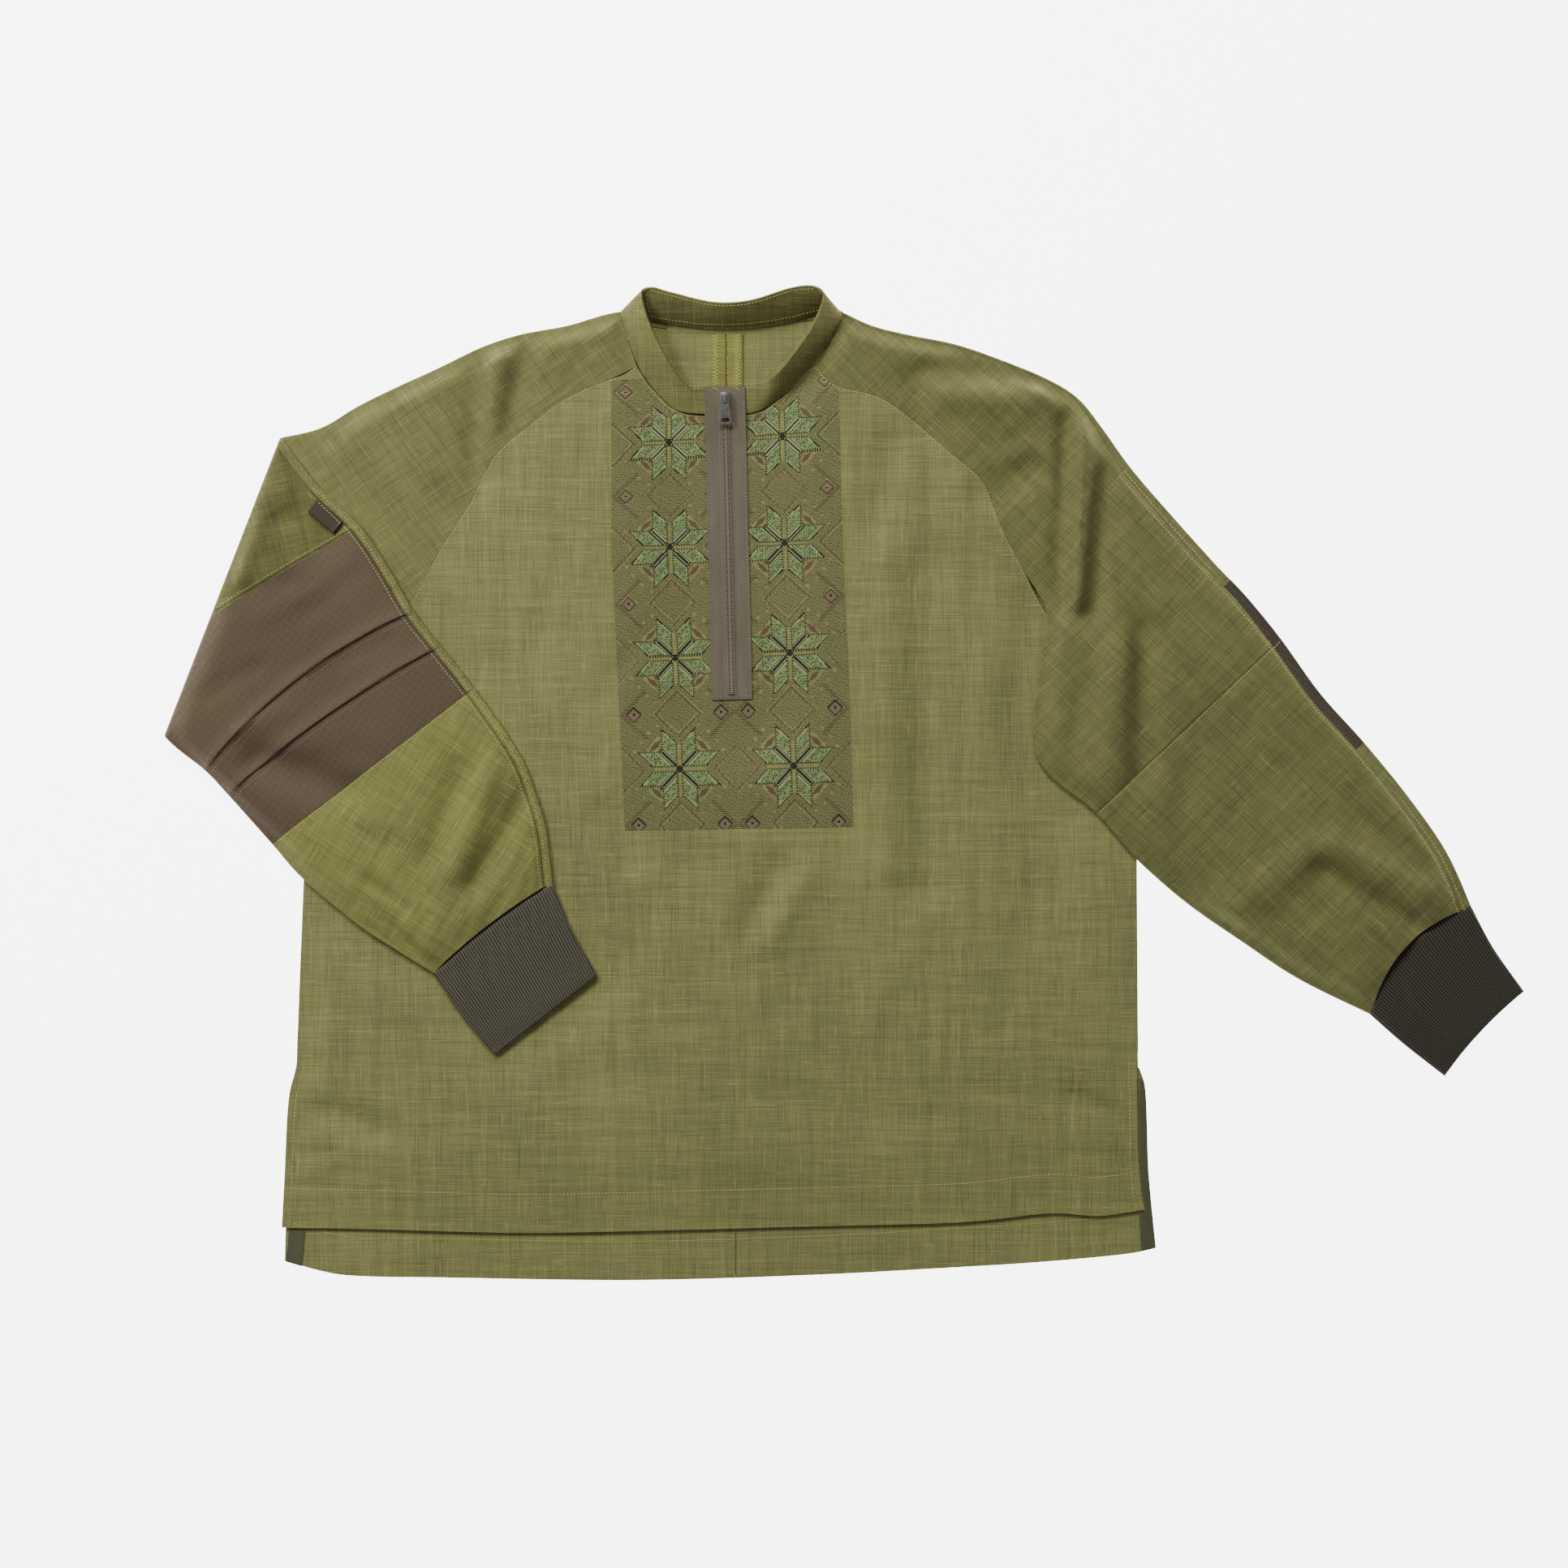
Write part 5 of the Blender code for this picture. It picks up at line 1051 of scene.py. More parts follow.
    def place(self, name: str, mesh: bpy.types.Mesh, material: bpy.types.Material, slot: str,
              body: str | None = None) -> bpy.types.Object:
        """Puts a mesh in the scene as a piece that rides on a body."""
        piece = bpy.data.objects.new(f"{name}_cloth" if name in self.nodes else name, mesh)
        bpy.context.scene.collection.objects.link(piece)
        mesh.materials.clear()
        mesh.materials.append(material)
        mesh.shade_smooth()
        mesh.set_sharp_from_angle(angle=math.radians(50))
        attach(piece, body or self.body)
        self.made[name] = piece
        LOG.info("%s: %d faces", piece.name, len(mesh.polygons))
        return piece

    @staticmethod
    def declare(piece: bpy.types.Object, points: np.ndarray, area: float, hold: Hold,
                rests: Sequence[str]) -> None:
        """Works out the rectangle that a shell's flat outline fills, and its flat area kept within it."""
        low, high = points[..., :2].min(axis=(0, 1)), points[..., :2].max(axis=(0, 1))
        width, length = ((high - low) * MM).tolist()
        width, length = max(width, LEAST_SIDE), max(length, LEAST_SIDE)
        stated = FLAT_AREA.get(piece.name.removesuffix("_cloth"), area)
        stated = min(max(stated, LEAST_SHARE * width * length), width * length)


# Sleeves as flat tubes


class Tube:
    """A sleeve as a flat tube: rows from neck to cuff, columns from the outer to the inner edge."""

    def __init__(self, outer: Sequence, inner: Sequence, under: Sequence, bow: Sequence, seam: Sequence,
                 turned: Layer | None = None, turned_from: float = 0.0, short_from: float = 0.0) -> None:
        """Keeps the tube's lines.

        Args:
            outer: Points of the top edge.
            inner: Points of the raglan seam and underarm edge on the front.
            under: The same on the back.
            bow: How far each row bends towards the neck.
            seam: The outer-arm seam's distance in from the edge, positive on the front.
            turned: The layer that turns at the inner edge.
            turned_from: The row from which it turns.
            short_from: The row from which the other layer stops short of it.
        """
        self.outer = np.array(outer, float)
        self.inner = np.array(inner, float)
        self.under = np.array(under, float)
        self.bow = np.array(bow, float)[:, None]
        self.seam = np.array(seam, float)[:, None]
        self.turned = turned
        self.turned_from = turned_from
        self.short_from = short_from

    @staticmethod
    def side_way(line: np.ndarray, at: np.ndarray, towards: np.ndarray) -> np.ndarray:
        """Unit vectors across an edge, pointing into the sleeve."""
        across = sideways(spline(line, at + 0.05) - spline(line, at - 0.05))
        return across * np.sign((across * towards).sum(axis=1))[:, None]

    def line_of(self, layer: Layer) -> np.ndarray:
        """The inner edge's points on a layer."""
        return self.under if layer is Layer.BACK else self.inner

    def read_inner(self, at: np.ndarray, layer: Layer) -> np.ndarray:
        """The inner edge at stations; the hidden layer's runs straight from row to row."""
        hidden = layer is Layer.BACK and self.turned is Layer.FRONT
        return straight(self.under, at) if hidden else spline(self.line_of(layer), at)

    def grid(self, stations: Sequence[float], columns: Sequence, layer: Layer) -> np.ndarray:
        """Points of a piece.

        Args:
            stations: Its rows.
            columns: Its columns, each a kind, a path length or share, and a rank.
            layer: The layer that it belongs to.

        Returns:
            Points as (rows, columns, 3).
        """
        at = np.asarray(stations, float)
        outer, inner = spline(self.outer, at), self.read_inner(at, layer)
        across = inner - outer
        way_out = self.side_way(self.outer, at, across)
        way_in = self.side_way(self.line_of(layer), at, -across)
        turned = np.clip(at - self.turned_from, 0, 1)
        short = np.clip(at - self.short_from, 0, 1)
        end = np.full(len(at), -TURN_UNDER * 2)
        if layer is self.turned:
            inner = inner - way_in * ((EDGE_RADIUS - HALF_GAP) * (1 - turned))[:, None]
            end = QUARTER - turned * (QUARTER + TURN_UNDER)
        bow, seam = spline(self.bow, at), spline(self.seam, at)[:, 0]
        middle = (self.outer + self.line_of(layer)) / 2
        neckwards = spline(middle, at - 0.05) - spline(middle, at + 0.05)
        neckwards /= np.linalg.norm(neckwards, axis=1)[:, None]
        made: list = [None] * len(columns)
        for index, (kind, value, rank) in enumerate(columns):
            if kind == "outer":
                limit = seam + rank * SPACING + math.copysign(HALF_GAP, rank)
                path = np.maximum(value, limit) if rank > 0 else np.minimum(value, limit)
                reach, height = edge_path(path)
                made[index] = (outer + way_out * reach[:, None], height)
            elif kind == "inner":
                reach, height = edge_path(np.maximum(value, end + SPACING * rank))
                made[index] = (inner + way_in * reach[:, None], 1 - height if layer is Layer.BACK else height)
            elif kind == "flat":
                reach = HALF_GAP + short * (SHORT_OF_TURN - HALF_GAP)
                made[index] = (inner + way_in * reach[:, None], np.full(len(at), float(layer is Layer.FRONT)))
        ends = [k for k, found in enumerate(made) if found is not None]
        for index, (kind, share, _) in enumerate(columns):
            if kind == "share":
                before = max(k for k in ends if k < index)
                after = min(k for k in ends if k > index)
                place = made[before][0] * (1 - share) + made[after][0] * share
                made[index] = (place + neckwards * bow * 4 * share * (1 - share), made[before][1])
        plan = np.stack([place for place, _ in made], axis=1)
        height = np.stack([level for _, level in made], axis=1)
        return np.concatenate([plan, (BACK_LEVEL + PITCH * height)[..., None]], axis=2)


def edge_path(path: np.ndarray) -> tuple[np.ndarray, np.ndarray]:
    """Reach into the sleeve and layer, 0 back and 1 front, at a path length round its edge."""
    turn = np.clip(path / EDGE_RADIUS, -math.pi / 2, math.pi / 2)
    straight = np.maximum(np.abs(path) - QUARTER, 0)
    return EDGE_RADIUS * (1 - np.cos(turn)) + straight, (1 + np.sin(turn)) / 2


ROUND = tuple(QUARTER * share for share in (-1.0, -0.75, -0.5, -0.25, 0.0, 0.25, 0.5, 0.75, 1.0))


def front_share(z: np.ndarray) -> np.ndarray:
    """0 in a flat tube's back layer, 1 in its front layer."""
    return np.clip((z - CLOTH) / (PITCH - CLOTH), 0, 1)


def shares_of(count: int) -> list:
    """Columns at even shares of the way between two edges."""
    return [("share", share, 0) for share in np.linspace(0, 1, count + 1)[1:-1]]


def seam_on(side: int) -> list:
    """The column beside the outer-arm seam."""
    return [("outer", -FAR * side, 0.001 * side)]


def turn_outer(side: int) -> list:
    """Columns that turn the outer edge, away from the seam."""
    knots = [*(side * knot for knot in ROUND), side * (QUARTER + 3.0)]
    return [("outer", knot, side * (rank + 1)) for rank, knot in enumerate(knots)]


def turn_inner() -> list:
    """Columns that turn the inner edge and end under it."""
    knots = (QUARTER + 4.0, QUARTER + 2.0, *ROUND[::-1], -TURN_UNDER / 2, -TURN_UNDER)
    return [("inner", knot, len(knots) - 1 - rank) for rank, knot in enumerate(knots)]


def stations_between(found: Sequence[float], low: float, high: float) -> list[float]:
    """The rows that a piece has from one seam to another, each seam a little short."""
    within = [row for row in found if low + 4 * SEAM_STEP < row < high - 4 * SEAM_STEP]
    return refined([low + SEAM_STEP if low > 0 else 0.0, *within, high - SEAM_STEP], 0.2)


@dataclass
class RightSleeve:
    """The sleeve that lies out to the side, its underarm edge over the body."""

    # Its linen and ripstop are darker copies of the body's linen and the left patch's ripstop: painted shade.
    linen: bpy.types.Material
    ripstop: bpy.types.Material

    def tube(self) -> Tube:
        """The sleeve's flat tube."""
        rows = RIGHT_SLEEVE
        outer, inner, under = (points_of(rows, column) for column in (1, 3, 5))
        bow, seam = [row[7] for row in rows], [row[8] for row in rows]
        return Tube(outer, inner, under, bow, seam, Layer.FRONT, row_index(rows, "fold_start"),
                    row_index(rows, "elbow_seam"))

    @staticmethod
    def front_shape(x: np.ndarray, y: np.ndarray, z: np.ndarray) -> Places:
        """Lifts the front over the body and adds its relief."""
        return x, y, z + Relief.right_lift(x, y) + front_share(z) * Relief.right_sleeve(x, y)

    @staticmethod
    def back_shape(x: np.ndarray, y: np.ndarray, z: np.ndarray) -> Places:
        """Adds relief where the back turns up to the front."""
        return x, y, z + front_share(z) * Relief.right_sleeve(x, y)

    def build(self, maker: ClothMaker) -> None:
        """Makes its five pieces."""
        tube = self.tube()
        turned, elbow = row_index(RIGHT_SLEEVE, "fold_start"), row_index(RIGHT_SLEEVE, "elbow_seam")
        last = len(RIGHT_SLEEVE) - 1 - (CUFF_STEP - SEAM_STEP)
        top, foot = elbow - PATCH_ABOVE, elbow + PATCH_BELOW
        found = [*range(turned), *np.linspace(turned, turned + 1, 14), turned + 2, top, elbow - 1, elbow,
                 *np.arange(elbow + 0.5, last, 0.5)]
        front = [*seam_on(1), *shares_of(34), *turn_inner()]
        back = [*seam_on(-1), *turn_outer(-1), *shares_of(12), ("flat", 0.0, 0)]
        pieces = (
            ("right_sleeve_front", 0, elbow, front, Layer.FRONT, self.linen, "linen", self.front_shape),
            ("right_forearm_front", elbow, last, front, Layer.FRONT, self.linen, "linen", self.front_shape),
            ("right_sleeve_back", 0, top, back, Layer.BACK, self.linen, "linen", self.back_shape),
            ("right_elbow_patch", top, foot, back, Layer.BACK, self.ripstop, "ripstop", self.back_shape),
            ("right_forearm_back", foot, last, back, Layer.BACK, self.linen, "linen", self.back_shape),
        )
        for name, low, high, columns, layer, material, slot, shape in pieces:
            points = tube.grid(stations_between(found, low, high), columns, layer)
            maker.make(name, points, material, slot, shape, grain=-44.0, rests=["front", "back_right"])


@dataclass
class LeftSleeve:
    """The sleeve that is folded back at its elbow, over itself and the body."""

    # The shoulder, forearm and folded-back linens are darker copies of the body's linen: painted shade.
    linen: bpy.types.Material
    shaded_forearm_linen: bpy.types.Material
    shaded_turned_linen: bpy.types.Material
    ripstop: bpy.types.Material

    def __post_init__(self) -> None:
        """Works out the fold's axis."""
        along = (Vector(FOLD_BOTTOM) - Vector(FOLD_TOP)).normalized()
        self.out = Vector((along.y, -along.x))
        self.axis = Vector(FOLD_TOP) - self.out * (FOLD_HEIGHT - BACK_LEVEL + CLOTH / 2)
        self.bend = FOLD_HEIGHT - (BACK_LEVEL + FRONT_LEVEL) / 2

    def past(self, x: np.ndarray | float, y: np.ndarray | float) -> np.ndarray | float:
        """Distance past the fold's axis."""
        return (x - self.axis.x) * self.out.x + (y - self.axis.y) * self.out.y

    def unfolded(self, point: Point) -> Point:
        """Where a folded-over point lies when the sleeve is straight."""
        travel = -2 * self.past(*point) + math.pi * self.bend
        return (point[0] + self.out.x * travel, point[1] + self.out.y * travel)

    def tube(self) -> Tube:
        """The sleeve laid out straight."""
        rows = LEFT_SLEEVE
        armpit = row_index(rows, "armpit")
        outer = [self.unfolded(row[1:3]) if row[3] else row[1:3] for row in rows]
        inner = [self.unfolded(row[4:6]) if row[6] else row[4:6] for row in rows]
        under = [inner[k] if k > armpit else row[7:9] for k, row in enumerate(rows)]
        bow, seam = [row[9] for row in rows], [LEFT_SEAM] * len(rows)
        return Tube(outer, inner, under, bow, seam, Layer.BACK, armpit, armpit)

    def shape(self, x: np.ndarray, y: np.ndarray, z: np.ndarray) -> Places:
        """Folds the straight sleeve back along its axis and adds its relief."""
        out = self.past(x, y)
        foot_x, foot_y = x - out * self.out.x, y - out * self.out.y
        front = front_share(z)
        turn = np.clip(out / self.bend, 0, math.pi)
        radius = FOLD_HEIGHT - z
        beyond = np.maximum(out - math.pi * self.bend, 0)
        reach = np.where(out <= 0, out, radius * np.sin(turn) - beyond)
        height = FOLD_HEIGHT - radius * np.cos(turn)
        new_x, new_y = foot_x + reach * self.out.x, foot_y + reach * self.out.y
        over = (1 - np.cos(turn)) / 2
        height = height + over * (1 - front) * Relief.folded(new_x, new_y)
        height = height + (1 - over) * front * np.where(turn == 0, Relief.shoulder(x, y), 0)
        return new_x, new_y, np.maximum(height, 0)

    def cuts(self) -> list:
        """Planes along the fold, where the layers bend."""
        places = [math.pi * self.bend * share for share in np.linspace(0, 1, 9)]
        return [(tuple(self.axis + self.out * place), tuple(self.out)) for place in places]

    def build(self, maker: ClothMaker) -> None:
        """Makes its five pieces."""
        tube, table = self.tube(), LEFT_SLEEVE
        armpit, patch, elbow = (row_index(table, name) for name in ("armpit", "patch_top", "elbow_seam"))
        tucks = (row_index(table, "tuck_1"), row_index(table, "tuck_2"))
        last = len(table) - 1 - (CUFF_STEP - SEAM_STEP)
        found = [*range(armpit), armpit, armpit + 0.06, *np.linspace(armpit, patch, 12)[1:]]
        found += [patch + 0.5, patch + 1]
        steps = (-0.35, -0.2, -0.1, -0.05, -0.02, 0.0, 0.03, 0.06)
        found += [tuck + step for tuck in tucks for step in steps]
        found += [elbow - 0.5, elbow, *np.arange(elbow + 0.5, last, 0.5)]
        front = [*seam_on(1), *turn_outer(1), *shares_of(26), ("flat", 0.0, 0)]
        back = [*seam_on(-1), *shares_of(40), *turn_inner()]
        pieces = (
            ("left_sleeve_front", 0, elbow, front, Layer.FRONT, self.linen, "linen", 34.0),
            ("left_forearm_front", elbow, last, front, Layer.FRONT, self.shaded_forearm_linen, "linen", 80.0),
            ("left_sleeve_back", 0, patch, back, Layer.BACK, self.shaded_turned_linen, "linen", 34.0),
            ("left_elbow_patch", patch, elbow, back, Layer.BACK, self.ripstop, "ripstop", 84.0),
            ("left_forearm_back", elbow, last, back, Layer.BACK, self.shaded_forearm_linen, "linen", 80.0),
        )
        for name, low, high, columns, layer, material, slot, grain in pieces:
            points = tube.grid(stations_between(found, low, high), columns, layer)
            maker.make(name, points, material, slot, self.shape, cuts=self.cuts(), grain=grain,
                       hold=Hold.FOLDED, rests=["front", "back_left"])


@dataclass
class Body:
    """Front, back, seam allowances and vent facings."""

    linen: bpy.types.Material
    allowance: bpy.types.Material
    herringbone: bpy.types.Material
    # side, from x, to x
    allowances: tuple = (("left", -103.5, -92.0), ("right", -90.5, -79.0))
    allowance_reach: Pair = (303.5, 349.5)
    facing_wall: float = 1.0

    @staticmethod
    def half(side: Sequence, hem: Sequence, raglan: np.ndarray, neck: Sequence, centre: Point,
             counts: tuple[int, int]) -> np.ndarray:
        """Half a panel in plan, as a Coons patch from its side seam to its centre line."""
        neck_columns, rows = counts
        raglan = np.asarray(raglan, float)
        across = sideways(np.gradient(raglan, axis=0))
        across *= np.sign(((np.asarray(centre, float) - raglan) * across).sum(axis=1))[:, None]
        top = np.concatenate([raglan + across * HALF_GAP, evenly(neck, neck_columns + 1)[1:]])
        foot = evenly(hem, 200)
        reach = np.linspace(side[-1][0], centre[0], len(top))
        bottom = np.stack([reach, np.interp(reach, foot[:, 0], foot[:, 1])], axis=1)
        seam = evenly(side[::-1], rows + 1)
        line = np.linspace(bottom[-1], top[-1], rows + 1)
        u = np.linspace(0, 1, len(bottom))[None, :, None]
        v = np.linspace(0, 1, rows + 1)[:, None, None]
        return ((1 - v) * bottom[None] + v * top[None] + (1 - u) * seam[:, None] + u * line[:, None]
                - (1 - u) * (1 - v) * bottom[0] - u * (1 - v) * bottom[-1]
                - (1 - u) * v * top[0] - u * v * top[-1])

    @staticmethod
    def lifted(plan: np.ndarray, level: float) -> np.ndarray:
        """Plan points with one height."""
        return np.concatenate([plan, np.full((*plan.shape[:2], 1), level)], axis=2)

    def front_plan(self) -> tuple[np.ndarray, tuple[int, int]]:
        """The front's grid in plan, and its slit's column and row."""
        left_line, right_line = (spline(line, quarters(line)) for line in (raglan_left(), raglan_right()))
        counts = (14, 120)
        left = self.half(SIDE_LEFT, HEM_FRONT, left_line, NECK_LEFT, HEM_CENTRE_FRONT, counts)
        right = self.half(closer(SIDE_RIGHT), HEM_FRONT, right_line, NECK_RIGHT, HEM_CENTRE_FRONT, counts)
        middle = (left[:, -1] + right[:, -1]) / 2
        plan = np.concatenate([left[:, :-1], middle[:, None], right[:, -2::-1]], axis=1)
        return plan, (left.shape[1] - 1, int(np.argmax(middle[:, 1] > SLIT_FOOT)))

    @staticmethod
    def back_plans() -> tuple[np.ndarray, np.ndarray]:
        """The back's two grids in plan, a little apart at their centre seam."""
        left_line = points_of(LEFT_SLEEVE[:row_index(LEFT_SLEEVE, "armpit") + 1], 7)[::-1]
        right_rows = RIGHT_SLEEVE[:row_index(RIGHT_SLEEVE, "armpit")]
        right_line = [ARMPIT_RIGHT[-1], *points_of(right_rows, 5)[::-1]]
        left_seam = spline(left_line, quarters(left_line))
        right_seam = straight(right_line, quarters(right_line))
        left = Body.half(VENT_LEFT, HEM_BACK, left_seam, BACK_NECK_LEFT, HEM_CENTRE_BACK, (8, 70))
        right = Body.half(VENT_RIGHT, HEM_BACK, right_seam, BACK_NECK_RIGHT, HEM_CENTRE_BACK, (8, 70))
        left[:, -1, 0] -= BACK_GAP
        right[:, -1, 0] += BACK_GAP
        return left, right

    def build(self, maker: ClothMaker) -> None:
        """Makes the body's pieces."""
        plan, slit = self.front_plan()
        maker.make("front", self.lifted(plan, FRONT_LEVEL), self.linen, "linen", self.front_shape, slit=slit,
                   rests=["back_left", "back_right"])
        for name, half in zip(("back_left", "back_right"), self.back_plans()):
            maker.make(name, self.lifted(half, BACK_LEVEL), self.linen, "linen", self.back_shape,
                       rests=["floor"])
        y = np.linspace(*self.allowance_reach, 40)
        for side, near, far in self.allowances:
            columns = [np.stack([np.full(len(y), x), y], axis=1) for x in np.linspace(near, far, 9)]
            flat = self.lifted(np.stack(columns, axis=1), CLOTH + GAP + CLOTH / 2)
            maker.make(f"back_allowance_{side}", flat, self.allowance, "linen", rests=["back_left"])
        for name, table in (("vent_facing_right", FACING_RIGHT), ("vent_facing_left", FACING_LEFT)):
            edges = np.array([[row[0:2], row[2:4]] for row in table], float)
            flat = np.stack([edges[:, 0] * (1 - s) + edges[:, 1] * s for s in np.linspace(0, 1, 5)], axis=1)
            maker.make(name, self.lifted(flat, CLOTH + GAP + self.facing_wall / 2), self.herringbone,
                       "herringbone", wall=self.facing_wall,
                       rests=["back_right" if "right" in name else "back_left"])

    @staticmethod
    def front_shape(x: np.ndarray, y: np.ndarray, z: np.ndarray) -> Places:
        """Adds the front's relief."""
        return x, y, z + Relief.front(x, y)

    @staticmethod
    def back_shape(x: np.ndarray, y: np.ndarray, z: np.ndarray) -> Places:
        """Rumples the back's upper face where it shows, and keeps its underside flat."""
        upper = ease(z, 0.4, 1.0)
        hem = distance_to(HEM_BACK, x, y)
        shown = ease(-y, 350.0, 356.0)
        step = turned_hem(hem, *BACK_HEM)
        neck = 0.5 * ease(y, 300, 312) * (1 - ease(y, 345, 352)) * (Relief.rumple(x, y, 0.0, 1.6) + 0.4)
        return x, y, z + upper * (shown * step + np.maximum(neck, 0) * 0.5)


@dataclass
class Cuffs:
    """Ribbed cuffs, each a flat ring of knit."""

    left_knit: bpy.types.Material
    # The right cuff's knit is a darker copy of the left's: painted shade.
    shaded_right_knit: bpy.types.Material
    ribs: int = 49
    height: float = 0.9
    tucked: float = 3.0
    dipped: float = 1.1
    roundness: float = 0.7

    def build(self, maker: ClothMaker) -> None:
        """Makes both cuffs."""
        self.cuff(maker, "right_cuff", RIGHT_CUFF, 0.0, self.shaded_right_knit, -52.0)
        self.cuff(maker, "left_cuff", LEFT_CUFF, OVERLAY, self.left_knit, 36.0)

    def cuff(self, maker: ClothMaker, name: str, table: Sequence, base: float, knit: bpy.types.Material,
             grain: float) -> None:
        """Makes one cuff."""
        outer, inner = points_of(table, 1), points_of(table, 3)
        tube = Tube(outer, inner, inner, [row[5] for row in table], [FAR] * len(table))
        knots = [("outer", knot, 0.0) for knot in ROUND]
        columns = [("inner", -QUARTER - 2 * GAP, 0), *shares_of(90), *knots, *shares_of(6 * self.ribs)]
        columns += [("inner", knot, 0) for knot in ROUND[::-1]]
        stations = [CUFF_STEP, *np.linspace(0, 2, 15)[1:-1], 1.97, 2.0]
        points = tube.grid(stations, columns, Layer.FRONT)
        outer_line, inner_line = spline(outer, stations), spline(inner, stations)
        way = points[0] - points[1]
        way /= np.linalg.norm(way, axis=1)[:, None]
        upper_side = points[0, :, 2] > FRONT_LEVEL - 0.3
        lead = points[0] + way * np.where(upper_side, self.tucked, 0.2)[:, None]
        lead[upper_side, 2] -= self.dipped
        points = np.concatenate([lead[None], points])

        def shape(x: np.ndarray, y: np.ndarray, z: np.ndarray) -> Places:
            """Raises the ribs on the upper face, softer at the hem's fold."""
            share, reach = self.across(outer_line, inner_line, x, y)
            upper = np.clip((z - FRONT_LEVEL) / (CLOTH / 2), 0, 1)
            upper = upper * ease(share, 0, 0.02) * ease(-share, -1, -0.98)
            hem = 1 - ease(reach, 0.955, 1.0)
            soft = np.maximum(0.5 * Relief.rumple(x, y, 0.9, 0.4) * upper, -0.2)
            return x, y, z + base + upper * self.height * self.ridge(share) * (0.4 + 0.6 * hem) + soft

        piece = maker.make(name, points, knit, "rib_knit", shape, grain=grain,
                           rests=["front" if base else "floor"])
        found = np.array([v.co for v in piece.data.vertices]) / MM
        share, _ = self.across(outer_line, inner_line, found[:, 0], found[:, 1])
        # Rib heights for the knit's finish, which paints light on the ribs' tops and shade in their hollows.
        piece.data.attributes.new("rib", "FLOAT", "POINT").data.foreach_set("value", self.ridge(share))

    def ridge(self, share: np.ndarray) -> np.ndarray:
        """Height of the ribs, 0 to 1, at shares of the way across."""
        return np.abs(np.sin(math.pi * self.ribs * share)) ** self.roundness

    @staticmethod
    def across(outer: np.ndarray, inner: np.ndarray, x: np.ndarray,
               y: np.ndarray) -> tuple[np.ndarray, np.ndarray]:
        """Shares of the way across and along a cuff."""
        mid_seam, mid_hem = (outer[0] + inner[0]) / 2, (outer[-1] + inner[-1]) / 2
        length = mid_hem - mid_seam
        reach = ((x - mid_seam[0]) * length[0] + (y - mid_seam[1]) * length[1]) / (length ** 2).sum()
        start = outer[0][:, None] + (outer[-1] - outer[0])[:, None] * reach
        span_seam, span_hem = inner[0] - outer[0], inner[-1] - outer[-1]
        span = span_seam[:, None] + (span_hem - span_seam)[:, None] * reach
        share = ((x - start[0]) * span[0] + (y - start[1]) * span[1]) / (span ** 2).sum(axis=0)
        return share, reach


@dataclass
class Collar:
    """The stand collar band."""

    linen: bpy.types.Material
    bulge: float = 0.8
    wave: float = 0.35
    binding_half: float = 2.4
    binding_level: float = 1.75
    binding_wall: float = 0.4

    def build(self, maker: ClothMaker) -> None:
        """Makes the band."""
        rows = np.array(COLLAR, float)
        at = np.linspace(0, len(rows) - 1, 260)
        seam, top = spline(rows[:, :2], at), spline(rows[:, 2:4], at)
        top_z = spline(rows[:, 4:5], at)[:, 0]
        inwards = (top - seam) / np.linalg.norm(top - seam, axis=1)[:, None]
        seam = seam + inwards * BAND_INSET
        heights = np.linspace(0, 1, 13)
        points = np.empty((len(heights), len(at), 3))
        for k, share in enumerate(heights):
            middle = 4 * share * (1 - share)
            points[k, :, :2] = seam + (top - seam) * share - inwards * self.bulge * middle
            wave = self.wave * np.array([noise.noise(Vector((a / 1.3, share * 2, 3.0))) for a in at])
            points[k, :, 2] = BAND_FOOT + (top_z - BAND_FOOT) * share + 0.06 * (top_z - BAND_FOOT) * middle
            points[k, :, 2] += wave * middle * ease(top_z, 5.5, 12.0)
        maker.make("collar_band", points, self.linen, "linen", wall=BAND_WALL, declare=False)
        for side, line in (("left", NECK_CORNER_LEFT), ("right", NECK_CORNER_RIGHT)):
            path = evenly(line, 30)
            across = sideways(np.gradient(path, axis=0))
            offsets = np.linspace(-self.binding_half, self.binding_half, 7)
            flat = np.stack([path + across * offset for offset in offsets], axis=1)
            maker.make(f"neck_binding_{side}", Body.lifted(flat, self.binding_level), self.linen, "linen",
                       wall=self.binding_wall, declare=False)


# Zip


def zip_base(y: np.ndarray) -> np.ndarray:
    """Height under the zip tape: the front's face, then the collar band's."""
    on_band = ease(y, 262.0, 284.0) * (ZIP_ON_BAND - ZIP_ON_FRONT)
    return ZIP_ON_FRONT + on_band + ease(y, 280.0, 308.0) * ZIP_RISE


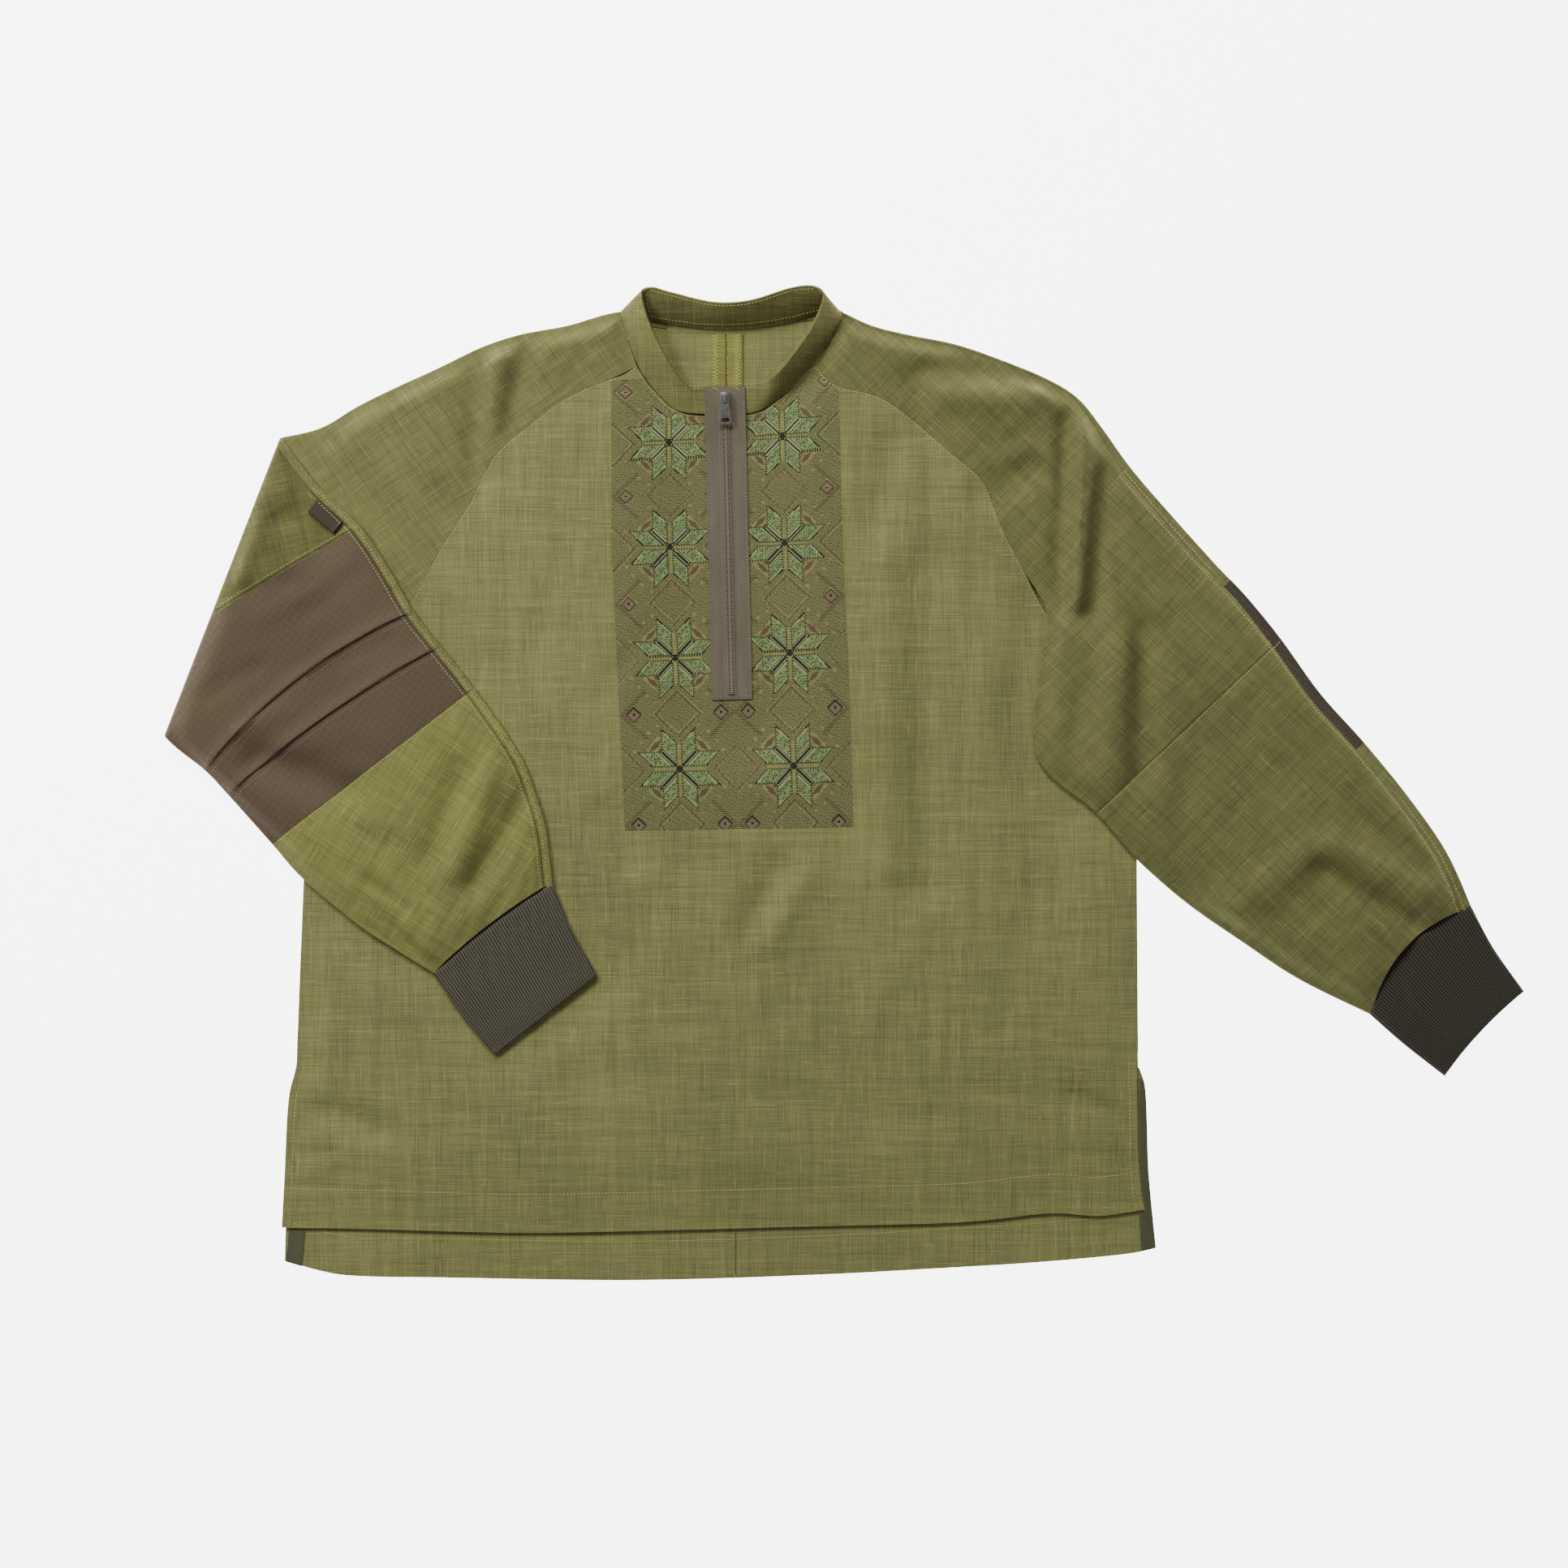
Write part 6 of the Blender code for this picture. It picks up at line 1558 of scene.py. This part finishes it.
@dataclass
class Zip:
    """Tapes, coil, slider and pull tab."""

    tape: bpy.types.Material
    coil: bpy.types.Material
    metal: bpy.types.Material
    shade: bpy.types.Material
    pitch: float = 1.45
    coil_from: float = 4.0
    coil_short: float = 14.4
    loop_away: float = 1.7
    steps: int = 60
    rounding: float = 0.18

    def __post_init__(self) -> None:
        """Works out the zip's directions."""
        self.foot, self.top = np.array(ZIP_FOOT), np.array(ZIP_TOP)
        self.length = float(np.linalg.norm(self.top - self.foot))
        self.along = (self.top - self.foot) / self.length
        self.across = np.array((self.along[1], -self.along[0]))

    def at(self, reach: float, offset: float, level: float) -> Vector:
        """A point of the zip: millimetres up from its foot, to the right of its middle, and over its base."""
        plan = self.foot + self.along * reach + self.across * offset
        return Vector((*plan, float(zip_base(plan[1])) + level)) * MM

    def build(self, maker: ClothMaker) -> None:
        """Makes the zip."""
        for name, near, far in (("zip_tape_left", -TAPE_HALF, -0.15), ("zip_tape_right", 0.15, TAPE_HALF)):
            offsets = np.linspace(near, far, 26)
            points = np.array([[np.array(self.at(reach, offset, TAPE_WALL / 2)) / MM for offset in offsets]
                               for reach in np.linspace(0, self.length, 150)])
            maker.make(name, points, self.tape, "zip_tape", self.tape_shape, wall=TAPE_WALL, rests=["front"])
        self.teeth(maker)
        for name in ("zip_slider", "zip_pull_tab"):
            self.rounded(maker, name)

    def tape_shape(self, x: np.ndarray, y: np.ndarray, z: np.ndarray) -> Places:
        """Puckers the tape a little, with a groove beside the coil and a sewn edge."""
        offset = np.abs((x - self.foot[0]) * self.across[0] + (y - self.foot[1]) * self.across[1])
        free = ease(offset, 6, 9) * (1 - ease(offset, 12.5, 14))
        wave = np.maximum(Relief.rumple(x * 1.6, y, 0.8, 0.3), 0) * free
        return x, y, z + wave * 0.6 - bell(offset - 6.0, 0.2, 0.8) - bell(offset - 13.6, 0.18, 0.7)

    def teeth(self, maker: ClothMaker) -> None:
        """Makes the closed coil: a raised bed, its middle ridge, both rows of loops, and a dark strip of
        painted shade between the loops.
        """
        bm, gaps = bmesh.new(), bmesh.new()
        run = self.length - self.coil_short - self.coil_from
        half = run / self.steps / 2
        for side in (-1, 1):
            for k in range(int(run / self.pitch)):
                self.bar(bm, self.coil_from + (k + 0.5) * self.pitch, side * self.loop_away,
                         (0.9, 0.44, 0.35), 1.1)
        # offset, half width, level, rise of the middle ridge, both edges and the bed between the loops, which
        # is a dark strip of painted shade
        ridge, low, high = (0.0, 0.95, 1.1, 0.45), (-2.75, 0.4, 0.9, 0.4), (2.75, 0.4, 0.9, 0.4)
        for into, strips in ((bm, (ridge, low, high)), (gaps, ((0.0, 2.5, 1.0, 0.25),))):
            for offset, width, level, rise in strips:
                for k in range(self.steps):
                    self.bar(into, self.coil_from + (2 * k + 1) * half, offset, (width, half, rise), level)
        uv = bm.loops.layers.uv.new("cut")
        for face in bm.faces:
            for loop in face.loops:
                loop[uv].uv = (loop.vert.co.x, loop.vert.co.y)
        piece = maker.place("zip_coil", mesh_from("zip_coil_loops", bm), self.coil, "coil")
        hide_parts("zip_coil")
        maker.place("coil_shade", mesh_from("coil_shade", gaps), self.shade, "coil")

    def bar(self, bm: bmesh.types.BMesh, reach: float, offset: float, half: Triple, level: float) -> None:
        """Adds one small rounded loop of the coil."""
        place = self.at(reach, offset, level + half[2])
        turn = Matrix.Rotation(math.atan2(self.across[1], self.across[0]), 4, "Z")
        size = Matrix.Diagonal((*(Vector(half) * MM), 1.0))
        made = bmesh.ops.create_cube(bm, size=2.0)["verts"]
        bmesh.ops.transform(bm, verts=made, matrix=Matrix.Translation(place) @ turn @ size)

    def rounded(self, maker: ClothMaker, name: str) -> None:
        """Copies a metal solid with its edges rounded."""
        source = bpy.data.objects[name]
        mesh = source.data.copy()
        bm = bmesh.new()
        bm.from_mesh(mesh)
        bmesh.ops.remove_doubles(bm, verts=bm.verts, dist=1e-6)
        bmesh.ops.dissolve_limit(bm, angle_limit=math.radians(1), verts=bm.verts, edges=bm.edges)
        edges = [e for e in bm.edges if len(e.link_faces) == 2 and e.calc_face_angle(0) > math.radians(30)]
        bmesh.ops.bevel(bm, geom=edges, offset=self.rounding * MM, segments=2, profile=0.5, affect="EDGES",
                        material=-1, clamp_overlap=True)
        bm.to_mesh(mesh)
        bm.free()
        piece = maker.place(name, mesh, self.metal, "zip_metal", "pull_tab" if "tab" in name else "shirt")
        piece.name = f"{name}_metal"
        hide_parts(name)


@dataclass
class WebbingLoop:
    """A short folded loop of webbing in the left sleeve's outer seam."""

    webbing: bpy.types.Material
    wall: float = 1.0

    def build(self, maker: ClothMaker) -> None:
        """Makes the loop."""
        near, far, low, left = (np.array(c) for c in LOOP_CORNERS)
        way = ((low - far) + (left - near)) / 2
        depth = float(np.linalg.norm(way))
        way = way / depth
        radius = self.wall / 2 + GAP
        turns = np.linspace(-math.pi / 2, math.pi / 2, 9)
        path = [(reach, 0.0) for reach in np.linspace(0, depth - radius, 8)[:-1]]
        path += [(depth - radius + radius * math.cos(t), radius + radius * math.sin(t)) for t in turns]
        path += [(reach, 2 * radius) for reach in np.linspace(depth - radius, 0, 8)[1:]]
        base = OVERLAY + FRONT_TOP + 3 * GAP + self.wall / 2
        shares = np.linspace(0.005, 0.995, 20)
        points = np.array([[(*(near + (far - near) * s + way * reach), base + up) for s in shares]
                           for reach, up in path])
        maker.make("webbing_loop", points, self.webbing, "webbing",
                   lambda x, y, z: (x, y, z + Relief.folded(x, y)), wall=self.wall, grain=40.0, declare=False)


# Embroidery


@dataclass
class Embroidery:
    """Counted stitches on the front: eight-pointed stars in a lattice, worked out by rule."""

    thread: bpy.types.Material
    stars: tuple = (
        # left star x, y, right star x, y, from the hem up
        (-127.4, 11.7, -39.1, 14.1), (-131.0, 97.7, -42.2, 101.7), (-135.1, 183.7, -46.2, 186.9),
        (-135.8, 264.9, -47.9, 269.7),
    )
    apart: Pair = (88.0, 85.0)
    reach: tuple[float, float, float, float] = (-44.5, 132.5, -46.5, 308.0)
    cell: float = 1.0
    dot: float = 1.42
    pale: Triple = (160, 170, 118)
    light: Triple = (134, 152, 98)
    green: Triple = (86, 104, 58)
    fleck: Triple = (138, 148, 94)
    rise: float = 0.18
    brown: Triple = (102, 80, 60)
    dark: Triple = (42, 40, 24)
    rose: Triple = (128, 106, 88)

    def chart(self, p: float, q: float, i: int, j: int) -> tuple[Triple, float] | None:
        """The stitch at a place.

        Args:
            p: Millimetres to the right of the lowest left star.
            q: Millimetres above it.
            i: Its column.
            j: Its row.

        Returns:
            The thread's colour and 1 where it is dotted, or None where the linen is bare.
        """
        wide, high = self.apart
        dx = (p + wide / 2) % wide - wide / 2
        dy = (q + high / 2) % high - high / 2
        a, b = abs(dx), abs(dy)
        mottled = (i * 7 + j * 11 + (i * j) % 5) % 3
        for near, far in ((a, b), (b, a)):
            found = self.petal(near, far, mottled, j if near == a else i)
            if found != "outside":
                return found
        # The star's middle and its diagonal rays
        if max(a, b) < 2.6:
            return self.dark, 0.0
        if abs(a - b) < 1.4 and max(a, b) < 15:
            return (self.brown, 0.0) if (i + j) % 2 else (self.dark, 0.0)
        # Brown lozenges at the rays' ends, and the bare linen along the star's axes
        cross, lean = (a + b) / math.sqrt(2), (a - b) / math.sqrt(2)
        if abs(cross - 25.5) / 2.0 + abs(lean) / 6.4 <= 1:
            return self.brown, 0.0
        if min(a, b) < 2.0 and max(a, b) < 20:
            return None
        # Small lozenges between the stars
        small = abs(a - 33.5) + abs(b - high / 2)
        if small < 7.6:
            if small < 1.3 or 5.0 < small < 6.2:
                return self.dark, 0.0
            return (self.rose, 0.0) if 2.6 < small < 5.0 else None
        # Bare linen round the brown lozenges
        if abs(cross - 25.5) < 3.6 and abs(lean) < 7.6:
            return None
        # Bare squares on a slant, then the large lozenges' bare edges and brown middle line
        for x0, y0 in ((34, 14), (29, 21), (23, 28), (16, 33.5)):
            if max(abs(a - x0), abs(b - y0)) < 1.3:
                return None
        for knot in (a + abs(b - high / 2), abs(a - wide / 2) + b):
            if 14.2 < knot < 15.6 or 18.6 < knot < 19.8:
                return None
            if 16.4 <= knot <= 17.8:
                return self.brown, 0.0 if (i + j) % 2 else 1.0
        # The dotted ground, brown along the diagonals and at every seventh stitch
        if (abs(a - b) < 2.0 and cross > 34) or (i * 5 + j * 3) % 7 == 0:
            return self.brown, 1.0
        return self.fleck, 1.0

    def petal(self, a: float, b: float, mottled: int, step: int) -> tuple | str | None:
        """The stitch in an upright petal or on its outline, or that it is outside."""
        low, high = 3.4 + (a - 2.1), 19.8 + (a - 2.1) * 0.93
        if not (1.1 <= a <= 13.6 and low - 1.3 <= b <= high + 1.3):
            return "outside"
        if a < 2.3 or a > 12.5:
            return (self.dark, 0.0) if step % 2 else None
        if b < low or b > high:
            return self.dark, 0.0
        if b < low + 1.3 or b > high - 1.2:
            return self.pale, 0.0
        if b < low + 2.5:
            return self.dark, 0.0
        if b < low + 3.7:
            return self.pale, 0.0
        return (self.green, self.light, self.light)[mottled], 1.0 if mottled == 1 and step % 2 else 0.0

    def place_of(self, p: np.ndarray, q: np.ndarray) -> tuple[np.ndarray, np.ndarray]:
        """Plan coordinates of chart places, read from the stars' places on the cloth."""
        rows = np.array(self.stars)
        at = q / self.apart[1]
        first = np.clip(np.floor(at).astype(int), 0, len(rows) - 2)
        share = (at - first)[:, None]
        row = rows[first] * (1 - share) + rows[first + 1] * share
        across = (p / self.apart[0])[:, None]
        place = row[:, 0:2] * (1 - across) + row[:, 2:4] * across
        return place[:, 0], place[:, 1]

    def build(self, maker: ClothMaker) -> None:
        """Makes the stitched panel just over the front's cloth, found from above by rays."""
        low_p, high_p, low_q, high_q = self.reach
        columns, rows = round((high_p - low_p) / self.cell), round((high_q - low_q) / self.cell)
        bm = bmesh.new()
        bmesh.ops.create_grid(bm, x_segments=columns, y_segments=rows, size=1.0)
        share = np.array([v.co for v in bm.verts])[:, :2] / 2 + 0.5
        p, q = low_p + share[:, 0] * (high_p - low_p), low_q + share[:, 1] * (high_q - low_q)
        x, y = self.place_of(p, q)
        outline = self.outline()
        kept = inside(outline, x, y) & (distance_to([*outline, outline[0]], x, y) > 0.6)
        below = bmesh.new()
        below.from_mesh(maker.made["front"].data)
        cloth = BVHTree.FromBMesh(below)
        below.free()
        uv = bm.loops.layers.uv.new("cut")
        thread = bm.loops.layers.float_color.new("thread")
        doomed = []
        for face in bm.faces:
            ends = [v.index for v in face.verts]
            centre_p, centre_q = p[ends].mean(), q[ends].mean()
            i, j = int((centre_p - low_p) / self.cell), int((centre_q - low_q) / self.cell)
            stitch = self.chart(centre_p, centre_q, i, j) if kept[ends].all() else None
            if stitch is None:
                doomed.append(face)
                continue
            colour = (*tone(stitch[0])[:3], stitch[1])
            for loop in face.loops:
                loop[uv].uv = (p[loop.vert.index] / self.dot, q[loop.vert.index] / self.dot)
                loop[thread] = colour
        for vertex, plan_x, plan_y, keep in zip(bm.verts, x * MM, y * MM, kept):
            hit = cloth.ray_cast(Vector((plan_x, plan_y, 0.1)), Vector((0, 0, -1)))[0] if keep else None
            vertex.co = Vector((plan_x, plan_y, (hit.z if hit else FRONT_TOP * MM) + self.rise * MM))
        bmesh.ops.delete(bm, geom=doomed, context="FACES")
        bmesh.ops.recalc_face_normals(bm, faces=bm.faces)
        downward = [face for face in bm.faces if face.normal.z < 0]
        bmesh.ops.reverse_faces(bm, faces=downward)
        maker.place("embroidery", mesh_from("embroidery", bm), self.thread, "linen")

    @staticmethod
    def outline() -> list[Point]:
        """Where the panel may lie: between the raglans, below the neck."""
        left = [tuple(p) for p in spline(raglan_left(), np.linspace(6, 10, 20))]
        right = [tuple(p) for p in spline(raglan_right(), np.linspace(6, 10, 20))]
        neck = [*evenly(NECK_LEFT, 14).tolist(), *evenly(NECK_RIGHT, 14)[::-1].tolist()]
        return [(-300, -60), *left, *neck, *right[::-1], (120, -60)]


# Sewing


@dataclass
class Sewing:
    """Rows of machine stitches laid on the cloth, and dark rows of painted shade along pressed seams."""

    light: bpy.types.Material
    brown: bpy.types.Material
    shade: bpy.types.Material
    width: float = 0.68
    thick: float = 0.26
    steepest: float = 1.5
    lowest: float = 0.3
    overlocked: Pair = (-99.6, -82.6)
    # distance from stitch to stitch, and a stitch's length
    light_size: Pair = (2.7, 1.9)
    brown_size: Pair = (2.4, 1.7)
    shade_size: Pair = (1.5, 1.9)

    def build(self, maker: ClothMaker) -> None:
        """Makes all rows of stitches."""
        below = self.surface(maker)
        kinds = (("topstitching", self.light, "linen", self.light_rows(), self.light_size),
                 ("brown_stitching", self.brown, "zip_tape", self.brown_rows(), self.brown_size),
                 ("seam_shade", self.shade, "linen", self.joins(), self.shade_size))
        for name, material, slot, rows, size in kinds:
            bm = bmesh.new()
            for line, offset in rows:
                self.row(bm, below, line, offset, size)
            if name == "topstitching":
                self.overlock(bm, below)
            maker.place(name, mesh_from(name, bm), material, slot)

    @staticmethod
    def surface(maker: ClothMaker) -> BVHTree:
        """All the cloth as one tree for rays."""
        whole = bmesh.new()
        for piece in maker.made.values():
            whole.from_mesh(piece.data)
        tree = BVHTree.FromBMesh(whole)
        whole.free()
        return tree

    def light_rows(self) -> list:
        """Rows in yellow-green thread: each a line and its offset to the right of travel."""
        outer, folded = points_of(RIGHT_SLEEVE, 1), folded_edge()
        rows = [(raglan_left()[2:], 1.6), (raglan_right()[2:], -1.6), (outer[8:], 11.0), (outer[8:11], 5.5),
                (outer[15:], 5.5)]
        rows += [(self.right_elbow_seam(), -2.0), (folded, 9.0), (folded, 3.4)]
        rows += [(PATCH_TOP, 1.8), (left_elbow_seam(), -1.8)]
        rows += [(HEM_FRONT, -HEM_DEPTH), (HEM_BACK, -HEM_DEPTH)]
        rows += [(SIDE_LEFT[3:], -6.0), (SIDE_RIGHT[3:], 6.0)]
        seam, top = points_of(COLLAR, 0), points_of(COLLAR, 2)
        rows += [(top[1:8], 2.6), (top[8:14], 2.6), (top[14:21], 2.6), (seam[8:14], -3.0)]
        return rows

    @staticmethod
    def right_elbow_seam() -> tuple[Point, Point]:
        """The right sleeve's elbow seam, from its outer to its inner edge."""
        row = RIGHT_SLEEVE[row_index(RIGHT_SLEEVE, "elbow_seam")]
        return row[1:3], row[3:5]

    def joins(self) -> list:
        """The dark lines of painted shade where seams are pressed in: each a line and its offset to the right
        of travel.
        """
        centre_back = (HEM_CENTRE_BACK, (HEM_CENTRE_BACK[0], HEM_CENTRE_FRONT[1]))
        return [(self.right_elbow_seam(), 0.0), (folded_edge(), OUTER_DENT[0]), (PATCH_TOP, 0.0),
                (left_elbow_seam(), 0.0), (centre_back, 0.0)]

    @staticmethod
    def brown_rows() -> list:
        """Rows in brown thread: zip tape edges and the tucks."""
        foot, top = np.array(ZIP_FOOT), np.array(ZIP_TOP)
        along = (top - foot) / np.linalg.norm(top - foot)
        across = np.array((along[1], -along[0]))
        rows = [((tuple(foot), tuple(top)), side * (TAPE_HALF - 1.8)) for side in (-1, 1)]
        base = foot + along * 2.2
        rows.append(((tuple(base - across * 14), tuple(base + across * 14)), 0.0))
        for name in ("tuck_1", "tuck_2"):
            line, _ = tuck_line(name, np.zeros(1), np.zeros(1))
            rows.append(([tuple(p) for p in line], -5.5))
        return rows

    def row(self, bm: bmesh.types.BMesh, below: BVHTree, line: Sequence, offset: float, size: Pair) -> None:
        """Lays one row of stitches along a line.

        Args:
            bm: What they are added to.
            below: The cloth under them.
            line: Points in plan.
            offset: How far to the right of travel the row lies.
            size: Distance from stitch to stitch, and a stitch's length.
        """
        pitch, length = size
        count = max(3, int(length_of(line) / pitch))
        path = evenly(line, count)
        along = np.gradient(path, axis=0)
        along /= np.maximum(np.linalg.norm(along, axis=1)[:, None], 1e-9)
        path = path + np.stack([along[:, 1], -along[:, 0]], axis=1) * offset
        for place, way in zip(path, along):
            self.stitch(bm, below, place, way, length)

    def stitch(self, bm: bmesh.types.BMesh, below: BVHTree, place: np.ndarray, way: np.ndarray,
               length: float) -> None:
        """Adds one stitch on the cloth, or none over an edge or beside the cloth."""
        heights = []
        for end in (-0.5, 0.5):
            spot = place + way * length * end
            hit = below.ray_cast(Vector((spot[0] * MM, spot[1] * MM, 0.2)), Vector((0, 0, -1)))
            if hit[0] is None:
                return
            heights.append(hit[0].z / MM)
        if abs(heights[1] - heights[0]) > self.steepest or min(heights) < self.lowest:
            return
        middle = Vector((place[0], place[1], sum(heights) / 2 + 0.05)) * MM
        across = Vector((way[1], -way[0], 0.0))
        rise = (heights[1] - heights[0]) / length
        forward = Vector((way[0], way[1], rise)).normalized()
        frame = Matrix((forward, across, forward.cross(across) * -1)).transposed().to_4x4()
        made = bmesh.ops.create_icosphere(bm, subdivisions=1, radius=1.0)["verts"]
        scale = Matrix.Diagonal((length * 0.56 * MM, self.width * 0.6 * MM, self.thick * MM, 1.0))
        bmesh.ops.transform(bm, verts=made, matrix=Matrix.Translation(middle) @ frame @ scale)

    def overlock(self, bm: bmesh.types.BMesh, below: BVHTree) -> None:
        """Lays close zigzag stitches on the free edges of the centre-back allowances."""
        for edge in self.overlocked:
            for k in range(34):
                y = 306 + k * 1.27
                way = np.array((1.0, 0.55 if k % 2 else -0.55))
                way /= np.linalg.norm(way)
                self.stitch(bm, below, np.array((edge + 0.5 * math.sin(k * 2.3), y)), way, 5.4)


@dataclass
class Studio:
    """Floor, soft light and the camera."""

    middle: float = -46.6
    height: float = 2.874
    lens: float = 85.0
    floor_half: float = 6.0
    floor_level: float = -0.0006
    room: float = 0.26

    def build(self, floor: bpy.types.Material) -> None:
        """Makes the floor, lights and camera."""
        bm = bmesh.new()
        bmesh.ops.create_grid(bm, x_segments=1, y_segments=1, size=self.floor_half)
        for vertex in bm.verts:
            vertex.co.z = self.floor_level
        paper = bpy.data.objects.new("paper_floor", mesh_from("paper_floor", bm))
        paper.data.materials.append(floor)
        bpy.context.scene.collection.objects.link(paper)
        world = bpy.data.worlds.new("soft_room")
        world.use_nodes = True
        background = world.node_tree.nodes["Background"]
        background.inputs["Color"].default_value = (1.0, 1.0, 1.0, 1.0)
        background.inputs["Strength"].default_value = self.room
        bpy.context.scene.world = world
        self.softbox("key", (-1.5, 1.2, 1.35), (-0.05, 0.0, 0.0), 0.6, 30.0)
        self.softbox("top", (-0.6, 2.8, 2.2), (0.0, 0.0, 0.0), 1.0, 77.0)
        camera = bpy.data.cameras.new("camera")
        camera.lens = self.lens
        camera.sensor_width = 36.0
        camera.clip_end = 20.0
        holder = bpy.data.objects.new("camera", camera)
        holder.location = (self.middle * MM, 0.0, self.height)
        bpy.context.scene.collection.objects.link(holder)
        bpy.context.scene.camera = holder

    @staticmethod
    def softbox(name: str, place: Triple, aim: Triple, size: float, power: float) -> None:
        """Adds a soft square light.

        Args:
            name: Its name.
            place: Where it hangs, in metres.
            aim: The point that it faces.
            size: Its side, in metres.
            power: Its power, in watts.
        """
        light = bpy.data.lights.new(name, "AREA")
        light.energy = power
        light.size = size
        holder = bpy.data.objects.new(name, light)
        holder.location = place
        holder.rotation_euler = (Vector(place) - Vector(aim)).to_track_quat("Z", "Y").to_euler()
        bpy.context.scene.collection.objects.link(holder)


def main() -> None:
    """Builds the shirt's looks in order."""
    logging.basicConfig(level=logging.INFO)
    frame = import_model()
    linen = Linen().build("olive_linen")
    # The shoulder's linen is a darker copy of the body's: painted shade.
    shoulder = Linen((116, 113, 71)).build("shaded_shoulder_linen")
    # The forearm's linen is a slightly darker copy of the body's: painted shade.
    forearm = Linen((127, 125, 73)).build("shaded_forearm_linen")
    # The right sleeve's linen is a darker copy of the body's: painted shade.
    shaded_right_linen = Linen((111, 109, 69)).build("shaded_right_sleeve_linen")
    # The collar's linen is a darker copy of the body's: painted shade.
    shaded_collar_linen = Linen((119, 116, 72)).build("shaded_collar_linen")
    allowance = Linen((132, 129, 70)).build("allowance_linen")
    ripstop = Ripstop().build("brown_ripstop")
    maker = ClothMaker(list(frame["nodes"]))
    herringbone = WovenTape((85, 87, 61), 0.0016, 0.006).build("herringbone_tape")
    Body(linen, allowance, herringbone).build(maker)
    # The right elbow patch's ripstop is a darker copy of the left's: painted shade on its turned edge.
    RightSleeve(shaded_right_linen, Ripstop((64, 55, 42)).build("shaded_right_ripstop")).build(maker)
    # The folded-back layer's linen is a darker copy of the body's: painted shade of the fold.
    LeftSleeve(shoulder, forearm, Linen((97, 94, 57)).build("shaded_turned_linen"), ripstop).build(maker)
    # The right cuff's knit is a darker copy of the left's: painted shade.
    Cuffs(RibKnit((75, 72, 59)).build("left_knit"), RibKnit((59, 56, 47)).build("shaded_right_knit")).build(maker)
    Collar(shaded_collar_linen).build(maker)
    # The coil's dark strip between its loops is painted shade.
    Zip(WovenTape((108, 101, 83)).build("zip_tape"), WovenTape((119, 109, 91)).build("zip_nylon"),
        PlatedMetal().build("zip_metal"), WovenTape((34, 29, 23)).build("coil_gap_shade")).build(maker)
    WebbingLoop(WovenTape((67, 60, 44), 0.0018).build("brown_webbing")).build(maker)
    # The dark seam rows are painted shade in the pressed seams and the centre-back gap.
    Sewing(Thread((182, 177, 104)).build("light_thread"), Thread((128, 118, 96)).build("brown_thread"),
           Thread((70, 67, 38)).build("painted_seam_shade")).build(maker)
    Embroidery(StitchGround().build("embroidery_thread")).build(maker)
    Studio().build(PaleFloor().build("pale_paper"))


if __name__ == "__main__":
    main()
